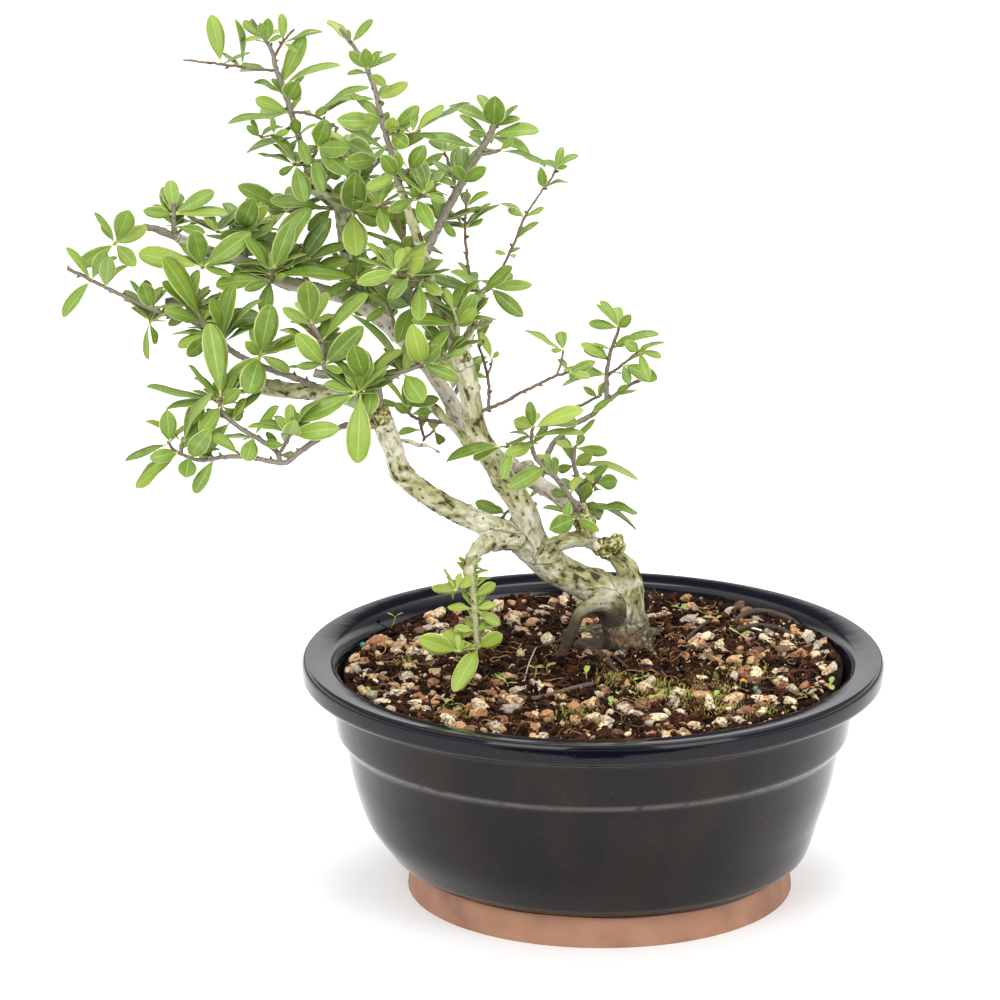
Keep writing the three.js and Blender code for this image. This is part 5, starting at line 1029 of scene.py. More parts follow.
@dataclass(frozen=True)
class Peat:
    """Old potting peat, watered and crumbled: dark brown, nearly black in patches, with rusty crumbs."""

    dark: str = "#080402"
    brown: str = "#2c190c"
    rust: str = "#5e3620"
    moss: str = "#756f2f"

    def material(self) -> bpy.types.Material:
        """Make the material. Its marks are how light, how rusty and how mossy a crumb is.

        Returns:
            The material.
        """
        sheet = Sheet("peat", roughness=0.88, ior=1.4, settings={"Specular IOR Level": 0.15})
        light, rusty, mossy = sheet.marks("mark")
        fine = sheet.add(Node.NOISE, 1.1, 4)
        level = sheet.add(Node.RISE, fine, 0.35, 0.75) * 0.6 + light
        shade = sheet.add(Node.RAMP, level, stops=((0.15, self.dark), (0.75, self.brown)))
        shade = sheet.add(Node.MIX, rusty * sheet.add(Node.RISE, fine, 0.35, 0.6), shade, self.rust)
        colour = sheet.add(Node.MIX, mossy, shade, self.moss)
        return sheet.finish(colour, sheet.add(Node.BUMP, fine, 0.5, 0.9))


@dataclass(frozen=True)
class Stone:
    """Broken pumice and granite grit: tan, cream and grey, dusty, with a rough broken face."""

    tan: str = "#c49a6d"
    cream: str = "#ead6af"
    grey: str = "#a8998b"
    rust: str = "#a8714b"
    brown: str = "#5c4736"
    dirt: str = "#3a2415"

    def material(self) -> bpy.types.Material:
        """Make the material. The first mark chooses the stone, the second how dirty it is.

        Returns:
            The material.
        """
        sheet = Sheet("stone_grit", roughness=0.85, ior=1.5)
        kind, dirty, _ = sheet.marks("mark")
        colours = (self.brown, self.rust, self.tan, self.cream, self.grey)
        shade = sheet.add(Node.RAMP, kind, stops=tuple(zip((0.0, 0.16, 0.36, 0.68, 0.92), colours)))
        fine = sheet.add(Node.NOISE, 1.3, 5)
        stain = sheet.add(Node.RISE, fine, 0.42, 0.62) * (dirty + 0.25)
        colour = sheet.add(Node.MIX, stain, shade, self.dirt)
        return sheet.finish(colour, sheet.add(Node.BUMP, fine, 0.5, 0.8))


@dataclass(frozen=True)
class Bead:
    """A coated feed bead, moulded of resin and dyed: semi-gloss, even but for a dusting of soil."""

    name: str
    shade: str
    dust: str = "#5a4330"

    def material(self) -> bpy.types.Material:
        """Make the material.

        Returns:
            The material.
        """
        sheet = Sheet(self.name, roughness=0.3, ior=1.49)
        fine = sheet.add(Node.NOISE, 1.2, 3)
        dusty = sheet.add(Node.RISE, fine, 0.55, 0.7) * 0.5
        return sheet.finish(sheet.add(Node.MIX, dusty, self.shade, self.dust))


@dataclass(frozen=True)
class Green:
    """Living moss and seedlings: fresh yellow-green, soft, browner at the foot."""

    light: str = "#a09c48"
    dark: str = "#4c461b"

    def material(self) -> bpy.types.Material:
        """Make the material. The first mark runs from foot to tip, the second is the tuft's own hue.

        Returns:
            The material.
        """
        sheet = Sheet("moss", roughness=0.6, ior=1.4)
        tip, hue, _ = sheet.marks("mark")
        shade = sheet.add(Node.MIX, sheet.add(Node.RISE, tip + (hue - 0.5), 0, 1), self.dark, self.light)
        return sheet.finish(shade, sheet.add(Node.BUMP, sheet.add(Node.NOISE, 0.7, 2), 0.1, 0.5))


@dataclass(frozen=True)
class Fibre:
    """Fine dead roots and bark fibres: reddish brown, dry."""

    red: str = "#56301c"
    pale: str = "#a08458"

    def material(self) -> bpy.types.Material:
        """Make the material. The first mark chooses between red and pale.

        Returns:
            The material.
        """
        sheet = Sheet("root_fibre", roughness=0.8, ior=1.4)
        kind, _, _ = sheet.marks("mark")
        fine = sheet.add(Node.NOISE, 1.4, 3)
        colour = sheet.add(Node.MIX, kind * sheet.add(Node.RISE, fine, 0.2, 0.6), self.red, self.pale)
        return sheet.finish(colour, sheet.add(Node.BUMP, fine, 0.1, 0.5))


@dataclass(frozen=True)
class Litter:
    """Dead wood on the soil: weathered brown, or bare and pale where a splinter broke off."""

    brown: str = "#54402f"
    dark: str = "#2d1f15"
    pale: str = "#ddd6c6"

    def material(self) -> bpy.types.Material:
        """Make the material. The first mark says how pale the wood is.

        Returns:
            The material.
        """
        sheet = Sheet("dead_wood", roughness=0.8, ior=1.45)
        pale, _, _ = sheet.marks("mark")
        fine = sheet.add(Node.NOISE, 1.2, 4)
        shade = sheet.add(Node.MIX, sheet.add(Node.RISE, fine, 0.4, 0.65), self.brown, self.dark)
        colour = sheet.add(Node.MIX, pale, shade, self.pale)
        return sheet.finish(colour, sheet.add(Node.BUMP, fine, 0.2, 0.7))


@dataclass(frozen=True)
class BlackFlock:
    """Black flocked card that soaks up light: all that it shows in the glaze is the dark."""

    black: str = "#050505"
    worn: str = "#080808"

    def material(self) -> bpy.types.Material:
        """Make the material.

        Returns:
            The material.
        """
        sheet = Sheet("black_flock", roughness=1.0, ior=1.0, settings={"Specular IOR Level": 0.0})
        return sheet.finish(sheet.add(Node.MIX, sheet.add(Node.NOISE, 3, 1), self.black, self.worn))


@dataclass(frozen=True)
class ScreenMesh:
    """Moulded polyethylene drain mesh: black, satin, a little dusty with clay."""

    black: str = "#1d1e1d"
    dust: str = "#6b5a4b"

    def material(self) -> bpy.types.Material:
        """Make the material.

        Returns:
            The material.
        """
        sheet = Sheet("drain_mesh", roughness=0.5, ior=1.51)
        dusty = sheet.add(Node.RISE, sheet.add(Node.NOISE, 2.5, 4), 0.55, 0.75) * 0.6
        relief = sheet.add(Node.BUMP, sheet.add(Node.NOISE, 0.8, 2), 0.1, 0.5)
        return sheet.finish(sheet.add(Node.MIX, dusty, self.black, self.dust), relief)


@dataclass(frozen=True)
class StudioPaper:
    """White studio paper, rolled out: matt, faintly toned so that it isn't dead flat."""

    white: str = "#f4f4f4"
    shade: str = "#f0f0f0"
    glow: float = 0.08

    def material(self) -> bpy.types.Material:
        """Make the material.

        Returns:
            The material.
        """
        settings = {
            "Specular IOR Level": 0.1,
            "Emission Color": linear(self.white),
            "Emission Strength": self.glow,
        }
        sheet = Sheet("studio_paper", roughness=0.9, ior=1.4, settings=settings)
        return sheet.finish(sheet.add(Node.MIX, sheet.add(Node.NOISE, 400, 1), self.white, self.shade))


class MeshMaker:
    """Gathers the corners and faces of one piece, and what each corner tells its material."""

    def __init__(self) -> None:
        """Start empty."""
        self.corners: list[np.ndarray] = []
        self.faces: list[tuple[int, ...]] = []
        self.slots: list[int] = []
        self.marks: list[np.ndarray] = []
        self.tints: list[np.ndarray] = []
        self.count = 0

    def add(
        self, corners: np.ndarray, faces: Iterable, slot: int | Sequence[int] = 0,
        mark: Sequence = (0, 0, 0), tint: Sequence = (0, 0, 0),
    ) -> None:
        """Add a part of the mesh.

        Args:
            corners: Its corners in millimetres.
            faces: Its faces, counted from its own first corner.
            slot: The material slot of its faces, or one for each face.
            mark: Three levels, or three for each corner.
            tint: Three more levels, or three for each corner.
        """
        faces = [tuple(int(i) + self.count for i in face) for face in faces]
        self.corners.append(np.asarray(corners, dtype=float))
        self.faces.extend(faces)
        self.slots.extend([slot] * len(faces) if isinstance(slot, int) else slot)
        self.marks.append(np.broadcast_to(np.asarray(mark, dtype=float), (len(corners), 3)))
        self.tints.append(np.broadcast_to(np.asarray(tint, dtype=float), (len(corners), 3)))
        self.count += len(corners)

    def piece(self, name: str, materials: Sequence[bpy.types.Material]) -> bpy.types.Object:
        """Make the object.

        Args:
            name: Its name.
            materials: Its materials, in the order of the slots.

        Returns:
            The object, linked to the scene.
        """
        mesh = bpy.data.meshes.new(name)
        mesh.from_pydata((np.concatenate(self.corners) * MM).tolist(), [], self.faces)
        for material in materials:
            mesh.materials.append(material)
        mesh.polygons.foreach_set("material_index", self.slots)
        mesh.polygons.foreach_set("use_smooth", [True] * len(self.faces))
        set_levels(mesh, "mark", np.concatenate(self.marks))
        set_levels(mesh, "tint", np.concatenate(self.tints))
        return linked(name, mesh)


def set_levels(mesh: bpy.types.Mesh, name: str, levels: np.ndarray) -> None:
    """Keep three levels in each corner of a mesh under a name."""
    mesh.attributes.new(name, "FLOAT_VECTOR", "POINT").data.foreach_set("vector", levels.ravel())


def linked(name: str, mesh: bpy.types.Mesh) -> bpy.types.Object:
    """Return an object of a mesh, linked to the scene.

    Args:
        name: The object's name.
        mesh: Its mesh.

    Returns:
        The object.
    """
    piece = bpy.data.objects.new(name, mesh)
    bpy.context.scene.collection.objects.link(piece)
    return piece


def corners_of(mesh: bpy.types.Mesh) -> np.ndarray:
    """Read a mesh's corners.

    Args:
        mesh: The mesh.

    Returns:
        Its corners in millimetres.
    """
    flat = np.empty(len(mesh.vertices) * 3)
    mesh.vertices.foreach_get("co", flat)
    return flat.reshape(-1, 3) / MM


def move_corners(mesh: bpy.types.Mesh, corners: np.ndarray) -> None:
    """Put a mesh's corners where they are given in millimetres."""
    mesh.vertices.foreach_set("co", (corners * MM).ravel())
    mesh.update()


def settled(piece: bpy.types.Object) -> bpy.types.Object:
    """Turn a piece's modifiers into its mesh.

    Args:
        piece: The piece.

    Returns:
        The piece.
    """
    graph = bpy.context.evaluated_depsgraph_get()
    mesh = bpy.data.meshes.new_from_object(piece.evaluated_get(graph))
    piece.modifiers.clear()
    piece.data = mesh
    return piece


def wavy(points: np.ndarray, size: float, seed: float = 0.0) -> np.ndarray:
    """Return a smooth noise from -1 to 1 at each point, with features of a size in millimetres."""
    shifted = points / size + seed
    return np.array([noise.noise(Vector(point)) for point in shifted])


def smoothed(points: np.ndarray, radii: np.ndarray, step: float) -> tuple[np.ndarray, np.ndarray]:
    """Draw a smooth line through points, with a radius all along.

    Args:
        points: The points.
        radii: The radius at each.
        step: About how far apart the new points are.

    Returns:
        The new points and their radii.
    """
    last = len(points) - 1
    line = []
    sizes = []
    for i in range(last):
        before, start = points[max(i - 1, 0)], points[i]
        end, after = points[i + 1], points[min(i + 2, last)]
        count = max(1, round(float(np.linalg.norm(end - start)) / step))
        for share in np.arange(count) / count:
            square, cube = share**2, share**3
            bend = (2 * before - 5 * start + 4 * end - after) * square
            twist = (3 * start - before - 3 * end + after) * cube
            line.append(0.5 * (2 * start + (end - before) * share + bend + twist))
            sizes.append(radii[i] + (radii[i + 1] - radii[i]) * share)
    return np.array([*line, points[last]]), np.array([*sizes, radii[last]])


def tube(points: np.ndarray, radii: np.ndarray, sides: int, blunt: float = 0.5) -> tuple[np.ndarray, list]:
    """Make a closed tube along points.

    Args:
        points: The points of its middle line.
        radii: Its radius at each.
        sides: How many sides it has.
        blunt: How far each end stands out, as a share of its radius.

    Returns:
        Its corners and its faces. The last `sides` faces are those of its far end.
    """
    ways = np.gradient(points, axis=0)
    ways /= np.linalg.norm(ways, axis=1)[:, None] + 1e-9
    across = np.array([1.0, 0, 0]) if abs(ways[0][0]) < 0.8 else np.array([0, 0, 1.0])
    angles = np.arange(sides) * 2 * math.pi / sides
    rings = []
    for point, way, radius in zip(points, ways, radii):
        across = across - way * across.dot(way)
        across /= np.linalg.norm(across)
        up = np.cross(across, way)
        rings.append(point + radius * (np.outer(np.cos(angles), across) + np.outer(np.sin(angles), up)))
    tips = [points[0] - ways[0] * radii[0] * blunt, points[-1] + ways[-1] * radii[-1] * blunt]
    corners = np.concatenate([*rings, np.array(tips)])
    count = len(points)
    faces = [(near, near + sides, far + sides, far) for near, far in pairs(count, sides)]
    first_tip, last_tip = count * sides, count * sides + 1
    last_ring = (count - 1) * sides
    faces += [(first_tip, side, (side + 1) % sides) for side in range(sides)]
    faces += [(last_tip, last_ring + (side + 1) % sides, last_ring + side) for side in range(sides)]
    return corners, faces


def pairs(rings: int, sides: int) -> Iterator[tuple[int, int]]:
    """Yield each corner of each ring but the last, with the next one round the ring.

    Args:
        rings: How many rings there are.
        sides: How many corners each has.

    Yields:
        The numbers of both corners.
    """
    for ring in range(rings - 1):
        for side in range(sides):
            yield ring * sides + side, ring * sides + (side + 1) % sides


def pebble(rounds: int) -> tuple[np.ndarray, np.ndarray]:
    """Return a ball of triangles with a radius of one.

    Args:
        rounds: How often its triangles are divided.

    Returns:
        Its corners and its faces.
    """
    ball = bpy.data.meshes.new("ball")
    builder = bmesh.new()
    bmesh.ops.create_icosphere(builder, subdivisions=rounds, radius=1.0)
    builder.to_mesh(ball)
    builder.free()
    corners = np.array([tuple(vertex.co) for vertex in ball.vertices])
    faces = np.array([tuple(face.vertices) for face in ball.polygons])
    bpy.data.meshes.remove(ball)
    return corners, faces


def turned(draws: np.random.Generator, flat: float = 1.0) -> np.ndarray:
    """Return a random turn in space, less tipped over the flatter it is."""
    tips = [Matrix.Rotation(float(draws.normal(0, 0.9 * flat)), 3, axis) for axis in "XY"]
    return np.array(Matrix.Rotation(float(draws.uniform(0, 2 * math.pi)), 3, "Z") @ (tips[0] @ tips[1]))


def dressed(piece: bpy.types.Object, slot: str, *nodes: str) -> bpy.types.Object:
    """Let a piece ride on the part and stand for the nodes it replaces.

    Args:
        piece: The piece.
        slot: Not used.
        nodes: The nodes it replaces.

    Returns:
        The piece.
    """
    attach(piece, BODY)
    if nodes:
        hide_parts(*nodes)
    return piece


@dataclass
class Pot:
    """The round pot, thrown in one piece: a bare foot, a swelling body with two ledges, and a flat rim."""

    sides: int = 160
    bend: int = 4
    glaze_edge: float = 13.3
    inner_glaze_edge: float = 80.0
    edge_wander: float = 0.45
    drain_radius: float = 8.0
    drain_circle: float = 42.0
    drain_count: int = 3
    floor: float = 10.0
    # The share of the profile's corners that lie on the outside and the rim
    outer_share: float = 0.75
    # Radius, height and how widely each corner is rounded, from the foot up and down the inside
    profile: Sequence[tuple[float, float, float]] = (
        (0, 0, 0), (83.8, 0, 0.5), (82.5, 13.0, 0.2), (83.7, 13.3, 0.5), (84.6, 14.8, 0.8), (90, 17, 3),
        (93, 22, 3.4), (97, 29.4, 4), (100.5, 38, 4), (104.6, 51, 6), (107.8, 68.9, 1.8),
        (111.5, 72.5, 1.8), (112.5, 82, 3), (113.2, 89.9, 1.2), (115.0, 91.6, 0.9), (115.8, 93.3, 0.7),
        (119, 93.8, 1), (124.3, 94.7, 1.2), (126.1, 96.6, 1.1), (126.1, 102.7, 1.1),
        (124.7, 104.6, 0.9), (113.3, 103.3, 1.4), (110.8, 100.6, 1.6), (108.5, 95.7, 3), (103.4, 72, 8),
        (97, 50, 8), (88, 28, 6), (80, 13.5, 2), (76, 10, 2), (0, 10, 0),
    )

    def outline(self) -> np.ndarray:
        """Round the profile's corners.

        Returns:
            The radius and height of each point.
        """
        points = np.array(self.profile)[:, :2]
        line = [points[0]]
        for i in range(1, len(points) - 1):
            before, corner, after = points[i - 1 : i + 2]
            start, end = (
                corner + (other - corner) * min(0.48, self.profile[i][2] / np.linalg.norm(other - corner))
                for other in (before, after)
            )
            for share in np.linspace(0, 1, self.bend):
                line.append((1 - share) ** 2 * start + 2 * share * (1 - share) * corner + share**2 * end)
        line.append(points[-1])
        return np.array(line)

    def build(self) -> bpy.types.Object:
        """Make the pot, drill its drain holes, and dress it in glaze and bare clay.

        Returns:
            The piece.
        """
        outline = self.outline()
        middle = outline[1:-1]
        angles = np.arange(self.sides) * 2 * math.pi / self.sides
        corners = []
        for number, (radius, z) in enumerate(middle):
            inside = number > len(middle) * self.outer_share
            wander = self.edge_wander * math.exp(-(((z - self.glaze_edge) / 1.2) ** 2)) * (not inside)
            heights = z + wander * (np.sin(angles * 3 + 1) + 0.5 * np.sin(angles * 11 + 2)) / 1.5
            ring = np.column_stack([radius * np.cos(angles), radius * np.sin(angles), heights])
            ring[:, 0] += offset_at(z)
            corners.append(ring)
        corners = np.concatenate([*corners, [[0, 0, 0], [0, 0, self.floor]]])
        corners[-2:, 0] += offset_at(corners[-2:, 2])
        loop = pairs(len(middle), self.sides)
        faces = [(near, far, far + self.sides, near + self.sides) for near, far in loop]
        slots = []
        for ring in range(len(middle) - 1):
            z = (middle[ring][1] + middle[ring + 1][1]) / 2
            outside = ring < len(middle) * self.outer_share
            bare = z < (self.glaze_edge if outside else self.inner_glaze_edge)
            slots += [int(bare)] * self.sides
        under, over = len(corners) - 2, len(corners) - 1
        last = (len(middle) - 1) * self.sides
        for side in range(self.sides):
            after = (side + 1) % self.sides
            faces += [(under, after, side), (over, last + side, last + after)]
            slots += [1, 1]
        maker = MeshMaker()
        maker.add(corners, faces, slots)
        piece = maker.piece("glazed_pot", [BlackGlaze().material(), BareClay().material()])
        self.drill(piece)
        return dressed(piece, "glaze", "pot")

    def drill(self, piece: bpy.types.Object) -> None:
        """Cut the drain holes through the floor of the pot.

        Args:
            piece: The pot, which gets the holes.
        """
        drills = MeshMaker()
        for number in range(self.drain_count):
            angle = 2 * math.pi * number / self.drain_count + math.pi / 2
            spot = self.drain_circle * np.array([math.cos(angle), math.sin(angle), 0])
            line = np.array([spot + [0, 0, -10], spot + [0, 0, self.floor + 10]])
            drills.add(*tube(line, np.full(2, self.drain_radius), 40, 0.0), slot=0)
        cutter = drills.piece("drills", [piece.data.materials[1]])
        cut = piece.modifiers.new("drain_holes", "BOOLEAN")
        cut.operation = "DIFFERENCE"
        cut.object = cutter
        cut.solver = "EXACT"
        settled(piece)
        bpy.data.objects.remove(cutter)


@dataclass
class Wood:
    """Old wood in one body: round lengths blended where they meet, then given the relief of bark."""

    name: str
    node: str
    slot: str
    routes: Sequence[Route]
    voxel: float = 0.7
    sides: int = 20
    step: float = 2.0
    rounds: int = 6
    # How high the swellings, the fine relief and the flakes of the bark stand
    swell: float = 0.45
    relief: float = 0.3
    flake: float = 0.5
    # How far the bark's pattern is drawn together along the wood
    drawn: float = 0.5
    burrs: Sequence[tuple] = ()
    # The sawn face: from where to where along each axis
    sawn: Sequence[tuple[float, float]] = ((0.0, 0.0), (0.0, 0.0), (0.0, 0.0))
    # The heights between which a root turns into bark, and those between which the painted shade near the
    # soil fades
    root_ends: tuple[float, float] = (117.0, 127.0)
    soil_shade: tuple[float, float] = (105.0, 131.0)
    lines: list = field(default_factory=list)

    def body(self) -> bpy.types.Object:
        """Blend the lengths into one closed mesh.

        Returns:
            The piece, smooth as yet.
        """
        maker = MeshMaker()
        for route in self.routes:
            points = np.array([place(x, z, depth) for x, z, depth, _ in route])
            line, radii = smoothed(points, np.array([point[3] for point in route]), self.step)
            self.lines.append((line, radii))
            maker.add(*tube(line, radii, self.sides, 0.3))
        for number, burr in enumerate(self.burrs):
            self.add_lumps(maker, burr, np.random.default_rng(SEED + number))
        piece = maker.piece(self.name, [])
        blend = piece.modifiers.new("blend", "REMESH")
        blend.mode = "VOXEL"
        blend.voxel_size = self.voxel * MM
        ease = piece.modifiers.new("ease", "SMOOTH")
        ease.factor = 0.5
        ease.iterations = self.rounds
        return settled(piece)

    def add_lumps(self, maker: MeshMaker, burr: Sequence[float], draws: np.random.Generator) -> None:
        """Crust the wood round a burr with lumps.

        Args:
            maker: The mesh of the wood.
            burr: Its x, z and depth, how far it reaches, and how high it stands.
            draws: Where its chance comes from.
        """
        x, z, depth, reach, height = burr
        ball, faces = pebble(2)
        line = np.concatenate([line for line, _ in self.lines])
        radii = np.concatenate([radii for _, radii in self.lines])
        near = np.flatnonzero(np.linalg.norm(line - np.array(place(x, z, depth)), axis=1) < reach)
        for _ in range(int(16 * height) if len(near) else 0):
            spot = draws.choice(near)
            out = draws.normal(0, 1, 3)
            out /= np.linalg.norm(out)
            size = draws.uniform(0.9, 1.0 + 0.6 * height)
            maker.add(ball * size + line[spot] + out * radii[spot] * 0.95, faces)

    def near_burr(self, corners: np.ndarray, burr: Sequence[float], share: float = 1.0) -> np.ndarray:
        """Tell how near corners are to a burr.

        Args:
            corners: The corners in millimetres.
            burr: The burr.
            share: Beyond which share of its reach they are off it.

        Returns:
            1 on the burr, 0 off it, and a smooth fall between.
        """
        x, z, depth, reach, _ = burr
        away = np.linalg.norm(corners - np.array(place(x, z, depth)), axis=1)
        return 1 - smoothstep(away, reach * 0.5, reach * share)

    def nearest(self, corners: np.ndarray) -> tuple[np.ndarray, np.ndarray]:
        """Find for each corner the nearest point on a middle line.

        Args:
            corners: The corners in millimetres.

        Returns:
            The number of the length, and the place on it, drawn together along it.
        """
        tree = kdtree.KDTree(sum(len(line) for line, _ in self.lines))
        facts = []
        for number, (line, _) in enumerate(self.lines):
            ways = np.gradient(line, axis=0)
            ways /= np.linalg.norm(ways, axis=1)[:, None] + 1e-9
            across = np.array([0.37, -0.93, 0.0])
            for i, (point, way) in enumerate(zip(line, ways)):
                across = across - way * across.dot(way)
                across /= np.linalg.norm(across)
                tree.insert(Vector(point), len(facts))
                facts.append((number, i * self.step, *point, *across, *np.cross(across, way), *way))
        tree.balance()
        facts = np.array(facts)[[tree.find(Vector(corner))[1] for corner in corners]]
        out = corners - facts[:, 2:5]
        ahead = facts[:, 1] + np.sum(out * facts[:, 11:14], axis=1)
        sides = [np.sum(out * facts[:, i : i + 3], axis=1) + facts[:, 0] * 9 for i in (5, 8)]
        return facts[:, 0].astype(int), np.column_stack([*sides, ahead * self.drawn])

    def build(
        self, material: bpy.types.Material, pink: Sequence[int] = (), roots: Sequence[int] = ()
    ) -> bpy.types.Object:
        """Make the wood and dress it.

        Args:
            material: Its bark.
            pink: The lengths whose bark is pinkish grey.
            roots: The lengths that are dark roots.

        Returns:
            The piece.
        """
        piece = self.body()
        mesh = piece.data
        corners = corners_of(mesh)
        normals = np.empty(len(mesh.vertices) * 3)
        mesh.vertices.foreach_get("normal", normals)
        normals = normals.reshape(-1, 3)
        number, drawn = self.nearest(corners)
        push = self.swell * wavy(corners, 9.0) + self.relief * wavy(drawn, 2.6, 7.0)
        push -= 1.2 * self.relief * np.maximum(0, wavy(drawn, 4.5, 31.0) - 0.22)
        flakes = smoothstep(wavy(drawn, 2.3, 51.0) + 0.6 * wavy(corners, 13.0, 61.0), 0.34, 0.56)
        push += self.flake * flakes
        lumps = wavy(corners, 3.2, 11.0) + 0.5 * wavy(corners, 1.7, 19.0) + 0.35
        for burr in self.burrs:
            push += burr[-1] * self.near_burr(corners, burr) * lumps
        move_corners(mesh, corners + normals * push[:, None])
        green = np.clip(0.4 + 0.6 * wavy(corners, 22.0, 3.0) + 0.3 * normals[:, 2], 0, 1) + 1.5 * flakes
        is_pink = np.isin(number, pink).astype(float)
        heights = corners[:, 2] + 3 * wavy(corners, 7.0, 5.0)
        is_root = np.isin(number, roots) * (1 - 0.9 * smoothstep(heights, *self.root_ends))
        # How near the soil a corner is, for the painted shade that darkens the bark there
        low = 1 - smoothstep(heights, *self.soil_shade)
        rough = np.zeros(len(corners))
        for burr in self.burrs:
            rough = np.maximum(rough, self.near_burr(corners, burr, 1.1))
        sawn = np.ones(len(corners))
        for axis, (least, most) in enumerate(self.sawn):
            along = corners[:, axis]
            sawn *= smoothstep(along, least - 0.6, least) * (1 - smoothstep(along, most, most + 0.6))
        set_levels(mesh, "mark", np.column_stack([green * (1 - is_pink), is_pink, low]))
        set_levels(mesh, "tint", np.column_stack([rough, sawn, is_root]))
        set_levels(mesh, "grain", drawn * MM)
        mesh.materials.clear()
        mesh.materials.append(material)
        mesh.polygons.foreach_set("use_smooth", [True] * len(mesh.polygons))
        return dressed(piece, self.slot, self.node)


@dataclass
class Leaf:
    """A leaf: where it starts, the way it runs, which way its face looks, its length and its half width."""

    base: Vector
    direction: Vector
    normal: Vector
    length: float
    half: float

    @property
    def side(self) -> Vector:
        """The way across the leaf."""
        return self.direction.cross(self.normal)

    def point(self, along: float, across: float, lift: float = 0.0) -> Vector:
        """Return a point of the folded, drooping blade.

        Args:
            along: How far along it lies, as a share of the length.
            across: How far across, as a share of the half width.
            lift: How far over the blade.

        Returns:
            The point.
        """
        rise = abs(across) * self.half * LEAF_FOLD - along * along * self.length * LEAF_DROOP + lift
        flat = self.direction * (along * self.length) + self.side * (across * self.half)
        return self.base + flat + self.normal * rise


def leaf_stand(base: Vector, tip: Vector, width: float, stand: LeafStand, sway: float) -> Leaf:
    """Stand a leaf so that the front view shows it from its start to its tip with its width.

    Args:
        base: Where it starts.
        tip: Where its tip shows.
        width: The width it shows.
        stand: How it tilts and turns.
        sway: A little more tilt.

    Returns:
        The leaf.
    """
    along = tip - base
    seen = along.length
    along /= seen
    wide = max(width, seen / LEAF_SLENDERNESS)
    lean = min(math.acos(min(1, seen / (wide * LEAF_SLENDERNESS))), STEEPEST_TILT)
    tilt = max(-STEEPEST_TILT, min(STEEPEST_TILT, stand.to * (lean + stand.more) + sway))
    to_viewer = VIEWER - base
    to_viewer = (to_viewer - along * to_viewer.dot(along)).normalized()
    direction = along * math.cos(tilt) + to_viewer * math.sin(tilt)
    flat = to_viewer * math.cos(tilt) - along * math.sin(tilt)
    edge = direction.cross(flat)
    turn = math.acos(width / wide) * stand.turn * (-1 if edge.z < 0 else 1)
    normal = flat * math.cos(turn) + edge * math.sin(turn)
    return Leaf(base, direction, normal, seen / math.cos(tilt), wide / 2)


def rising_leaf(base: Vector, turn: float, rise: float, length: float, slenderness: float) -> Leaf:
    """Stand a leaf by its own angles, face up.

    Args:
        base: Where it starts.
        turn: Which way it points, seen from above.
        rise: How far it rises from the level.
        length: Its length.
        slenderness: Its length over its half width.

    Returns:
        The leaf.
    """
    level = Vector((math.cos(turn), math.sin(turn), 0))
    direction = level * math.cos(rise) + Vector((0, 0, math.sin(rise)))
    normal = level * -math.sin(rise) + Vector((0, 0, math.cos(rise)))
    return Leaf(base, direction, normal, length, length / slenderness)


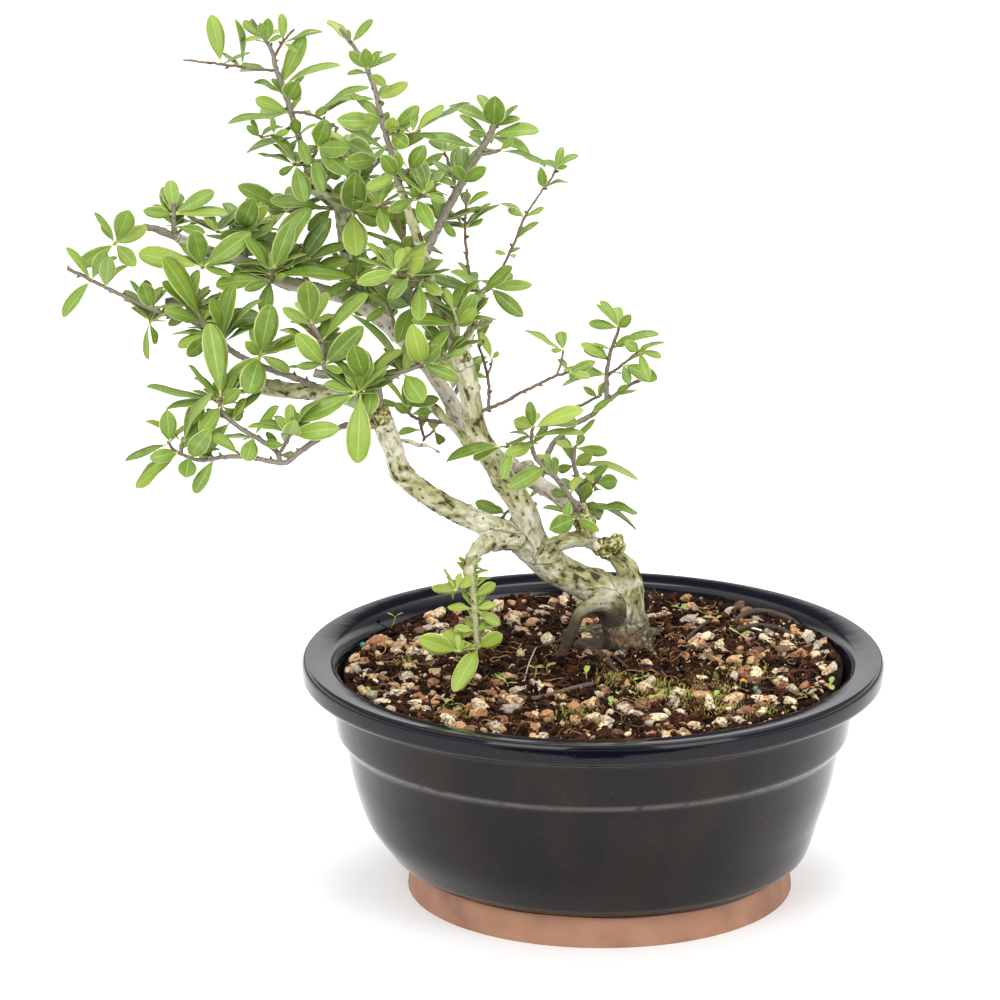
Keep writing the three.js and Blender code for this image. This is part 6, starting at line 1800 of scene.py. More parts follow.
@dataclass
class LeafShape:
    """The outline and cross-section that all leaves share, and how far each leaf strays from them."""

    # Along the leaf, and the share of its widest half there on a pointed leaf and on a blunt one
    outline: Sequence[tuple[float, float, float]] = (
        (0.0, 0.0, 0.0), (0.05, 0.0, 0.0), (0.1, 0.09, 0.05), (0.17, 0.33, 0.24), (0.26, 0.6, 0.48),
        (0.36, 0.82, 0.71), (0.46, 0.95, 0.88), (0.55, 1.0, 0.98), (0.64, 0.99, 1.03),
        (0.73, 0.91, 1.02), (0.81, 0.78, 0.95), (0.88, 0.61, 0.82), (0.94, 0.4, 0.62),
        (0.98, 0.19, 0.37), (1.0, 0.03, 0.08),
    )
    columns: Sequence[float] = (-1.0, -0.5, 0.0, 0.5, 1.0)
    # The stalk's half width, and half the thickness of the blade and of its rib
    stalk: float = 0.45
    lift: float = 0.12
    rib: float = 0.34
    # The teeth of the margin, its waves, the fold, the arch and where the widest place lies
    tooth: float = 0.022
    wave: float = 0.13
    fold: float = 0.12
    arch: float = 0.035
    reach: tuple[float, float] = (0.86, 1.12)
    # Leaves shorter than this are blunter
    small: float = 18.0

    def grid(self, leaf: Leaf, draws: np.random.Generator) -> tuple[np.ndarray, list, np.ndarray]:
        """Return a leaf's corners, faces and marks.

        Args:
            leaf: The leaf.
            draws: Where its chance comes from.

        Returns:
            Its corners, its faces, and for each corner its place across, along and on the underside.
        """
        phase = draws.uniform(0, 1)
        wave = draws.normal(0, self.wave)
        blunt = float(np.clip(draws.normal(0.6, 0.35) + (0.3 if leaf.length < self.small else 0), 0, 1))
        fold = LEAF_FOLD + abs(draws.normal(0, self.fold))
        arch = draws.normal(0, self.arch) * leaf.length
        reach = draws.uniform(*self.reach)
        base, way, side, up = (np.array(v) for v in (leaf.base, leaf.direction, leaf.side, leaf.normal))
        corners, marks = [], []
        columns = len(self.columns)
        for row, (along, pointed, rounded) in enumerate(self.outline):
            along = along**reach
            share = pointed + (rounded - pointed) * blunt
            share += self.tooth * (row % 2) * (share > 0.2)
            half = max(share * leaf.half, self.stalk * min(1, leaf.half / 2))
            for face in (1, -1):
                for across in self.columns:
                    if face < 0 and abs(across) == 1:
                        continue
                    rise = abs(across) * half * fold - along**2 * leaf.length * LEAF_DROOP
                    rise += arch * math.sin(math.pi * along)
                    rise += wave * half * across**2 * math.sin(2 * math.pi * (1.4 * along + phase))
                    body = 0 if abs(across) == 1 else (self.rib if face < 0 and across == 0 else self.lift)
                    rise += face * body
                    corners.append(base + way * (along * leaf.length) + side * (across * half) + up * rise)
                    marks.append((across, along, face < 0))
        per_row = columns * 2 - 2
        over = [[row * per_row + i for i in range(columns)] for row in range(len(self.outline))]
        under = [
            [first, *range(first + columns, first + per_row), first + columns - 1]
            for first in range(0, len(self.outline) * per_row, per_row)
        ]
        faces = []
        for row in range(len(self.outline) - 1):
            for i in range(columns - 1):
                faces.append((over[row][i], over[row][i + 1], over[row + 1][i + 1], over[row + 1][i]))
                faces.append((under[row][i], under[row + 1][i], under[row + 1][i + 1], under[row][i + 1]))
        for row, ahead in ((0, True), (len(self.outline) - 1, False)):
            ring = over[row] + under[row][-2:0:-1]
            faces.append(tuple(ring[::-1] if ahead else ring))
        return np.array(corners), faces, np.array(marks, dtype=float)


class Slot(IntEnum):
    """The material slots of a leafy shoot."""

    TWIG = 0
    LEAF = 1
    CUT = 2


def nearest_on_lines(point: Vector, lines: Sequence[Sequence[Vector]]) -> Vector:
    """Find the nearest point on any of some lines.

    Args:
        point: The point that it has to be near.
        lines: The points of each line.

    Returns:
        The nearest point.
    """
    best, found = math.inf, point
    for line in lines:
        for start, end in zip(line, line[1:]):
            span = end - start
            share = max(0.0, min(1.0, (point - start).dot(span) / span.length_squared))
            step = start + span * share
            if (step - point).length < best:
                best, found = (step - point).length, step
    return found


@dataclass
class Foliage:
    """The leafy shoots: each has its twigs, its buds and its leaves in one piece."""

    materials: Sequence[bpy.types.Material]
    nodes: dict
    shape: LeafShape = field(default_factory=LeafShape)
    sides: int = 8
    step: float = 1.5
    node_spacing: float = 7.0
    # How green with lichen a mossy shoot's twigs are
    mossy: float = 0.85
    # Small leaves that are added to a tuft: in the dense crown, elsewhere, and on the hanging shoot
    crown_leaves: int = 10
    extra_leaves: int = 1
    hanging_leaves: int = 6
    # The crown is dense between these x and these heights
    crown: tuple[float, float, float, float] = (-205.0, -58.0, 215.0, 318.0)
    # How short and how long an added leaf may be, on most shoots and on the hanging one, and its slenderness
    extra_length: tuple[float, float] = (9.0, 19.0)
    small_length: tuple[float, float] = (5.0, 10.0)
    extra_slenderness: float = 5.6
    # The hue's mean and spread from dark to light, of listed leaves, of added leaves darkened as painted
    # shade inside the foliage, and of added young ones
    hue: tuple[float, float] = (0.5, 0.16)
    inner_shade_hue: tuple[float, float] = (0.4, 0.14)
    young_hue: tuple[float, float] = (0.85, 0.1)
    hanging_hue: float = 0.45
    young_share: float = 0.25
    burnt_share: float = 0.06
    # A leaf stands as its solid where its tip meets a corner of it as closely as this
    near_enough: float = 0.3
    state: int = SEED

    def draw(self) -> float:
        """Return the next of the seeded draws that the part's source makes as well."""
        self.state = (self.state * 16807) % 2147483647
        return self.state / 2147483647

    def twig_lines(self, shoot: Shoot, limbs: list) -> list:
        """Start each twig of a shoot on the wood it grows from.

        Args:
            shoot: The shoot.
            limbs: The middle lines of the old wood.

        Returns:
            The points of each twig.
        """
        lines: list = []
        for number, route in enumerate(shoot.twigs):
            points = [place(x, z, depth) for x, z, depth, _ in route]
            points[0] = nearest_on_lines(points[0], limbs if number == 0 else [*limbs, *lines])
            lines.append(points)
        return lines

    def add_twig(
        self, maker: MeshMaker, points: list, radii: list, cut: bool, mossy: float,
        draws: np.random.Generator,
    ) -> None:
        """Add a twig with its knots and buds.

        Args:
            maker: The shoot's mesh.
            points: The points of its middle line.
            radii: Its radius at each.
            cut: Whether its end was clipped.
            mossy: How green with lichen its bark is.
            draws: Where its chance comes from.
        """
        line, sizes = smoothed(np.array(points), np.array(radii), self.step)
        along = np.arange(len(line)) * self.step
        knots = 0.16 * np.exp(-(((along % self.node_spacing) / 1.1) ** 2))
        sizes = sizes * (1 + knots + draws.normal(0, 0.04, len(line)))
        line = line + draws.normal(0, 0.12, line.shape)
        corners, faces = tube(line, sizes, self.sides, 0.15 if cut else 0.8)
        slots = [int(Slot.TWIG)] * len(faces)
        if cut:
            slots[-self.sides :] = [int(Slot.CUT)] * self.sides
        young = 1 - smoothstep(np.repeat(sizes, self.sides), 0.45, 1.15)
        marks = np.zeros((len(corners), 3))
        marks[:-2, 0] = young
        marks[:-2, 1] = np.maximum(0.35 * (1 - smoothstep(np.repeat(sizes, self.sides), 0.4, 0.65)), mossy)
        maker.add(corners, faces, slots, marks)
        for i in range(3, len(line) - 1):
            if (i * self.step) % self.node_spacing < self.step and draws.uniform() < 0.7:
                way = line[i] - line[i - 1]
                self.add_bud(maker, line[i], way / (np.linalg.norm(way) + 1e-9), sizes[i], draws)

    def add_bud(
        self, maker: MeshMaker, spot: np.ndarray, way: np.ndarray, radius: float, draws: np.random.Generator
    ) -> None:
        """Add a bud that stands off a twig.

        Args:
            maker: The shoot's mesh.
            spot: A point of the twig's middle line.
            way: The way the twig runs there.
            radius: The twig's radius there.
            draws: Where its chance comes from.
        """
        out = np.cross(way, draws.normal(0, 1, 3))
        out /= np.linalg.norm(out) + 1e-9
        lean = out + way * 0.6
        lean /= np.linalg.norm(lean)
        size = draws.uniform(0.5, 0.8)
        foot, middle = spot + out * radius * 0.5, spot + out * radius * 0.8 + lean * size
        points = np.array([foot, middle, spot + out * radius + lean * size * 2.2])
        radii = np.array([size, size * 0.85, size * 0.25])
        maker.add(*tube(points, radii, 6), slot=int(Slot.TWIG), mark=(1, 0, 0.2))

    def stand_for(
        self, tree: kdtree.KDTree, base: Vector, tip: Vector, width: float, sway: float,
        draws: np.random.Generator,
    ) -> Leaf:
        """Choose how a leaf stands: as its solid does, or by chance where it has none.

        Args:
            tree: The corners of the shoot's solid.
            base: Where the leaf starts.
            tip: Where its tip shows.
            width: The width it shows.
            sway: A little more tilt.
            draws: Where its chance comes from.

        Returns:
            The leaf.
        """
        stands = [leaf_stand(base, tip, width, stand, sway) for stand in LEAF_STANDS]
        if (tip - base).length * width >= SMALLEST_SOLID_LEAF:
            misses = [tree.find(leaf.point(1, 0, LEAF_THICKNESS / 4))[2] for leaf in stands]
            best = int(np.argmin(misses))
            if misses[best] < self.near_enough:
                return stands[best]
        return stands[int(draws.integers(0, 4))]

    def extra_leaf(self, base: Vector, lengths: tuple[float, float], draws: np.random.Generator) -> Leaf:
        """Set a small leaf on the far side of a tuft.

        Args:
            base: Where it starts.
            lengths: How short and how long it may be.
            draws: Where its chance comes from.

        Returns:
            The leaf.
        """
        turn = math.pi * draws.uniform(0.05, 0.95)
        rise = draws.uniform(-0.1, 1.0)
        return rising_leaf(base, turn, rise, draws.uniform(*lengths), self.extra_slenderness)

    def tuft(
        self, tree: kdtree.KDTree, base: Vector, tips: Sequence, hanging: bool, draws: np.random.Generator
    ) -> list[Leaf]:
        """Stand the leaves of a tuft: the listed ones first, then small ones between them.

        Args:
            tree: The corners of the shoot's solid.
            base: Where the leaves start.
            tips: The x and z of each listed leaf's tip in the front view, and its width.
            hanging: Whether the tuft is on the hanging shoot.
            draws: Where the chance comes from.

        Returns:
            The leaves.
        """
        leaves = []
        for tip_x, tip_z, width in tips:
            sway = LEAF_SWAY * (self.draw() - 0.5)
            tip = place(tip_x, tip_z, base.y)
            leaves.append(self.stand_for(tree, base, tip, width, sway, draws))
        left, right, low, high = self.crown
        dense = left < base.x < right and low < base.z < high
        count = (self.crown_leaves if dense else self.extra_leaves) + self.hanging_leaves * hanging
        lengths = self.small_length if hanging else self.extra_length
        return leaves + [self.extra_leaf(base, lengths, draws) for _ in range(count)]

    def tint(self, leaf: Leaf, listed: bool, hanging: bool, draws: np.random.Generator) -> tuple:
        """Choose a leaf's tint.

        Args:
            leaf: The leaf.
            listed: Whether it is one of those that the photograph shows one by one.
            hanging: Whether it is on the hanging shoot.
            draws: Where its chance comes from.

        Returns:
            Its hue from dark to light, its length, and whether it is burnt in places.
        """
        hue = draws.normal(*self.hue)
        if not listed:
            # Added leaves that aren't young take a darker hue: painted shade inside the foliage
            hue = draws.normal(*(self.young_hue if draws.uniform() < self.young_share else self.inner_shade_hue))
        hue += self.hanging_hue * hanging
        return float(np.clip(hue, 0, 1)), leaf.length, float(draws.uniform() < self.burnt_share)

    def shoot(self, shoot: Shoot, limbs: list, draws: np.random.Generator) -> bpy.types.Object:
        """Make one shoot.

        Args:
            shoot: The shoot.
            limbs: The middle lines of the old wood.
            draws: Where its chance comes from.

        Returns:
            The piece.
        """
        maker = MeshMaker()
        lines = self.twig_lines(shoot, limbs)
        mossy = self.mossy if shoot.name in MOSSY_SHOOTS else 0.0
        for twig, (line, route) in enumerate(zip(lines, shoot.twigs)):
            radii, cut = [point[3] for point in route], (shoot.name, twig) in CUT_TWIGS
            self.add_twig(maker, line, radii, cut, mossy, draws)
        solid = corners_of(self.nodes[shoot.name].data)
        tree = kdtree.KDTree(len(solid))
        for i, corner in enumerate(solid):
            tree.insert(Vector(corner), i)
        tree.balance()
        hanging = shoot.name in MORE_TUFTS
        for x, z, depth, *tips in [*shoot.tufts, *MORE_TUFTS.get(shoot.name, ())]:
            base = nearest_on_lines(place(x, z, depth), lines)
            for number, leaf in enumerate(self.tuft(tree, base, tips, hanging, draws)):
                tint = self.tint(leaf, number < len(tips), hanging, draws)
                corners, faces, marks = self.shape.grid(leaf, draws)
                maker.add(corners, faces, int(Slot.LEAF), marks, tint)
        return dressed(maker.piece(shoot.name + "_foliage", self.materials), "leaf", shoot.name)

    def build(self, limbs: list) -> list[bpy.types.Object]:
        """Make every shoot on the middle lines of the old wood, each with draws of its own."""
        return [self.shoot(shoot, limbs, np.random.default_rng(SEED + i)) for i, shoot in enumerate(SHOOTS)]


@dataclass(frozen=True)
class Scatter:
    """A kind of crumb that lies on the soil: how many, how large, how flat, and how its looks vary."""

    name: str
    count: int
    smallest: float
    largest: float
    flat: float
    sunk: float
    # The ranges of its first two marks, or none for peat, whose marks follow the moss
    first: tuple[float, float] | None = None
    second: tuple[float, float] | None = None
    rounds: int = 1
    long: float = 1.0
    drifts: float = 0.0


@dataclass
class Soil:
    """The soil: a broken bed of peat with crumbs, grit, bark, fibres, beads and a little moss on it."""

    rings: int = 72
    sides: int = 230
    fibre_count: int = 430
    # The bed's sides: radius and height, from the wall down to the floor
    wall: Sequence[tuple[float, float]] = (
        (107.9, 94.0), (102.9, 72), (96.5, 50), (87.5, 28), (79.5, 14.2), (76.0, 12.0),
    )
    # How much the soil rises to the wall
    raised_edge: float = 1.6
    # The bare peat: its middle and its half widths
    bare: tuple[float, float, float, float] = (-4.0, -8.0, 46.0, 34.0)
    # The trunk's foot as the front view shows it, how far crumbs stay from it, and how large a drift is
    trunk_foot: tuple[float, float, float] = (14, 98, 27)
    trunk_clear: float = 11.0
    drift_size: float = 21.0
    # The share of peat crumbs that are rusty, and that are green amid the moss
    rusty_share: float = 0.14
    green_share: float = 0.7
    bead_radius: float = 1.35
    crumbs: Scatter = Scatter("soil_crumbs", 6500, 0.35, 2.3, 0.85, -0.1)
    grit: Scatter = Scatter("soil_grit", 900, 0.5, 4.4, 0.7, 0.05, (0, 1), (0.05, 0.75), 2, 1.2, 0.9)
    specks: Scatter = Scatter("soil_specks", 1700, 0.22, 0.75, 0.8, -0.3, (0.35, 0.75), (0, 0.3))
    bark: Scatter = Scatter("soil_bark", 420, 1.4, 3.8, 0.3, -0.1, (0.2, 0.8), (0.2, 1), 1, 1.8)

    def height(self, points: np.ndarray) -> np.ndarray:
        """Tell the broken height of the bed.

        Args:
            points: The x and y of each place.

        Returns:
            The height at each.
        """
        flat = np.column_stack([points[:, 0], points[:, 1], np.zeros(len(points))])
        rough = 0.9 * wavy(flat, 6.5, 2.0) + 0.6 * wavy(flat, 2.7, 9.0)
        away = np.hypot(points[:, 0] - BODY_OFFSET, points[:, 1])
        lean = 1.1 + 0.9 * (points[:, 0] - BODY_OFFSET) / SOIL_RADIUS
        rough += self.raised_edge * lean * smoothstep(away, SOIL_RADIUS - 14, SOIL_RADIUS)
        return soil_height(points[:, 0], points[:, 1]) + rough

    def bed(self) -> bpy.types.Object:
        """Lay the bed of soil, down to the floor of the pot.

        Returns:
            The piece.
        """
        radii = SOIL_RADIUS * (np.arange(1, self.rings + 1) / self.rings) ** 0.85
        angles = np.arange(self.sides) * 2 * math.pi / self.sides
        grid = np.array([(r * math.cos(a), r * math.sin(a)) for r in radii for a in angles])
        grid[:, 0] += BODY_OFFSET
        heights = self.height(grid)
        top = np.column_stack([grid, heights])
        wall = []
        for radius, z in self.wall:
            ring = [(radius * math.cos(a) + float(offset_at(z)), radius * math.sin(a), z) for a in angles]
            wall.append(np.array(ring))
        middle = self.height(np.array([[BODY_OFFSET, 0.0]]))[0]
        corners = np.concatenate([top, *wall, [[BODY_OFFSET, 0, middle], [0, 0, self.wall[-1][1]]]])
        rings = self.rings + len(wall)
        loop = pairs(rings, self.sides)
        faces = [(near, near + self.sides, far + self.sides, far) for near, far in loop]
        last = (rings - 1) * self.sides
        for side in range(self.sides):
            after = (side + 1) % self.sides
            faces.append((len(corners) - 2, side, after))
            faces.append((len(corners) - 1, last + after, last + side))
        rusty = np.clip(wavy(corners, 18.0, 4.0) * 1.2, 0, 1)
        light = 0.15 + 0.25 * np.clip(wavy(corners, 9.0, 14.0), 0, 1)
        maker = MeshMaker()
        maker.add(corners, faces, 0, np.column_stack([light, rusty * 0.6, np.zeros(len(corners))]))
        return dressed(maker.piece("soil_bed", [Peat().material()]), "soil", "soil")

    def spots(
        self, count: int, draws: np.random.Generator, edge: float = 2.0, drifts: float = 0.0
    ) -> np.ndarray:
        """Return places spread over the soil, clear of the trunk.

        Args:
            count: How many.
            draws: Where their chance comes from.
            edge: How far they stay from the wall.
            drifts: How much they lie in drifts, and stay away from the bare peat in front of the trunk.

        Returns:
            The x and y of each.
        """
        found = []
        trunk = np.array(place(*self.trunk_foot))
        while len(found) < count:
            x, y = draws.uniform(-SOIL_RADIUS, SOIL_RADIUS, 2)
            away = math.hypot(x + BODY_OFFSET - trunk[0], y - trunk[1])
            bare = math.hypot((x - self.bare[0]) / self.bare[2], (y - self.bare[1]) / self.bare[3])
            drift = noise.noise(Vector((x / self.drift_size, y / self.drift_size, 3.0)))
            drift += 0.9 * min(1.0, bare - 1)
            skipped = draws.uniform() < drifts * (0.5 - 1.3 * drift)
            if math.hypot(x, y) < SOIL_RADIUS - edge and away > self.trunk_clear and not skipped:
                found.append((x + BODY_OFFSET, y))
        return np.array(found)

    def crumb_marks(self, kind: Scatter, x: float, y: float, draws: np.random.Generator) -> tuple:
        """Choose a crumb's marks.

        Args:
            kind: The crumb.
            x: How far to the right it lies.
            y: How far behind the pot's axis.
            draws: Where its chance comes from.

        Returns:
            Its kind's own two marks, or for peat how light, how rusty and how mossy it is.
        """
        if kind.first and kind.second:
            return (draws.uniform(*kind.first), draws.uniform(*kind.second), 0)
        mossy = sum(math.exp(-((x - a) ** 2 + (y - b) ** 2) / (0.5 * reach) ** 2) for a, b, reach, _ in MOSS)
        green = float(draws.uniform() < self.green_share * mossy) * draws.uniform(0.5, 1)
        light = draws.uniform(0.0, 0.7)
        return (light, float(draws.uniform() < self.rusty_share) * draws.uniform(0.4, 1), green)

    def scattered(
        self, kind: Scatter, material: bpy.types.Material, draws: np.random.Generator
    ) -> bpy.types.Object:
        """Spread one kind of crumb over the soil.

        Args:
            kind: The crumb.
            material: Its material.
            draws: Where the chance comes from.

        Returns:
            The piece.
        """
        ball, faces = pebble(kind.rounds)
        spots = self.spots(kind.count, draws, drifts=kind.drifts)
        heights = self.height(spots)
        maker = MeshMaker()
        for (x, y), z in zip(spots, heights):
            size = draws.uniform(kind.smallest ** (1 / 3), kind.largest ** (1 / 3)) ** 3
            lumps = 1 + 0.2 * np.sin(ball @ draws.normal(0, 2.2, 3) + draws.uniform(0, 6))
            lumps += draws.normal(0, 0.1, len(ball))
            lumps = np.minimum(lumps, 1 / (np.abs(ball @ turned(draws)).max(axis=1) + 0.12))
            shape = ball * lumps[:, None] * size
            long, wide, flat = draws.uniform(0.8, 1.2), draws.uniform(0.65, 1.0), draws.uniform(0.7, 1.1)
            shape *= [kind.long * long, wide, kind.flat * flat]
            shape = shape @ turned(draws, 0.5).T
            rim = SOIL_RADIUS + 1.6 - np.linalg.norm([x - BODY_OFFSET, y])
            if rim < size * kind.long * 1.3:
                continue
            shape += [x, y, z + size * kind.flat * (0.35 - kind.sunk)]
            maker.add(shape, faces, 0, self.crumb_marks(kind, x, y, draws))
        piece = maker.piece(kind.name, [material])
        piece.data.polygons.foreach_set("use_smooth", [kind.rounds < 2] * len(piece.data.polygons))
        return dressed(piece, "soil")

    def fibres(self, draws: np.random.Generator) -> bpy.types.Object:
        """Lay the fine dead roots over the soil.

        Args:
            draws: Where their chance comes from.

        Returns:
            The piece.
        """
        maker = MeshMaker()
        for x, y in self.spots(self.fibre_count, draws, 10.0):
            turn = draws.uniform(0, 2 * math.pi)
            bend = draws.normal(0, 0.5)
            length = draws.uniform(5, 19)
            points = [(x, y)]
            for _ in range(6):
                turn += bend + draws.normal(0, 0.25)
                last = points[-1]
                points.append((last[0] + math.cos(turn) * length / 6, last[1] + math.sin(turn) * length / 6))
            flat = np.array(points)
            if np.linalg.norm(flat - [BODY_OFFSET, 0], axis=1).max() >= SOIL_RADIUS - 1:
                continue
            line = np.column_stack([flat, self.height(flat) + 1.3 + draws.uniform(0, 1.6, len(flat))])
            thick = draws.uniform(0.12, 0.38)
            mark = (float(draws.uniform() < 0.3), 0, 0)
            maker.add(*tube(line, np.linspace(thick, thick * 0.5, len(line)), 5), mark=mark)
        return dressed(maker.piece("soil_fibres", [Fibre().material()]), "soil")

    def litter(self) -> bpy.types.Object:
        """Lay the sticks, the thin roots and the pale splinters that show on the soil.

        Returns:
            The piece.
        """
        maker = MeshMaker()
        for route, thick, pale in LITTER:
            line = []
            for x, z, lift in route:
                spot = self.on_soil(x, z)
                line.append((spot.x, spot.y, spot.z + thick * 0.6 + lift + 0.9))
            points, radii = smoothed(np.array(line), np.full(len(line), thick), 2.0)
            radii = radii * (1 + 0.15 * wavy(points, 4.0, 17.0))
            radii[-1] *= 0.5
            maker.add(*tube(points, radii, 7), mark=(pale, 0, 0))
        return dressed(maker.piece("soil_litter", [Litter().material()]), "soil")

    def sprouts(self, draws: np.random.Generator) -> bpy.types.Object:
        """Set the seedlings: each a thin stem with a few small leaves.

        Args:
            draws: Where their chance comes from.

        Returns:
            The piece.
        """
        maker = MeshMaker()
        shape = LeafShape(lift=0.06, rib=0.12, stalk=0.2)
        for x, z, tall, count in SPROUTS:
            foot = self.on_soil(x, z)
            top = foot + Vector((draws.normal(0, 0.25) * tall, draws.normal(0, 0.2) * tall, tall))
            line = np.array([foot - Vector((0, 0, 0.5)), foot.lerp(top, 0.5) + Vector((0.4, 0, 0)), top])
            maker.add(*tube(line, np.array([0.35, 0.3, 0.2]), 5), slot=1, mark=(0.6, 0.7, 0))
            turn = draws.uniform(0, 2 * math.pi)
            for number in range(count):
                turn += 2 * math.pi / max(count, 2) + draws.normal(0, 0.25)
                leaf = rising_leaf(top, turn, draws.uniform(0.1, 0.7), draws.uniform(3.6, 6.4), 4.6)
                corners, faces, marks = shape.grid(leaf, draws)
                maker.add(corners, faces, 0, marks, (draws.uniform(0.5, 1), leaf.length, 0))
        return dressed(maker.piece("soil_sprouts", [LeafBlade().material(), Green().material()]), "leaf")

    def moss(self, draws: np.random.Generator) -> bpy.types.Object:
        """Set the tufts of moss.

        Args:
            draws: Where their chance comes from.

        Returns:
            The piece.
        """
        maker = MeshMaker()
        for centre_x, centre_y, reach, count in MOSS:
            for _ in range(count):
                x = centre_x + draws.normal(0, reach / 2)
                y = centre_y + draws.normal(0, reach / 2)
                if math.hypot(x - BODY_OFFSET, y) > SOIL_RADIUS - 3:
                    continue
                z = self.height(np.array([[x, y]]))[0]
                lean = draws.normal(0, 0.5, 2)
                tall = draws.uniform(1.4, 3.0)
                middle = [x + lean[0], y + lean[1], z + tall * 0.6]
                line = np.array([[x, y, z - 0.4], middle, [x + 2 * lean[0], y + 2 * lean[1], z + tall]])
                marks = np.repeat([[rise, draws.uniform(), 0] for rise in (0.0, 0.5, 1.0)], 4, axis=0)
                marks = np.concatenate([marks, marks[:1], marks[-1:]])
                maker.add(*tube(line, np.array([0.3, 0.25, 0.1]), 4), mark=marks)
        return dressed(maker.piece("soil_moss", [Green().material()]), "soil")

    def beads(self) -> bpy.types.Object:
        """Lay the feed beads that show on the soil.

        Returns:
            The piece.
        """
        ball, faces = pebble(3)
        maker = MeshMaker()
        for x, z, slot in BEADS:
            spot = self.on_soil(x, z)
            maker.add(ball * self.bead_radius + [spot.x, spot.y, spot.z + 0.9], faces, slot)
        materials = [Bead("teal_bead", "#1f8f78").material(), Bead("orange_bead", "#d98a26").material()]
        return dressed(maker.piece("soil_beads", materials), "soil")

    def on_soil(self, x: float, z: float) -> Vector:
        """Find where the line of sight through a point of the front view meets the soil.

        Args:
            x: How far to the right the point is.
            z: How high it is.

        Returns:
            The place on the soil.
        """
        depth = 0.0
        spot = place(x, z, depth)
        for _ in range(12):
            spot = place(x, z, depth)
            depth += (self.height(np.array([[spot.x, spot.y]]))[0] - spot.z) / -math.tan(VIEW_SLOPE)
        return spot

    def build(self) -> list[bpy.types.Object]:
        """Make the soil with all that lies on it.

        Returns:
            The pieces.
        """
        draws = np.random.default_rng(SEED)
        bed = self.bed()
        peat = bed.data.materials[0]
        rock = Stone().material()
        kinds = ((self.crumbs, peat), (self.grit, rock), (self.specks, rock), (self.bark, peat))
        crumbs = [self.scattered(kind, material, draws) for kind, material in kinds]
        fibres = self.fibres(draws)
        litter = self.litter()
        sprouts = self.sprouts(draws)
        return [bed, *crumbs, fibres, litter, sprouts, self.moss(draws), self.beads()]


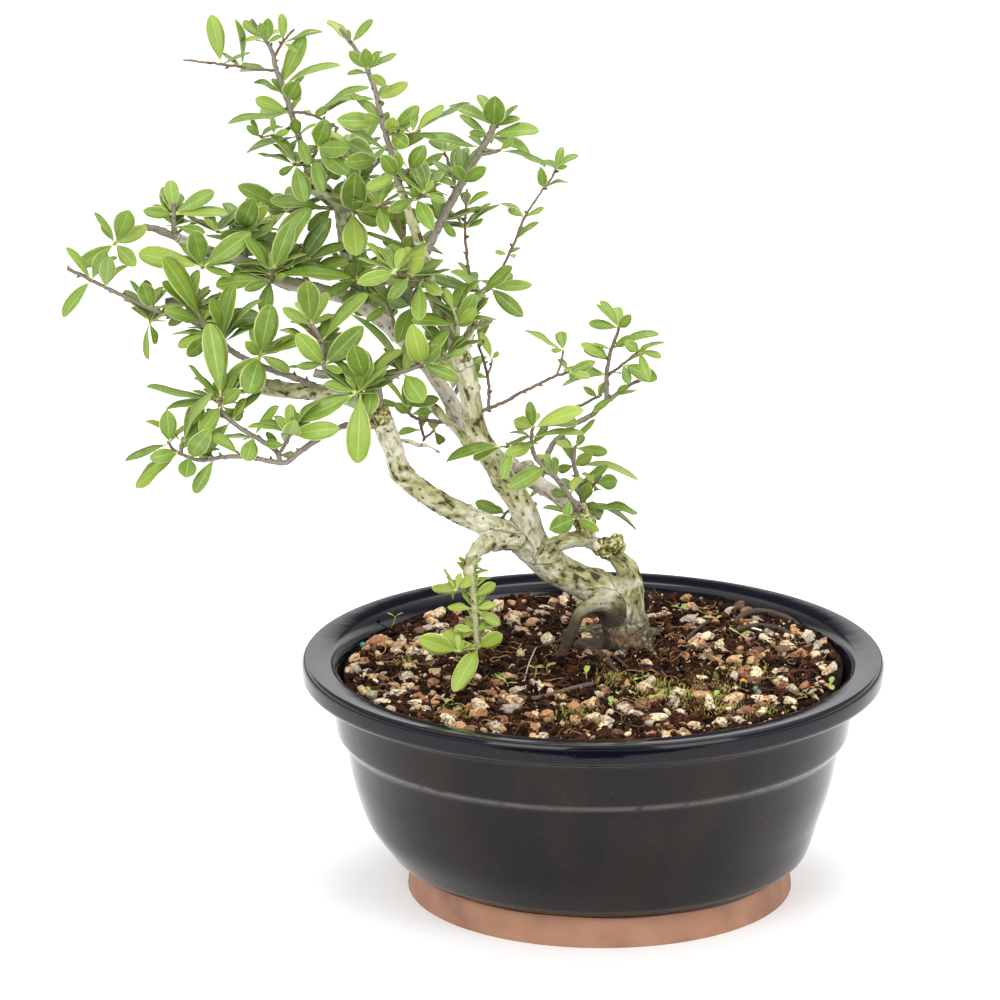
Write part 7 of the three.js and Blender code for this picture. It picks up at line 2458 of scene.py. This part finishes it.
@dataclass
class Studio:
    """The photograph's view and a plain pale studio."""

    floor_size: float = 9000.0
    # The dark card on the floor before the pot, with a tongue towards it
    card: Sequence[tuple[float, float, float]] = (
        (-900, -1900, 4), (900, -1900, 4), (420, -430, 4), (72, -425, 4), (58, -378, 4), (-48, -374, 4),
        (-62, -425, 4), (-420, -430, 4),
    )
    # The soft boxes: name, place, side and watts
    boxes: Sequence[tuple] = (
        ("key_box", (-1000, -1900, 1500), 1300, 31), ("fill_box", (1500, -1700, 1300), 1300, 24),
        ("back_box", (200, 900, 2200), 1200, 16),
    )
    # How brightly the room glows all round, and how much more at the sides, overhead and in a low band
    dim: float = 0.06
    sides: float = 0.5
    top: float = 1.5
    band: float = 1.5

    def camera(self) -> None:
        """Set the camera where the viewer stands."""
        data = bpy.data.cameras.new("camera")
        data.lens = FOCAL_LENGTH
        data.sensor_width = SENSOR_WIDTH
        data.clip_end = 100
        camera = bpy.data.objects.new("camera", data)
        camera.location = VIEWER * MM
        camera.rotation_euler = (math.pi / 2 - VIEW_SLOPE, 0, 0)
        bpy.context.scene.collection.objects.link(camera)
        bpy.context.scene.camera = camera

    def sheet(self, name: str, corners: Sequence, material: bpy.types.Material) -> bpy.types.Object:
        """Lay a flat sheet.

        Args:
            name: Its name.
            corners: Its corners in millimetres.
            material: Its finish.

        Returns:
            The piece.
        """
        mesh = bpy.data.meshes.new(name)
        mesh.from_pydata([Vector(corner) * MM for corner in corners], [], [tuple(range(len(corners)))])
        mesh.materials.append(material)
        piece = linked(name, mesh)
        return piece

    def floor(self) -> None:
        """Lay the paper floor, and the dark card before it that only the glaze mirrors."""
        half = self.floor_size / 2
        corners = [(-half, -half, 0), (half, -half, 0), (half, half, 0), (-half, half, 0)]
        self.sheet("floor", corners, StudioPaper().material())
        card = self.sheet("dark_card", self.card, BlackFlock().material())
        card.visible_camera = False
        card.visible_diffuse = False
        card.visible_shadow = False

    def light(self, name: str, spot: tuple, size: float, power: float) -> None:
        """Hang a soft box that points at the tree.

        Args:
            name: Its name.
            spot: Where it hangs, in millimetres.
            size: Its side, in millimetres.
            power: Its power in watts.
        """
        data = bpy.data.lights.new(name, "AREA")
        data.shape = "SQUARE"
        data.size = size * MM
        data.energy = power
        lamp = bpy.data.objects.new(name, data)
        lamp.location = Vector(spot) * MM
        way = VIEW_TARGET - Vector(spot)
        lamp.rotation_euler = way.to_track_quat("-Z", "Y").to_euler()
        bpy.context.scene.collection.objects.link(lamp)

    def world(self) -> None:
        """Light the room: brightest at the sides, overhead and in a low band. The camera sees white."""
        world = bpy.data.worlds.new("room")
        bpy.context.scene.world = world
        world.use_nodes = True
        tree = world.node_tree
        tree.nodes.clear()
        way = add_node(tree, "ShaderNodeTexCoord").outputs["Generated"]
        parts = add_node(tree, "ShaderNodeSeparateXYZ", inputs={0: way}).outputs
        side = add_node(tree, "ShaderNodeMath", {"operation": "ABSOLUTE"}, {0: parts[0]}).outputs[0]
        glow = self.dim
        for level, low, high, more in ((side, 0.1, 0.5, self.sides), (parts[2], 0.5, 0.9, self.top)):
            inputs = {"Value": level, "From Min": low, "From Max": high, "To Max": more}
            rise = add_node(tree, "ShaderNodeMapRange", SMOOTH, inputs).outputs["Result"]
            glow = add_node(tree, "ShaderNodeMath", {"operation": "ADD"}, {0: glow, 1: rise}).outputs[0]
        inputs = {"Value": parts[2], "From Min": 0.33, "From Max": 0.4, "To Min": 1.0, "To Max": 0.0}
        fall = add_node(tree, "ShaderNodeMapRange", inputs=inputs).outputs["Result"]
        inputs = {"Value": parts[2], "From Min": 0.15, "From Max": 0.22, "To Max": self.band}
        band = add_node(tree, "ShaderNodeMapRange", inputs=inputs).outputs["Result"]
        band = add_node(tree, "ShaderNodeMath", {"operation": "MULTIPLY"}, {0: band, 1: fall}).outputs[0]
        glow = add_node(tree, "ShaderNodeMath", {"operation": "ADD"}, {0: glow, 1: band}).outputs[0]
        seen = add_node(tree, "ShaderNodeLightPath").outputs["Is Camera Ray"]
        glow = add_node(tree, "ShaderNodeMath", {"operation": "MAXIMUM"}, {0: glow, 1: seen}).outputs[0]
        light = add_node(tree, "ShaderNodeBackground", inputs={"Color": (1, 1, 1, 1), "Strength": glow})
        add_node(tree, "ShaderNodeOutputWorld", inputs={"Surface": light.outputs[0]})

    def build(self) -> None:
        """Make the camera, the floor and the lights."""
        self.camera()
        self.floor()
        for box in self.boxes:
            self.light(*box)
        self.world()
        bpy.context.scene.view_settings.view_transform = "Standard"


def main() -> None:
    """Build the camera first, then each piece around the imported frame, and report them."""
    logging.basicConfig(level=logging.INFO, format="%(name)s: %(message)s")
    Studio().build()
    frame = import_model()
    pieces = [Pot().build()]
    screen = ScreenMesh().material()
    for node in ("drain_screen_1", "drain_screen_2", "drain_screen_3"):
        mesh = frame["nodes"][node].data
        mesh.materials.clear()
        mesh.materials.append(screen)
    pieces += Soil().build()
    bark = Bark().material()
    routes = [TRUNK, *LIMBS, *ROOTS]
    old = Wood("trunk_and_limbs_bark", "trunk_and_limbs", "bark", routes, burrs=BURRS, sawn=SAWN)
    first_root = 1 + len(LIMBS)
    pieces.append(old.build(bark, PINK_LIMBS, range(first_root, first_root + 2)))
    fine = {"voxel": 0.4, "rounds": 2, "swell": 0.1, "relief": 0.15, "flake": 0.1}
    curled = Wood("surface_root_bark", "surface_root", "dark_root", CURLED_ROOT, **fine)
    pieces.append(curled.build(bark, (), (0, 1)))
    limbs = [[place(x, z, depth) for x, z, depth, _ in route] for route in routes]
    materials = [TwigBark().material(), LeafBlade().material(), CutWood().material()]
    pieces += Foliage(materials, frame["nodes"]).build(limbs)
    for piece in pieces:
        log.info("%s: %d faces", piece.name, len(piece.data.polygons))


if __name__ == "__main__":
    main()
